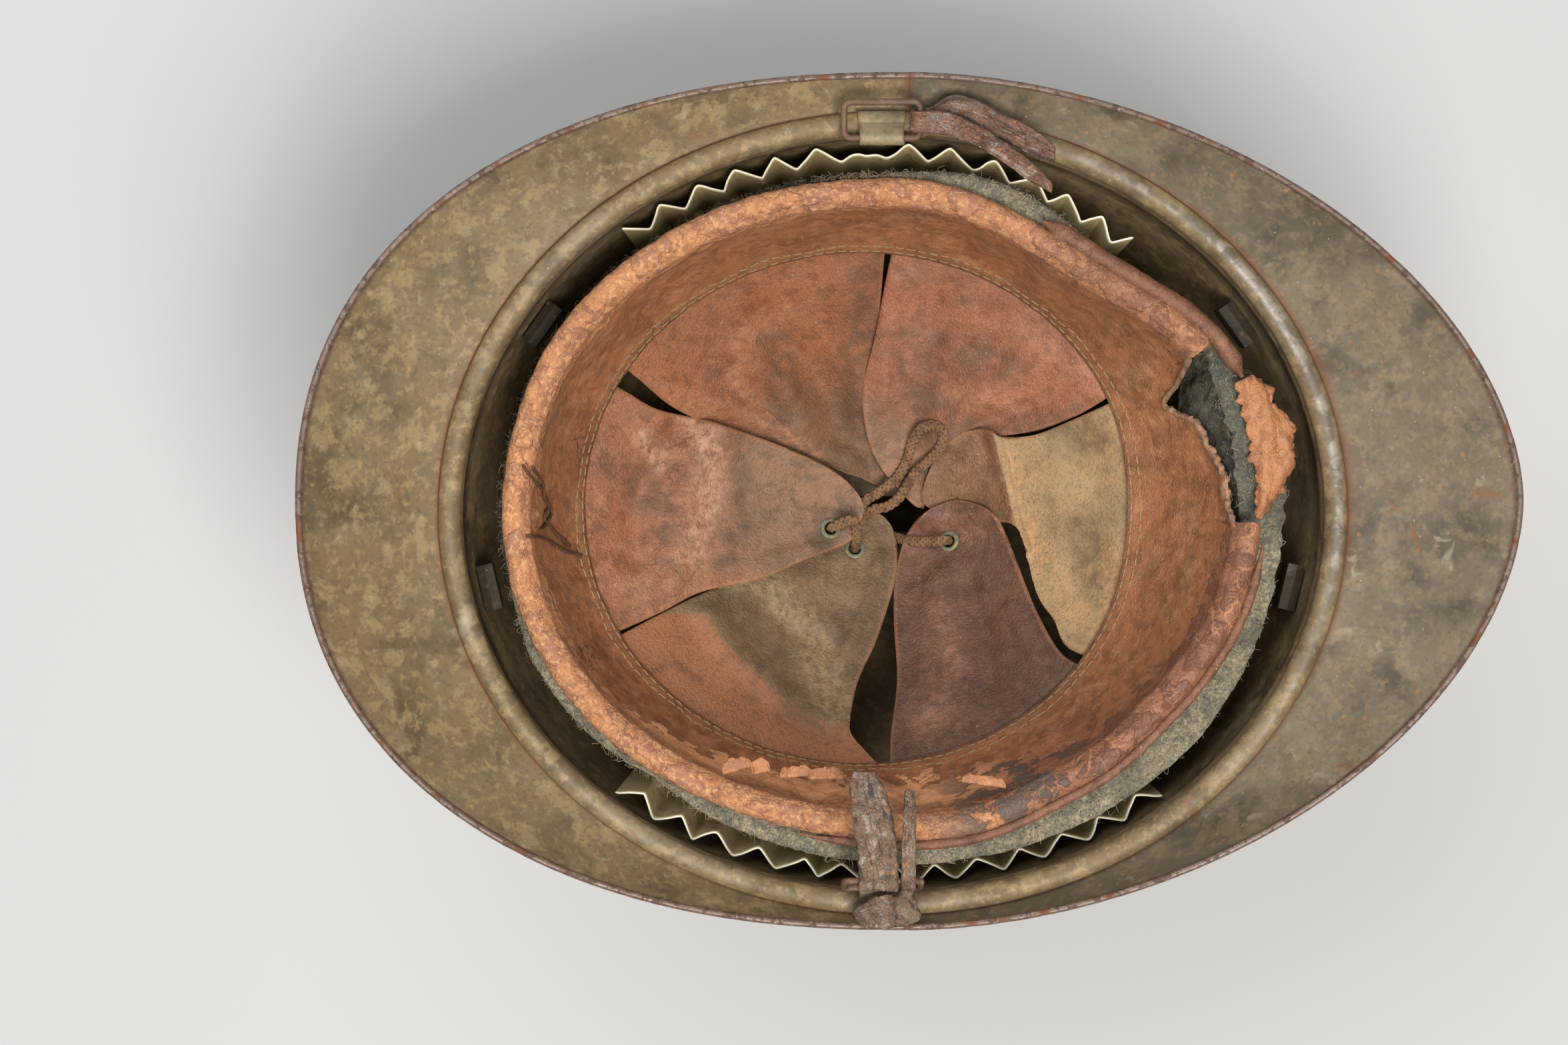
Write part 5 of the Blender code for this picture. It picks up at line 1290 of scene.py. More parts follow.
def band_swell(angles):
    """The band's half sizes at angles, as a share of the plain ones, with its top edge's swell."""
    turns = wrapped(angles, -60)
    starts = np.array([row[0] for row in BAND_SWELL_SHARES])
    values = np.array([row[1] for row in BAND_SWELL_SHARES])
    k = np.clip(np.searchsorted(starts, turns, side="right") - 1, 0, len(starts) - 2)
    way = (1 - np.cos(pi * (turns - starts[k]) / (starts[k + 1] - starts[k]))) / 2
    return 1 + values[k] + (values[k + 1] - values[k]) * way


def band_wall(angles, shares):
    """Points on the band's inner wall: share runs from its top to the stitched ring."""
    angles, shares = np.broadcast_arrays(angles, shares)
    swell = band_swell(angles)
    inward = shares ** 1.3
    x = BAND_CENTRE.x + BAND_HALF.x * swell * np.cos(angles)
    y = BAND_CENTRE.y + BAND_HALF.y * swell * np.sin(angles)
    x = x + (RING_CENTRE.x + RING_HALF.x * np.cos(angles) - x) * inward
    y = y + (RING_CENTRE.y + RING_HALF.y * np.sin(angles) - y) * inward
    deep = 1 - (1 - shares) ** 1.22
    return np.stack([x, y, RIM - BAND_TOP - (RING_DEPTH - BAND_TOP) * deep], -1)


HEM_ROWS = 10
HEM_STEP = 0.001
BAND_COLUMNS = 720


def band_grid():
    """The band's middle surface, column by column, from its rolled edge or tear to its hem."""
    rows = 64
    angles = full_turn(BAND_COLUMNS)
    turns = wrapped(angles, -60)
    rough = lumps(circle(angles) * 0.09, 0.006, seed=71)
    table = np.array(TEAR_SHARES)
    torn = np.interp(turns, table[:, 0], table[:, 1], left=0, right=0)
    torn = np.where(torn > 0, np.clip(torn + 0.05 * rough, 0.005, 1), 0)
    grid = np.zeros((BAND_COLUMNS, rows, 3))
    wall_share = np.zeros((BAND_COLUMNS, rows))
    shift = LEATHER / 2 + BAND_ROLL
    for i, angle in enumerate(angles):
        out = unit(np.array([cos(angle) / BAND_HALF.x, sin(angle) / BAND_HALF.y]))
        shares = np.linspace(0.03, 1, 60)
        wall = band_wall(angle, shares)
        top = band_wall(angle, 0.0)
        flat = (wall[:, :2] - top[:2]) @ out - shift * (1 - shares)
        level = wall[:, 2] - top[2] - LEATHER / 2
        fat = BAND_ROLL / 2 * (1 + 0.1 * rough[i])
        arc = sweep(-30, 165, 22)
        roll = np.stack([-BAND_ROLL / 2 + fat * np.cos(arc), -fat + fat * np.sin(arc)], -1)
        outer = np.array([[roll[0, 0] - 0.0003, -BAND_ROLL_DROP]])
        path = np.vstack([outer, roll, np.stack([flat, level], -1)])
        walls = np.concatenate([np.zeros(23), shares])
        if torn[i] > 0:
            keep = walls > torn[i]
            path, walls = path[keep], walls[keep]
        lengths = lengths_along(path)
        hem = HEM_ROWS * HEM_STEP
        wanted = np.concatenate([np.linspace(0, lengths[-1] - hem, rows - HEM_ROWS),
                                 lengths[-1] - hem + np.arange(1, HEM_ROWS + 1) * HEM_STEP])
        x = np.interp(wanted, lengths, path[:, 0]) - LEATHER / 2
        z = np.interp(wanted, lengths, path[:, 1])
        grid[i, :, :2] = top[:2] + out * x[:, None]
        grid[i, :, 2] = top[2] + z
        wall_share[i] = np.interp(wanted, lengths, walls)
    return angles, grid, wall_share, torn


def make_headband(finish):
    """The leather band: rolled top edge, torn front, creased wall and a flat stitched hem."""
    angles, grid, wall_share, torn = band_grid()
    square = directions(grid, True)
    free = ease(wall_share, 0.02, 0.25) * ease(1 - wall_share, 0.02, 0.25)
    creases = lumps(grid * np.array([1, 1, 0.35]), 0.016, seed=77, octaves=3)
    pleats = lumps(circle(angles) * 0.075, 0.0065, seed=83, octaves=2)
    move = creases * 0.0011 * free + pleats[:, None] * 0.0007 * free
    move = move + lumps(grid, 0.0035, seed=91, octaves=3) * 0.00022
    frayed = (torn > 0)[:, None] * ease(np.linspace(1, 0, grid.shape[1]), 0.86, 1.0)
    move = move + frayed * (0.0008 + 0.0009 * lumps(grid, 0.003, seed=97))
    grid = grid + square * move[..., None]
    turns = wrapped(angles)
    table = np.array(ROLL_WEAR_SHARES)
    wide, kept, charred = (np.interp(turns, table[:, 0], table[:, n])[:, None] for n in (1, 2, 3))
    ragged = lumps(grid, 0.0045, seed=163, octaves=4)
    rolled = ease(wide * (1 + 0.45 * ragged) - wall_share, 0, 0.022)
    kept = kept + 0 * rolled
    charred = charred + 0 * rolled
    hem = ease(np.linspace(0, 1, grid.shape[1]), 0.93, 1.0) * np.ones((len(angles), 1))
    tear = frayed + 0 * hem
    marks = {"worn": rolled, "hem": hem, "tear": tear, "wall": wall_share, "kept": kept, "charred": charred}
    piece = leaf("headband_leather", grid, LEATHER, finish, ring=True, marks=marks)
    place_piece(piece, "shell", "brown_leather", "headband")
    return grid, square


def rods(name, lines, radius, sides, finish):
    """Many short round threads as one piece."""
    points, faces, start = [], [], 0
    for line in lines:
        line = np.asarray(line, float)
        along = unit(np.gradient(line, axis=0))
        across = unit(np.cross(along, ANY_DIRECTION))
        up = np.cross(along, across)
        turns = full_turn(sides)
        shape = radius * np.sqrt(np.clip(1 - np.abs(np.linspace(-1, 1, len(line))) ** 6, 0.12, 1))
        rings = line[:, None] + (across[:, None] * np.cos(turns)[:, None]
                                 + up[:, None] * np.sin(turns)[:, None]) * shape[:, None, None]
        points.append(rings.reshape(-1, 3))
        index = start + np.arange(len(line) * sides).reshape(len(line), sides)
        quads = np.stack([index[:-1], np.roll(index[:-1], -1, 1), np.roll(index[1:], -1, 1), index[1:]], -1)
        faces += quads.reshape(-1, 4).tolist() + [index[0].tolist()[::-1], index[-1].tolist()]
        start += len(line) * sides
    return make_mesh(name, np.vstack(points), faces, finish, smooth=80)


def make_stitches(grid, square, finish):
    """Two rows of stitches along the band's hem."""
    rows = grid.shape[1] - 1
    for number, inset in STITCH_INSETS:
        low = rows - inset / HEM_STEP
        base = int(low)
        part = low - base
        line = grid[:, base] * (1 - part) + grid[:, base + 1] * part
        up = square[:, base] * np.sign(square[:, base, 2:3])
        loop = np.vstack([line, line[:1]])
        away = np.vstack([up, up[:1]])
        lengths = lengths_along(loop)
        count = int(lengths[-1] / sizes().stitch_length)
        threads = []
        for k in range(count):
            span = (k + np.array([0.06, 0.18, 0.5, 0.8, 0.92])) * lengths[-1] / count
            lift = LEATHER / 2 + sizes().seam_thread * np.array([-1.1, 0.3, 0.75, 0.3, -1.1])
            out = at_lengths(away, span, lengths)
            threads.append(at_lengths(loop, span, lengths) + out * lift[:, None])
        piece = rods(f"band_stitches_{number}", threads, sizes().seam_thread, 8, finish)
        place_piece(piece, "shell", "lace")


def tongue_height(plan, level):
    """Height of the tongues' middle surface at places in plan, in the shallow bowl they form."""
    plan = np.asarray(plan, float)
    offset = plan - np.array(RING_CENTRE)
    angles = np.arctan2(offset[..., 1] / RING_HALF.y, offset[..., 0] / RING_HALF.x)
    edge = ellipse(RING_CENTRE, RING_HALF, angles)
    hub = np.array(HUB)
    share = np.clip(np.linalg.norm(plan - hub, axis=-1) / np.linalg.norm(edge - hub, axis=-1), 0, 1)
    rise = HUB_DEPTH - RING_DEPTH - LEATHER - CURVED_CLEARANCE
    return RIM - HUB_DEPTH + rise * share ** 1.4 + level * TONGUE_LEVEL * ease(0.94 - share, 0, 0.4)


def ring_share(plan, half=RING_HALF):
    """How far out places in plan lie, as a share of the stitched ring."""
    return np.linalg.norm((plan - np.array(RING_CENTRE)) / np.array([half.x, half.y]), axis=-1)


def tongue_outline(name, rows):
    """A tongue's two edges from its root to its tip, in plan, and its root's angles on the ring."""
    first, second, tip = (np.array(part) * np.array([RING_HALF.x, RING_HALF.y])
                          for part in TONGUE_EDGE_SHARES[name])
    corners = []
    for edge in (first, second):
        way = (edge[0] - edge[1]) / np.linalg.norm(edge[0] - edge[1])
        reach = edge[0] + way * np.linspace(0, 0.03, 400)[:, None]
        corners.append(reach[np.argmax(ring_share(reach) > TONGUE_ROOT_SHARE)])
    around = np.vstack([corners[0], first, tip, second[::-1], corners[1]])
    line = smooth_line(around, 1200)
    split = int(np.argmin(np.linalg.norm(line - tip, axis=1)))
    ways = 1 - (1 - np.linspace(0, 1, rows)) ** 1.7
    edges = []
    for part in (line[:split + 1], line[split:][::-1]):
        edges.append(at_lengths(part, ways * lengths_along(part)[-1]))
    turns = [atan2((y - RING_CENTRE.y) / RING_HALF.y, (x - RING_CENTRE.x) / RING_HALF.x)
             for x, y in corners]
    turns[1] = turns[0] + (turns[1] - turns[0] + pi) % (2 * pi) - pi
    return edges, turns


def near_line(points, line, width):
    """How near places in plan are to a line, as a soft ridge of height 1."""
    line = np.asarray(line, float)
    best = np.full(points.shape[:-1], 1e9)
    for a, b in zip(line, line[1:]):
        step = b - a
        t = np.clip(((points - a) @ step) / (step @ step), 0, 1)
        best = np.minimum(best, np.linalg.norm(points - (a + t[..., None] * step), axis=-1))
    return np.exp(-(best / width) ** 2)


def tongue_level(name, plan):
    """How high each part of a tongue lies in the pile, in shares of one leather's level."""
    level = np.full(plan.shape[:-1], float(TONGUE_LEVELS[name]))
    x, y = plan[..., 0], plan[..., 1]
    if name == "tongue_3":
        level = 1.8 - 1.1 * ease(x, 0.011, 0.017) * ease(-y, -0.004, 0.002)
    if name == "tongue_4":
        level = ease(y, -0.0088, -0.003) * (1.6 + 0.95 * ease(-x, -0.016, -0.011))
    if name == "tongue_6":
        level = 2 - 0.6 * ease(-x, 0.03, 0.06)
    return level


# How far two hidden eyelets lie from their CAD places, under the tongues that cover them
EYELET_SHIFTS = {1: (0.0075, -0.001), 3: (-0.0066, -0.0012)}

# Ridges and valleys in the tongues, in shares of the ring's half sizes: a line, its width and its rise
TONGUE_FOLD_SHARES = {
    "tongue_1": ((((-0.86, 0.46), (-0.62, 0.38), (-0.38, 0.27), (-0.18, 0.17)), 0.045, 0.0016),
                 (((-0.6, 0.6), (-0.44, 0.47), (-0.34, 0.33)), 0.05, 0.0018),
                 (((-0.5, 0.76), (-0.3, 0.52), (-0.2, 0.3)), 0.06, -0.002),
                 (((-0.2, 0.86), (-0.16, 0.6), (-0.12, 0.4)), 0.055, 0.0014)),
    "tongue_2": ((((0.0, 0.86), (-0.04, 0.62), (-0.06, 0.4)), 0.04, 0.0014),
                 (((0.16, 0.88), (0.12, 0.6), (0.06, 0.32)), 0.07, -0.0016),
                 (((0.52, 0.62), (0.34, 0.46), (0.16, 0.26)), 0.06, 0.0018),
                 (((0.7, 0.48), (0.5, 0.38), (0.34, 0.33)), 0.035, -0.0012),
                 (((0.3, 0.84), (0.27, 0.66)), 0.022, 0.0008),
                 (((0.4, 0.78), (0.34, 0.62)), 0.02, -0.0007)),
    "tongue_3": ((((0.356, 0.287), (0.378, 0.203), (0.4, 0.111), (0.422, 0.021), (0.45, -0.093),
                   (0.476, -0.18)),
                  0.022, 0.0022),
                 (((0.6, 0.22), (0.62, 0.0), (0.58, -0.3)), 0.05, 0.0009),
                 (((0.75, 0.1), (0.73, -0.2)), 0.04, -0.0009)),
    "tongue_4": ((((0.1, -0.8), (0.14, -0.5), (0.16, -0.3)), 0.05, 0.0014),
                 (((0.35, -0.7), (0.33, -0.5), (0.28, -0.3)), 0.04, -0.0012),
                 (((0.5, -0.6), (0.42, -0.42)), 0.03, 0.001)),
    "tongue_5": ((((-0.707, -0.433), (-0.655, -0.537), (-0.567, -0.627), (-0.413, -0.775),
                   (-0.245, -0.858)),
                  0.045, 0.0019),
                 (((-0.5, -0.42), (-0.38, -0.52), (-0.22, -0.6)), 0.05, -0.0014),
                 (((-0.2, -0.62), (-0.1, -0.4), (-0.06, -0.22)), 0.03, 0.0012)),
    "tongue_6": ((((-0.78, 0.33), (-0.91, 0.17), (-0.98, 0.0), (-0.97, -0.22)), 0.06, -0.0022),
                 (((-0.66, 0.28), (-0.77, 0.08), (-0.83, -0.12), (-0.84, -0.3)), 0.065, 0.002),
                 (((-0.55, 0.02), (-0.35, -0.02), (-0.22, -0.06)), 0.1, -0.001),
                 (((-0.52, -0.26), (-0.38, -0.2), (-0.25, -0.15)), 0.03, 0.0008)),
}

# Painted shade in the tongues' valleys and where they sink under each other, and painted highlights on
# their ridges and folds: lines in shares of the ring's half sizes, and widths
TONGUE_PAINTED_SHADE_SHARES = {
    "tongue_1": ((((-0.06, 0.95), (-0.12, 0.66), (-0.16, 0.45), (-0.08, 0.16)), 0.13),
                 (((-0.45, 0.26), (-0.28, 0.19), (-0.1, 0.1)), 0.06),
                 (((-0.46, 0.64), (-0.42, 0.5), (-0.4, 0.38)), 0.09)),
    "tongue_2": ((((0.02, 0.62), (0.1, 0.48), (0.14, 0.34)), 0.09),
                 (((0.16, 0.3), (0.48, 0.3), (0.66, 0.34)), 0.06), (((0.2, 0.62), (0.4, 0.54)), 0.08)),
    "tongue_3": ((((0.3, 0.0), (0.36, -0.06), (0.4, -0.14)), 0.06), (((0.62, 0.34), (0.72, 0.24)), 0.07),
                 (((0.68, -0.1), (0.74, -0.3)), 0.07)),
    "tongue_4": ((((0.3, -0.2), (0.3, -0.45), (0.45, -0.8)), 0.15), (((0.62, -0.62), (0.5, -0.45)), 0.07),
                 (((0.03, -0.45), (0.04, -0.7)), 0.05)),
    "tongue_5": ((((-0.74, -0.36), (-0.56, -0.47), (-0.43, -0.68), (-0.3, -0.86)), 0.075),
                 (((-0.03, -0.18), (-0.1, -0.48), (-0.17, -0.72)), 0.055),
                 (((-0.36, -0.42), (-0.22, -0.52)), 0.06)),
    "tongue_6": ((((-1.03, 0.13), (-0.9, -0.02), (-0.84, -0.18)), 0.085),
                 (((-0.6, 0.28), (-0.57, 0.0), (-0.64, -0.25)), 0.055),
                 (((-0.3, -0.18), (-0.18, -0.04)), 0.05)),
}
TONGUE_PAINTED_HIGHLIGHT_SHARES = {
    "tongue_1": ((((-0.41, 0.75), (-0.56, 0.66), (-0.6, 0.5), (-0.53, 0.35), (-0.31, 0.2)), 0.04),
                 (((-0.84, 0.42), (-0.7, 0.38)), 0.06)),
    "tongue_2": ((((0.45, 0.69), (0.63, 0.53), (0.78, 0.43)), 0.045), (((0.2, 0.44), (0.42, 0.4)), 0.04)),
    "tongue_3": ((((0.42, 0.17), (0.47, -0.05), (0.56, -0.26), (0.66, -0.46)), 0.055),
                 (((0.8, -0.2), (0.76, -0.4)), 0.05)),
    "tongue_4": ((((0.12, -0.14), (0.2, -0.08), (0.3, -0.12)), 0.06),
                 (((0.08, -0.86), (0.16, -0.8)), 0.07), (((0.16, -0.42), (0.22, -0.66)), 0.05)),
    "tongue_5": ((((-0.43, -0.4), (-0.31, -0.56), (-0.24, -0.8)), 0.085),
                 (((-0.62, -0.3), (-0.5, -0.3)), 0.06)),
    "tongue_6": ((((-0.78, 0.35), (-0.68, 0.19), (-0.71, 0.0), (-0.78, -0.2)), 0.06),
                 (((-0.95, 0.26), (-0.88, 0.16)), 0.04)),
}


def make_tongue(name, finish):
    """One leather tongue, from under the band's hem to its tip, folded and curled as it has dried."""
    rows, columns = 110, 72
    (first, second), (root_a, root_b) = tongue_outline(name, rows)
    shares = np.linspace(0, 1, columns)
    plan = first[:, None] + (second - first)[:, None] * shares[None, :, None]
    bow = ellipse(RING_CENTRE, RING_HALF * TONGUE_ROOT_SHARE, root_a + (root_b - root_a) * shares) - plan[0]
    fade = (1 - np.linspace(0, 1, rows)) ** 3
    plan = plan + bow[None] * fade[:, None, None]
    height = tongue_height(plan, tongue_level(name, plan))
    out = ring_share(plan)
    number = int(name[-1])
    centre = eyelet_frame(number).translation
    off = np.hypot(plan[..., 0] - centre.x, plan[..., 1] - centre.y)
    free = ease(1.0 - out, -0.02, 0.16) * ease(off, 0.0028, 0.0075)
    height = height - 0.0006 * ease(out, 0.9, 1.0)
    scale = np.array([RING_HALF.x, RING_HALF.y])
    for line, width, rise in TONGUE_FOLD_SHARES[name]:
        height = height + near_line(plan / scale, line, width) * 1.25 * rise * free
    flat = raised(plan, np.zeros(plan.shape[:2]))
    height = height + lumps(flat, 0.011, seed=11 * number, octaves=3) * 0.00065 * free
    height = height + lumps(flat, 0.0032, seed=11 * number + 5, octaves=3) * 0.00018
    hole = ease(EYELET_BARREL * 1.12 - off, 0, EYELET_BARREL * 0.3)
    height = height - hole * EYELET_DIP
    edge = np.minimum(shares, 1 - shares)[None] * np.linalg.norm(second - first, axis=1)[:, None]
    curl = ease(CURL_REACH - edge, 0, CURL_REACH) * free
    height = height + curl * (0.0004 + 0.0006 * lumps(flat, 0.014, seed=11 * number + 9, octaves=1))
    grid = raised(plan, height)
    side = np.zeros(plan.shape[:2])
    if name == "tongue_5":
        ridge = np.array(TONGUE_FOLD_SHARES[name][0][0])
        ridge_y = np.interp(plan[..., 0] / scale[0], ridge[:, 0], ridge[:, 1])
        side = ease(ridge_y - plan[..., 1] / scale[1], -0.02, 0.03)
    if name == "tongue_3":
        fold = np.array(TONGUE_FOLD_SHARES[name][0][0])
        line_x = np.interp(plan[..., 1] / scale[1], fold[::-1, 1], fold[::-1, 0])
        side = ease(plan[..., 0] / scale[0] - line_x, -0.006, 0.006)
    blot = 1 + 0.35 * lumps(flat, 0.01, seed=11 * number + 3, octaves=4)
    # Where the tongue gets its painted shade and painted highlights, made uneven by blot.
    painted_shade, painted_highlight = (sum(near_line(plan / scale, line, width) for line, width in table[name])
                 for table in (TONGUE_PAINTED_SHADE_SHARES, TONGUE_PAINTED_HIGHLIGHT_SHARES))
    marks = {"root": out, "flesh": side, "rim": ease(0.0012 - edge, 0, 0.0012), "hole": hole,
             "painted_shade": np.clip(blot * painted_shade, 0, 1), "painted_highlight": np.clip(blot * painted_highlight, 0, 1)}
    piece = leaf(name + "_leather", grid, LEATHER, finish, marks=marks)
    return place_piece(piece, "shell", "dark_leather", name)


def eyelet_frame(number):
    """Turns an eyelet's own frame to its place, its axis square to the leather."""
    low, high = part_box(f"eyelet_{number}")
    centre = (low + high) / 2
    name = f"tongue_{number}"
    shift = Vector((*EYELET_SHIFTS.get(number, (0, 0)), 0))
    level = float(tongue_level(name, np.array((centre + shift).to_2d())))
    before = float(tongue_height(np.array(centre.to_2d()), float(TONGUE_LEVELS[name])))
    centre += shift
    centre.z += float(tongue_height(np.array(centre.to_2d()), level)) - before
    reach = EYELET_FLANGE
    slopes = []
    for step in ((reach, 0), (0, reach)):
        ahead = np.array([centre.x + step[0], centre.y + step[1]])
        behind = np.array([centre.x - step[0], centre.y - step[1]])
        slopes.append(float(tongue_height(ahead, level) - tongue_height(behind, level)) / (2 * reach))
    up = Vector((-slopes[0], -slopes[1], 1))
    return Matrix.Translation(centre) @ up.to_track_quat("Z", "Y").to_matrix().to_4x4()


def make_eyelet(number, finish):
    """A brass eyelet clinched through a tongue, with rounded flanges."""
    seat = LEATHER / 2 + CURVED_CLEARANCE * 0.6
    lip = seat + EYELET_LIP
    mean = (EYELET_FLANGE + EYELET_BORE) / 2
    wide = (EYELET_FLANGE - EYELET_BORE) / 2
    profile = [(EYELET_BORE, -lip), (EYELET_FLANGE, -lip), (EYELET_FLANGE, -seat), (EYELET_BARREL, -seat),
               (EYELET_BARREL, seat)]
    profile += [(mean + wide * cos(a), seat + EYELET_LIP * 1.25 * sin(a)) for a in sweep(0, 180, 11)]
    piece = lathe(f"eyelet_{number}_ring", profile, eyelet_frame(number), finish, count=40, smooth=50)
    return place_piece(piece, "shell", "brass", f"eyelet_{number}")


def lace_line():
    """The lace's middle line: a loop on top, then through three eyelets."""
    reach = LEATHER / 2 + CURVED_CLEARANCE + EYELET_LIP + LACE_THICKNESS / 2
    points = []
    for entry in LACE_ROUTE_SHARES:
        if len(entry) == 2:
            place = eyelet_frame(int(entry[0][-1]))
            points += [place @ Vector((0, 0, entry[1] * lift)) for lift in (reach, 0, -reach)]
        else:
            x, y, lift = entry
            plan = np.array([x * RING_HALF.x, y * RING_HALF.y])
            points.append(Vector((*plan, float(tongue_height(plan, 0)) + lift * TONGUE_LEVEL)))
    return smooth_line([tuple(p) for p in points[:-1]], 900)


def make_lace(finish):
    """The flat braided drawstring."""
    line = lace_line()
    count = len(line)
    along = unit(np.gradient(line, axis=0))
    side = np.cross(along, [0, 0, 1])
    length_ = np.linalg.norm(side, axis=1, keepdims=True)
    side = side / np.maximum(length_, 1e-6)
    for i in range(1, count):
        if np.dot(side[i], side[i - 1]) < 0:
            side[i] = -side[i]
    smooth_side = np.copy(side)
    for _ in range(LACE_SMOOTHINGS):
        smooth_side[1:-1] = (smooth_side[:-2] + smooth_side[1:-1] + smooth_side[2:]) / 3
    side = unit(smooth_side - along * np.sum(smooth_side * along, axis=1, keepdims=True))
    up = np.cross(side, along)
    sides = 28
    turns = full_turn(sides)
    steps = lengths_along(line)
    strands = steps * 2 * pi / LACE_PITCH
    narrow = np.ones(count)
    for number in LACED_EYELETS:
        centre = np.array(eyelet_frame(number).translation)
        narrow -= LACE_NECK * bell(np.linalg.norm(line - centre, axis=1), 0, LACE_NECK_REACH)
    half_x = sizes().lace_width / 2 * narrow
    half_y = sizes().lace_thickness / 2 / np.sqrt(narrow)
    sections = np.zeros((count, sides, 3))
    braid_shade = np.zeros((count, sides))
    for j, turn in enumerate(turns):
        cosine, sine = cos(turn), sin(turn)
        x = np.sign(cosine) * abs(cosine) ** 0.75
        y = np.sign(sine) * abs(sine) ** 0.75
        weave = np.maximum(np.sin(strands + x * 5.0), np.sin(strands - x * 5.0 + 1.6))
        plump = 1 + 0.1 * weave
        # Painted shade in the hollows between the braid's strands.
        braid_shade[:, j] = np.clip(0.45 - 0.75 * weave, 0, 1)
        sections[:, j] = (line + side * (half_x * x * plump)[:, None]
                          + up * (half_y * y * (1 + 0.16 * weave))[:, None])
    ends = ease(np.minimum(np.arange(count), np.arange(count)[::-1]) / 8.0, 0, 1) * 0.3 + 0.7
    sections = line[:, None] + (sections - line[:, None]) * ends[:, None, None]
    piece = loft("drawstring_braid", sections, finish, marks={"painted_braid_shade": braid_shade}, smooth=80)
    place_piece(piece, "shell", "lace", "drawstring")
    return piece


def make_felt(finish):
    """The wool felt band behind the leather, thick, lumpy and moth-eaten at its top edge."""
    count = 600
    angles = full_turn(count)
    turns = wrapped(angles)
    torn = bell(turns, 14, 17)
    top = FELT_TOP + FELT_TOP_DROP * np.cos(angles) ** 2 * (1 - 0.95 * torn)
    top = top - 0.0015 * torn + 0.005 * ease(turns, 96, 112) * ease(-turns, -172, -150)
    table = np.array(FELT_SHARES)
    shown = np.interp(turns, table[:, 0], table[:, 1])
    around = circle(angles) * 0.09
    bitten = lumps(around, 0.008, seed=101, octaves=3)
    top = top + np.clip(-bitten, 0, 1) * 0.0018
    outer = OPENING_HALF - Vector((FELT_OUTSET, FELT_OUTSET))
    swell = band_swell(angles)
    sections = []
    for share in np.linspace(0, 1, 16):
        deep = top + (FELT_BOTTOM - top) * share
        full = (1 - np.clip(deep / SKULL_DEPTH, 0, 1) ** DOME_FULLNESS) ** (1 / DOME_FULLNESS)
        shrink = 1 - (1 - full) * (OPENING_HALF.x / outer.x)
        far = ellipse(OPENING_CENTRE, (outer.x * shrink, outer.y * shrink), angles)
        near = ellipse(BAND_CENTRE, (BAND_HALF.x * swell, BAND_HALF.y * swell), angles)
        plan = near + (far - near) * (0.12 + 0.88 * shown)[:, None]
        sections.append(raised(plan, RIM - deep))
    inner = []
    for share in np.linspace(1, 0, 16):
        deep = top + (FELT_BOTTOM - top) * share
        way = np.clip((deep - BAND_TOP) / (RING_DEPTH - BAND_TOP), 0, 1) ** 1.3
        leant = np.clip(0.0252 * way - 0.003, 0, 1) + 0.0052 * (1 - share)
        pulled = CURVED_CLEARANCE - 0.003 * shown * (1 - share) - leant * np.clip(torn * 1.25, 0, 1)
        x = BAND_CENTRE.x + (BAND_HALF.x * swell + pulled) * np.cos(angles)
        y = BAND_CENTRE.y + (BAND_HALF.y * swell + pulled) * np.sin(angles)
        inner.append(np.stack([x, y, RIM - deep], -1))
    ridge = [sections[0] * (1 - w) + inner[-1] * w + np.array([0, 0, FELT_RIDGE]) * sin(pi * w)
             for w in (0.8, 0.6, 0.4, 0.2)]
    grid = np.swapaxes(np.array(sections + inner + ridge), 0, 1)
    square = directions(np.concatenate([grid, grid[:, :1]], 1), True)[:, :-1]
    fluffy = 0.0003 + 0.0011 * np.clip(torn * 1.2, 0, 1)[:, None]
    grid = grid + square * (lumps(grid, 0.0026, seed=111, octaves=4) * fluffy)[..., None]
    soiled = np.clip(torn * 1.4, 0, 1)[:, None] * np.ones((1, grid.shape[1]))
    piece = loft("felt_band_wool", grid, finish, ring=True, marks={"soiled": soiled}, smooth=80)
    place_piece(piece, "shell", "felt", "felt_band")
    return np.array([sections[0], inner[-1]])


def make_fibres(edges, finish):
    """Loose curled fibres that stand on the felt's top edge and on its face in the tear."""
    steady = np.random.default_rng(7)
    outer, inner = edges
    count = len(outer)
    lines = []
    total = sizes().fibre_count
    picks = steady.integers(0, count, total)
    shares = steady.random(total)
    for n in range(total):
        k = picks[n]
        base = outer[k] * (1 - shares[n]) + inner[k] * shares[n]
        base = base + np.array([0, 0, FELT_RIDGE * sin(pi * shares[n])])
        if n % 4 == 0:
            base = inner[k] - np.array([0, 0, steady.random() * 0.012])
        way = steady.normal(size=3)
        way[2] = abs(way[2]) * 0.5
        way /= np.linalg.norm(way)
        bend = np.cross(way, steady.normal(size=3))
        bend /= max(np.linalg.norm(bend), 1e-6)
        long = sizes().fibre_length * (0.35 + 0.9 * steady.random())
        t = np.linspace(0, 1, 6)[:, None]
        curl = np.sin(t * pi * (0.8 + steady.random() * 1.4))
        lines.append(base + way * long * t * 0.55 + bend * long * 0.34 * curl)
    piece = rods("felt_fibres", lines, FIBRE_RADIUS, 3, finish)
    return place_piece(piece, "shell", "felt")


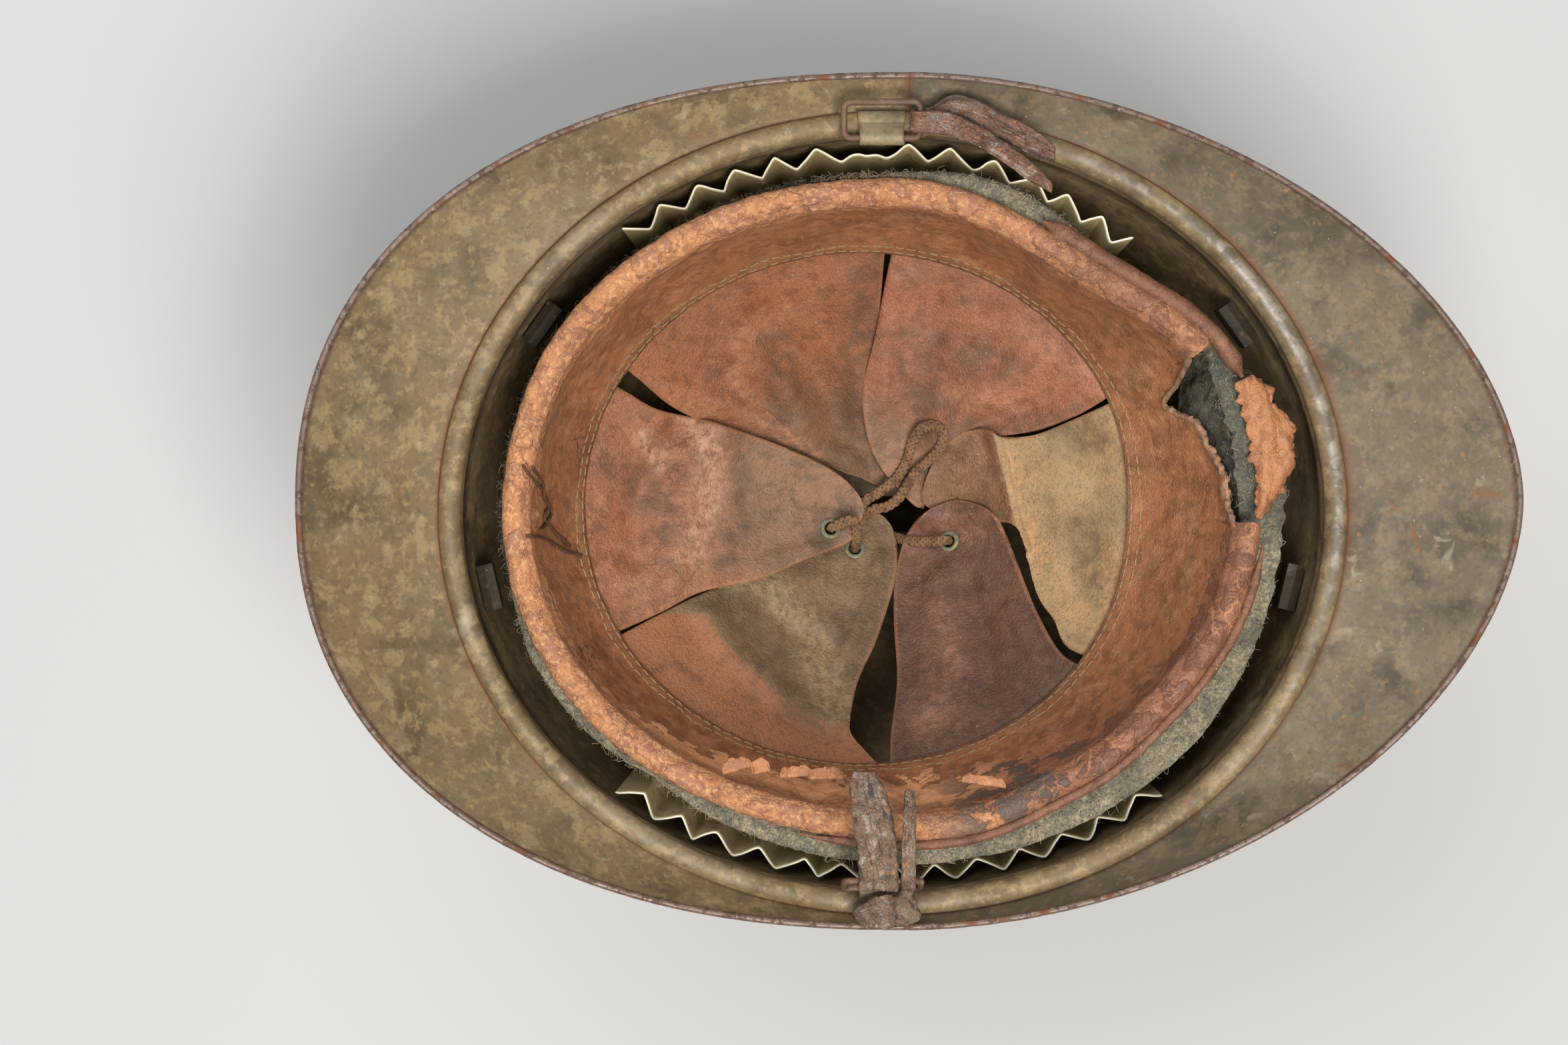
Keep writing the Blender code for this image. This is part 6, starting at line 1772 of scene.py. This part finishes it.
def make_seam_thread(grid, square, finish):
    """The heavy thread laced across the headband's rear seam, with loose ends."""
    column = BAND_COLUMNS // 2
    rows = grid.shape[1]
    for number, route in enumerate(SEAM_ROUTES):
        points = []
        for turn, share, lift in route:
            k = column + int(round(turn * BAND_COLUMNS / 360))
            row = int(round(share * (rows - 1)))
            inward = square[k, row] * np.sign(square[k, row, 2] + 1e-9)
            points.append(grid[k, row] + inward * (LEATHER / 2 + THREAD_RADIUS * lift))
        line = smooth_line(points, 220)
        line += np.random.default_rng(number).normal(size=line.shape) * THREAD_RADIUS * 0.04
        piece = rod(f"rear_seam_lacing_{number + 1}", line, THREAD_RADIUS * 0.85, 10, finish)
        place_piece(piece, "shell", "lace", *(() if number else ("rear_seam_thread",)))


def make_torn_flap(finish):
    """The strip torn off the band's front, curled over the felt outside the tear."""
    line = smooth_line(TORN_FLAP, 90)
    columns = 22
    shares = np.linspace(-1, 1, columns)
    along = unit(np.gradient(line[:, :2], axis=0))
    side = np.stack([-along[:, 1], along[:, 0]], -1)
    grid = np.zeros((len(line), columns, 3))
    rough = lumps(raised(line[:, :2], np.zeros(len(line))), 0.005, seed=131)
    half = line[:, 3] / 2 * (1 + 0.1 * rough)
    grid[..., :2] = line[:, None, :2] + side[:, None] * (half[:, None] * shares)[..., None]
    ragged = lumps(grid, 0.003, seed=133, octaves=4) * 0.0019 * np.abs(shares) ** 3
    grid[..., :2] += side[:, None] * (ragged * np.sign(shares))[..., None]
    grid[..., 2] = RIM + line[:, 2:3] - 0.0022 * shares ** 2 - 0.001 * shares
    grid[..., 2] += lumps(grid * np.array([1.0, 0.45, 1.0]), 0.0032, seed=137, octaves=3) * 0.0013
    piece = leaf("headband_torn_flap", grid, LEATHER * 0.8, finish, marks={"worn": 1})
    return place_piece(piece, "shell", "brown_leather")


def make_peels(finish):
    """Small leaves of leather that have lifted off the band's roll."""
    for number, (x, y, long, wide, turn) in enumerate(PEELS):
        u, v = np.linspace(-1, 1, 40), np.linspace(0, 1, 12)
        facing = radians(turn)
        along, across = np.array([cos(facing), sin(facing)]), np.array([-sin(facing), cos(facing)])
        grid = np.zeros((len(u), len(v), 3))
        edge = np.stack([u * long / 2, np.full(len(u), number * 0.1), 0 * u], -1)
        ragged = lumps(edge, 0.0013, seed=141, octaves=4)
        reach = 0.85 * wide * np.clip(1 - np.abs(u) ** 8, 0.03, 1) * (1 + 0.22 * ragged)
        grid[..., :2] = (np.array([x, y]) + along * u[:, None, None] * long * 0.62
                         - across * (reach[:, None] * v)[..., None])
        lift = 0.0003 + 0.0006 * v ** 1.5 + 0.0003 * ragged[:, None]
        grid[..., 2] = RIM - BAND_TOP - LEATHER * 0.2 + lift
        grid += (lumps(grid, 0.0016, seed=149 + number) * 0.00022)[..., None]
        piece = leaf(f"headband_peel_{number + 1:02d}", grid, PEEL_SHEET, finish, marks={"worn": 1})
        place_piece(piece, "shell", "brown_leather")


def make_welts(finish):
    """The rolled edging outside the band, where it still shows."""
    for number, (start, end, radius, out) in enumerate(WELTS):
        angles = sweep(start, end, 260)
        swell = band_swell(angles)
        plan = ellipse(BAND_CENTRE, (BAND_HALF.x * swell + out, BAND_HALF.y * swell + out), angles)
        line = raised(plan, np.full(len(angles), RIM - BAND_TOP - WELT_DROP))
        line[:, 2] += lumps(line, 0.02, seed=151) * 0.0006
        taper = ease(np.minimum(np.linspace(0, 12, 260), np.linspace(12, 0, 260)), 0, 1)
        size = radius * (0.25 + 0.75 * taper) * (1 + 0.12 * lumps(line, 0.005, seed=157))
        piece = rod(f"headband_welt_{number + 1}", line, size, 16, finish)
        place_piece(piece, "shell", "brown_leather")


# Stage

def soft_light(name, place, aim, size, power, tint):
    """A large soft panel light pointed at a place."""
    lamp = bpy.data.lights.new(name, "AREA")
    lamp.shape = "RECTANGLE"
    lamp.size, lamp.size_y = size
    lamp.energy = power
    lamp.color = tint
    result = bpy.data.objects.new(name, lamp)
    result.location = place
    result.rotation_euler = (Vector(aim) - Vector(place)).to_track_quat("-Z", "Y").to_euler()
    bpy.context.scene.collection.objects.link(result)
    return result


def build_world():
    """A pale even surrounding, plain to the camera."""
    world = bpy.data.worlds.new("Pale surrounding")
    world.use_nodes = True
    background = world.node_tree.nodes["Background"]
    background.inputs["Color"].default_value = SURROUNDING_COLOUR
    background.inputs["Strength"].default_value = SURROUNDING_STRENGTH
    bpy.context.scene.world = world


def build_band_finish():
    """The band's leather, its roll worn to raw orange with painted light on its inner slope, kept dark on
    one side, chipped and crazed.
    """
    c = colours()
    hide = build_leather("band_leather", c.band, (0.17, 0.07, 0.032), c.worn_leather, crack=0.7, bloom=0.22)
    roll = hide.mark("worn", 0.05, 0.7)
    skinned = hide.mottle(120, 9, 0.3, 0.47, 0.53)
    scuffed = hide.mottle(330, 9, 0.3, 0.46, 0.56)
    worn_through = hide.mottle(700, 8, 0.3, 0.52, 0.6)
    chipped = hide.cracks(170, 0.07, 0.42, 1.0)
    hide.layer((0.44, 0.185, 0.082), roll, 0.85, 0.75)
    hide.layer((0.3, 0.13, 0.08), hide.both(roll, skinned), 0.8, 0.55)
    hide.layer((0.52, 0.245, 0.105), hide.both(roll, scuffed), 0.6, 0.8)
    hide.layer((0.64, 0.345, 0.165), hide.both(roll, worn_through), 0.6, 0.8)
    # Painted light: the roll's inner slope, which the lamps reach less, is painted brighter.
    painted_light_on_roll = hide.both(roll, hide.mark("wall", 0.16, 0.36))
    hide.layer((0.82, 0.4, 0.19), painted_light_on_roll, 0.8, 0.8)
    hide.layer((0.17, 0.06, 0.028), hide.both(roll, chipped), 0.55, 0.8)
    kept = hide.both(roll, hide.mark("kept"))
    hide.layer((0.235, 0.098, 0.056), kept, 0.9, 0.45)
    hide.layer((0.135, 0.055, 0.036), hide.both(kept, skinned), 0.6, 0.45)
    charred = hide.both(roll, hide.mark("charred"))
    hide.layer((0.095, 0.08, 0.066), hide.both(charred, skinned), 0.85, 0.7)
    crazed = hide.cracks(210, 0.075, 0.47, 1.0)
    hide.layer((0.56, 0.26, 0.12), hide.both(kept, crazed), 0.8, 0.8)
    stains = hide.mottle(38, 8, 0.3, 0.52, 0.68)
    hide.layer((0.115, 0.045, 0.024), hide.both(stains, hide.mark("wall", 0.15, 0.4)), 0.6)
    lit = hide.mottle(130, 9, 0.2, 0.54, 0.66)
    hide.layer((0.45, 0.2, 0.095), hide.both(lit, hide.mark("wall", 0.15, 0.4)), 0.45, 0.65)
    hide.raise_by(hide.both(roll, scuffed), -0.35).raise_by(hide.both(roll, skinned), 0.9)
    hide.raise_by(hide.both(roll, chipped), -0.8)
    hide.layer(c.dark_leather, hide.mark("hem", 0.0, 1.0), 0.45)
    hide.layer((0.3, 0.2, 0.13), hide.mark("tear", 0.3, 0.9), 0.6, 0.9)
    return hide.done(strength=0.8, distance=0.0005)


def build_linen():
    """Pale linen thread with darker places."""
    c = colours()
    thread = Finish("linen_thread", c.thread, 0.85, shine=0.25)
    thread.layer((0.2, 0.16, 0.09), thread.mottle(500, 4, 0, 0.45, 0.6), 0.7)
    return thread.done()


def build_cord():
    """The dark heavy thread of the rear seam."""
    cord = Finish("seam_cord", (0.075, 0.038, 0.02), 0.9, shine=0.2)
    cord.layer((0.17, 0.095, 0.05), cord.fibres(2600, 5.0), 0.6)
    return cord.done()


def build_brass():
    """Brass gone green and brown."""
    c = colours()
    brass = Finish("eyelet_brass", c.brass, 0.55, metallic=0.5)
    brass.layer((0.17, 0.21, 0.14), brass.mottle(700, 5, 0.3, 0.4, 0.52), 0.95, 0.8)
    brass.layer((0.1, 0.06, 0.03), brass.mottle(900, 5, 0.6, 0.56, 0.66), 0.8, 0.8)
    return brass.done()


def build_tongue_finish(name):
    """A tongue's leather: a tone of its own toward its tip, painted shade and painted highlights in places,
    one flesh side out.
    """
    c = colours()
    base, dark, pale, crack, bloom, start, end, tint, painted_sheen = TONGUE_LOOKS[name]
    skin = build_leather(name + "_hide", base, dark, pale, crack=crack, bloom=bloom)
    if name == "tongue_3":
        flesh = skin.mark("flesh", 0.3, 0.7)
        skin.layer(c.flesh_side, flesh, 0.92, 0.8)
        warm = skin.mottle(60, 6, 0.2, 0.44, 0.6)
        soiled = skin.mottle(260, 8, 0.3, 0.48, 0.66)
        olive = skin.mottle(45, 7, 0.2, 0.46, 0.6)
        skin.layer((0.42, 0.235, 0.105), skin.both(flesh, warm), 0.45)
        skin.layer((0.22, 0.17, 0.085), skin.both(flesh, olive), 0.55)
        skin.layer((0.15, 0.1, 0.05), skin.both(flesh, soiled), 0.38)
    # Toward the tip a tone of its own: dusty bloom on most tongues; on tongue 1 its darker olive is partly
    # a painted shadow of tongue 2's curl.
    toward_tip = skin.without(skin.mark("root", start, end))
    skin.layer(tint, toward_tip, 0.62, 0.62)
    veined = skin.mottle(170, 9, 0.3, 0.48, 0.6)
    skin.layer(dim(tint, 0.45), skin.both(toward_tip, veined), 0.55, 0.6)
    if name == "tongue_5":
        skin.layer((0.285, 0.11, 0.046), skin.mark("flesh", 0.2, 0.8), 0.92, 0.55)
        skin.layer((0.12, 0.05, 0.026), skin.both(skin.mark("flesh", 0.2, 0.8),
                   skin.mottle(130, 7, 0.3, 0.48, 0.66)), 0.6)
    # Painted shade in the tongue's valleys and where it sinks under its neighbours, broken up by a mottle.
    shade_breakup = skin.mottle(190, 9, 0.3, 0.26, 0.62)
    skin.layer(dim(tint, 0.34), skin.both(skin.mark("painted_shade"), shade_breakup), 0.66)
    # Painted highlights along the tongue's ridges and folds.
    uneven = skin.mottle(420, 8, 0.2, 0.3, 0.7)
    skin.layer(painted_sheen, skin.both(skin.mark("painted_highlight"), uneven), 0.62, 0.5)
    grain = skin.mottle(1100, 7, 0.2, 0.5, 0.62)
    skin.layer(dim(base, 0.45), grain, 0.35, 0.6)
    skin.layer((0.36, 0.16, 0.075), skin.mark("rim", 0.5, 1.0), 0.35, 0.8)
    # The leather seen through the eyelet's bore is painted near black: painted shade of the hole.
    skin.layer((0.006, 0.004, 0.003), skin.mark("hole", 0.1, 0.6), 1.0, 1.0)
    return skin.done(strength=0.9, distance=0.0005)


# Operators

class HELMET_OT_stage(bpy.types.Operator):
    """Set the floor, the soft lights and the camera over the opening"""

    bl_idname = "helmet.stage"
    bl_label = "Stage"

    def execute(self, context):
        """Build the stage."""
        scene = context.scene
        floor_finish = Finish("plain_floor", colours().floor, 0.85)
        level = CAD_BOX[0][2] - CLEARANCE
        grid = [[(x * FLOOR_HALF, y * FLOOR_HALF, level) for x in (-1, 1)] for y in (-1, 1)]
        mesh = bpy.data.meshes.new("floor")
        mesh.from_pydata([p for row in grid for p in row], [], [(0, 1, 3, 2)])
        mesh.materials.append(floor_finish.done())
        floor = bpy.data.objects.new("floor", mesh)
        scene.collection.objects.link(floor)
        middle = (0, 0, RIM / 2)
        lights = [soft_light(name, place, middle, *panel) for name, place, *panel in SOFT_PANELS]
        camera = bpy.data.objects.new("camera", bpy.data.cameras.new("camera"))
        camera.data.lens = CAMERA_LENS
        camera.data.clip_start = CAMERA_NEAR
        camera.location = CAMERA_PLACE
        scene.collection.objects.link(camera)
        scene.camera = camera
        scene.view_settings.view_transform = "Standard"
        build_world()
        return {"FINISHED"}


class HELMET_OT_shell(bpy.types.Operator):
    """Build the steel dome with its bead, the two brims and the comb"""

    bl_idname = "helmet.shell"
    bl_label = "Shell"

    def execute(self, context):
        """Build the steel pieces."""
        c = colours()
        make_skull(build_steel_finish("shell_steel", wear=0.65, rust=0.5))
        visor = build_steel_finish("visor_steel", c.visor_paint, wear=0.46, rust=0.9, patchy=0.42)
        guard = build_steel_finish("guard_steel", c.paint, wear=0.35, rust=0.35)
        turn = degrees(acos(-OPENING_CENTRE.x / OPENING_HALF.x))
        gap = degrees(SEAM_GAP / (2 * BRIM_HALF.x))
        make_brim("front_visor", -turn + gap, turn - gap, FRONT_RISE, visor)
        make_brim("neck_guard", turn + gap, 360 - turn - gap, REAR_RISE, guard)
        make_comb(guard)
        return {"FINISHED"}


class HELMET_OT_fittings(bpy.types.Operator):
    """Build the rivets, brackets, wire loops and spacers, and give the clips a dark finish"""

    bl_idname = "helmet.fittings"
    bl_label = "Fittings"

    def execute(self, context):
        """Build the metal fittings."""
        c = colours()
        bare = build_steel_finish("fitting_steel", c.bare_fitting, wear=0.3, rust=0.35)
        wire = build_steel_finish("wire_steel", c.rusty_wire, wear=0.0, rust=1.0, edge=None, patchy=0.3)
        plated = Finish("spacer_metal", c.spacer, 0.4, metallic=0.15)
        tarnish = plated.mottle(120, 6, 0.9, 0.44, 0.68)
        plated.layer((0.4, 0.3, 0.15), tarnish, 0.5, 0.5)
        stain = plated.mottle(420, 6, 0.9, 0.54, 0.66)
        plated.layer((0.17, 0.11, 0.05), stain, 0.6, 0.6)
        # A near-white top edge: a painted highlight.
        plated.layer((0.88, 0.82, 0.62), plated.mark("edge", 0.45, 0.9), 0.95, 0.35)
        plated.raise_by(tarnish, 0.3).raise_by(stain, -0.3)
        sheet = plated.done(strength=0.35, distance=0.0003)
        make_rivets(bare)
        for word, side in (("right", 1), ("left", -1)):
            make_bracket(word, side, bare)
            make_loop(word, side, wire)
        make_spacer("spacer_right", sheet, dented=6.9, away=0.0062)
        make_spacer("spacer_left", sheet)
        # The clips are kept near black, partly as painted shade, so that they recede.
        dark = build_steel_finish("clip_steel", c.clip, wear=0.0, rust=0.5, edge=None, patchy=0.08)
        for node in ("front_left", "front_right", "rear_left", "rear_right"):
            clip = bpy.data.objects[f"liner_clip_{node}"]
            clip.data.materials.clear()
            clip.data.materials.append(dark)
        return {"FINISHED"}


class HELMET_OT_straps(bpy.types.Operator):
    """Build the chin strap's torn ends on their loops"""

    bl_idname = "helmet.straps"
    bl_label = "Strap ends"

    def execute(self, context):
        """Build the strap ends."""
        make_right_strap(build_strap_finish("right_strap_leather", (0.2, 0.088, 0.054)))
        make_left_straps(build_strap_finish("left_strap_leather", (0.165, 0.1, 0.062)))
        return {"FINISHED"}


def build_strap_finish(name, base):
    """Perished strap leather: lengthwise lines of painted shade and highlight, a grey-white crackle and
    orange where it has split.
    """
    hide = build_leather(name, base, (0.06, 0.032, 0.02), (0.26, 0.165, 0.105), crack=0.8, bloom=0.2)
    pale = hide.mottle(200, 6, 1.0, 0.46, 0.58)
    net = hide.cracks(1500, 0.11, 0.3, 0.8)
    hide.layer((0.56, 0.52, 0.46), hide.both(pale, net), 0.95, 0.9)
    split = hide.mottle(330, 5, 1.6, 0.6, 0.68)
    hide.layer((0.42, 0.17, 0.065), split, 0.8, 0.7)
    # Painted shade in the furrows and a painted highlight on the pale ridges.
    hide.layer((0.05, 0.03, 0.022), hide.mark("furrow_shade", 0.1, 0.7), 0.85, 0.8)
    hide.layer((0.4, 0.31, 0.25), hide.both(hide.mark("ridge", 0.1, 0.8), pale), 0.65, 0.55)
    hide.raise_by(net, -0.5)
    return hide.done(strength=0.9, distance=0.0005)


class HELMET_OT_felt(bpy.types.Operator):
    """Build the wool felt band and its loose fibres"""

    bl_idname = "helmet.felt"
    bl_label = "Felt"

    def execute(self, context):
        """Build the felt."""
        c = colours()
        wool = Finish("felt_wool", c.felt, 0.97, shine=0.1)
        wool.layer((0.46, 0.39, 0.235), wool.mottle(1100, 5, 0.3, 0.5, 0.6), 0.6)
        wool.layer((0.05, 0.062, 0.062), wool.mottle(900, 6, 0.5, 0.53, 0.62), 0.75)
        wool.layer((0.4, 0.33, 0.21), wool.fibres(1700, 7.0), 0.45)
        wool.layer((0.085, 0.088, 0.076), wool.mottle(160, 6, 0.8, 0.44, 0.62), 0.7)
        wool.layer((0.36, 0.28, 0.17), wool.fibres(900, 11.0), 0.28)
        wool.layer((0.038, 0.048, 0.044), wool.mark("soiled", 0.2, 0.9), 0.62)
        wool.raise_by(wool.fibres(1700, 7.0, "Height"), 1.0)
        fibre = Finish("felt_fibre", (0.34, 0.27, 0.18), 0.9, shine=0.2)
        fibre.layer((0.17, 0.15, 0.12), fibre.mottle(300, 3, 0, 0.45, 0.55), 0.8)
        edges = make_felt(wool.done(strength=0.9, distance=0.0006))
        make_fibres(edges, fibre.done())
        return {"FINISHED"}


class HELMET_OT_leather(bpy.types.Operator):
    """Build the head band with its stitches and the six tongues with their eyelets"""

    bl_idname = "helmet.leather"
    bl_label = "Leather"

    def execute(self, context):
        """Build the leather."""
        grid, square = make_headband(build_band_finish())
        make_stitches(grid, square, build_linen())
        make_seam_thread(grid, square, build_cord())
        torn = build_leather("peeled_leather", (0.44, 0.185, 0.08), (0.25, 0.092, 0.042),
                             (0.56, 0.275, 0.13), crack=0.5, bloom=0.05)
        peeled = torn.done(strength=0.9, distance=0.0005)
        make_torn_flap(peeled)
        make_peels(peeled)
        edging = build_leather("edging_leather", (0.19, 0.078, 0.04), (0.1, 0.042, 0.024),
                               (0.36, 0.17, 0.09), crack=0.5, bloom=0.15)
        make_welts(edging.done(strength=0.8, distance=0.0004))
        brass = build_brass()
        for number in range(1, 7):
            name = f"tongue_{number}"
            make_tongue(name, build_tongue_finish(name))
            make_eyelet(number, brass)
        return {"FINISHED"}


class HELMET_OT_lace(bpy.types.Operator):
    """Build the braided drawstring through the tongues' eyelets"""

    bl_idname = "helmet.lace"
    bl_label = "Drawstring"

    def execute(self, context):
        """Build the drawstring."""
        braid = Finish("lace_braid", colours().lace, 0.9, shine=0.2)
        braid.layer((0.26, 0.165, 0.095), braid.fibres(2600, 4.0), 0.55)
        braid.layer((0.055, 0.03, 0.018), braid.mottle(420, 5, 0.5, 0.46, 0.62), 0.6)
        # Painted shade in the braid's hollows.
        braid.layer((0.03, 0.017, 0.01), braid.mark("painted_braid_shade", 0.2, 1.0), 0.75)
        braid.raise_by(braid.fibres(2600, 4.0, "Height"), 0.8)
        make_lace(braid.done(strength=0.8, distance=0.0003))
        return {"FINISHED"}


class HELMET_PT_panel(bpy.types.Panel):
    """The helmet's panel in the sidebar"""

    bl_label = "Crested Steel Helmet"
    bl_idname = "HELMET_PT_panel"
    bl_space_type = "VIEW_3D"
    bl_region_type = "UI"
    bl_category = "Helmet"

    def draw(self, context):
        """List the sizes, the colours and the pieces."""
        layout = self.layout
        for title, group in (("Sizes", sizes()), ("Colours", colours())):
            box = layout.box()
            box.label(text=title)
            for key in group.bl_rna.properties.keys():
                if key not in ("rna_type", "name"):
                    box.prop(group, key)
        for operator in OPERATORS:
            layout.operator(operator.bl_idname)


OPERATORS = (HELMET_OT_stage, HELMET_OT_shell, HELMET_OT_fittings, HELMET_OT_straps, HELMET_OT_felt,
             HELMET_OT_leather, HELMET_OT_lace)
CLASSES = (HELMET_PG_sizes, HELMET_PG_colours, *OPERATORS, HELMET_PT_panel)


def register():
    """Make the helmet's classes known, and hang its values on the scene."""
    for item in CLASSES:
        bpy.utils.register_class(item)
    bpy.types.Scene.helmet_sizes = bpy.props.PointerProperty(type=HELMET_PG_sizes)
    bpy.types.Scene.helmet_colours = bpy.props.PointerProperty(type=HELMET_PG_colours)


def unregister():
    """Take the helmet's classes and values away."""
    del bpy.types.Scene.helmet_sizes
    del bpy.types.Scene.helmet_colours
    for item in reversed(CLASSES):
        bpy.utils.unregister_class(item)


def main():
    """Build the whole scene."""
    register()
    bpy.ops.helmet.stage()
    bpy.ops.helmet.shell()
    bpy.ops.helmet.fittings()
    bpy.ops.helmet.straps()
    bpy.ops.helmet.felt()
    bpy.ops.helmet.leather()
    bpy.ops.helmet.lace()


if __name__ == "__main__":
    main()
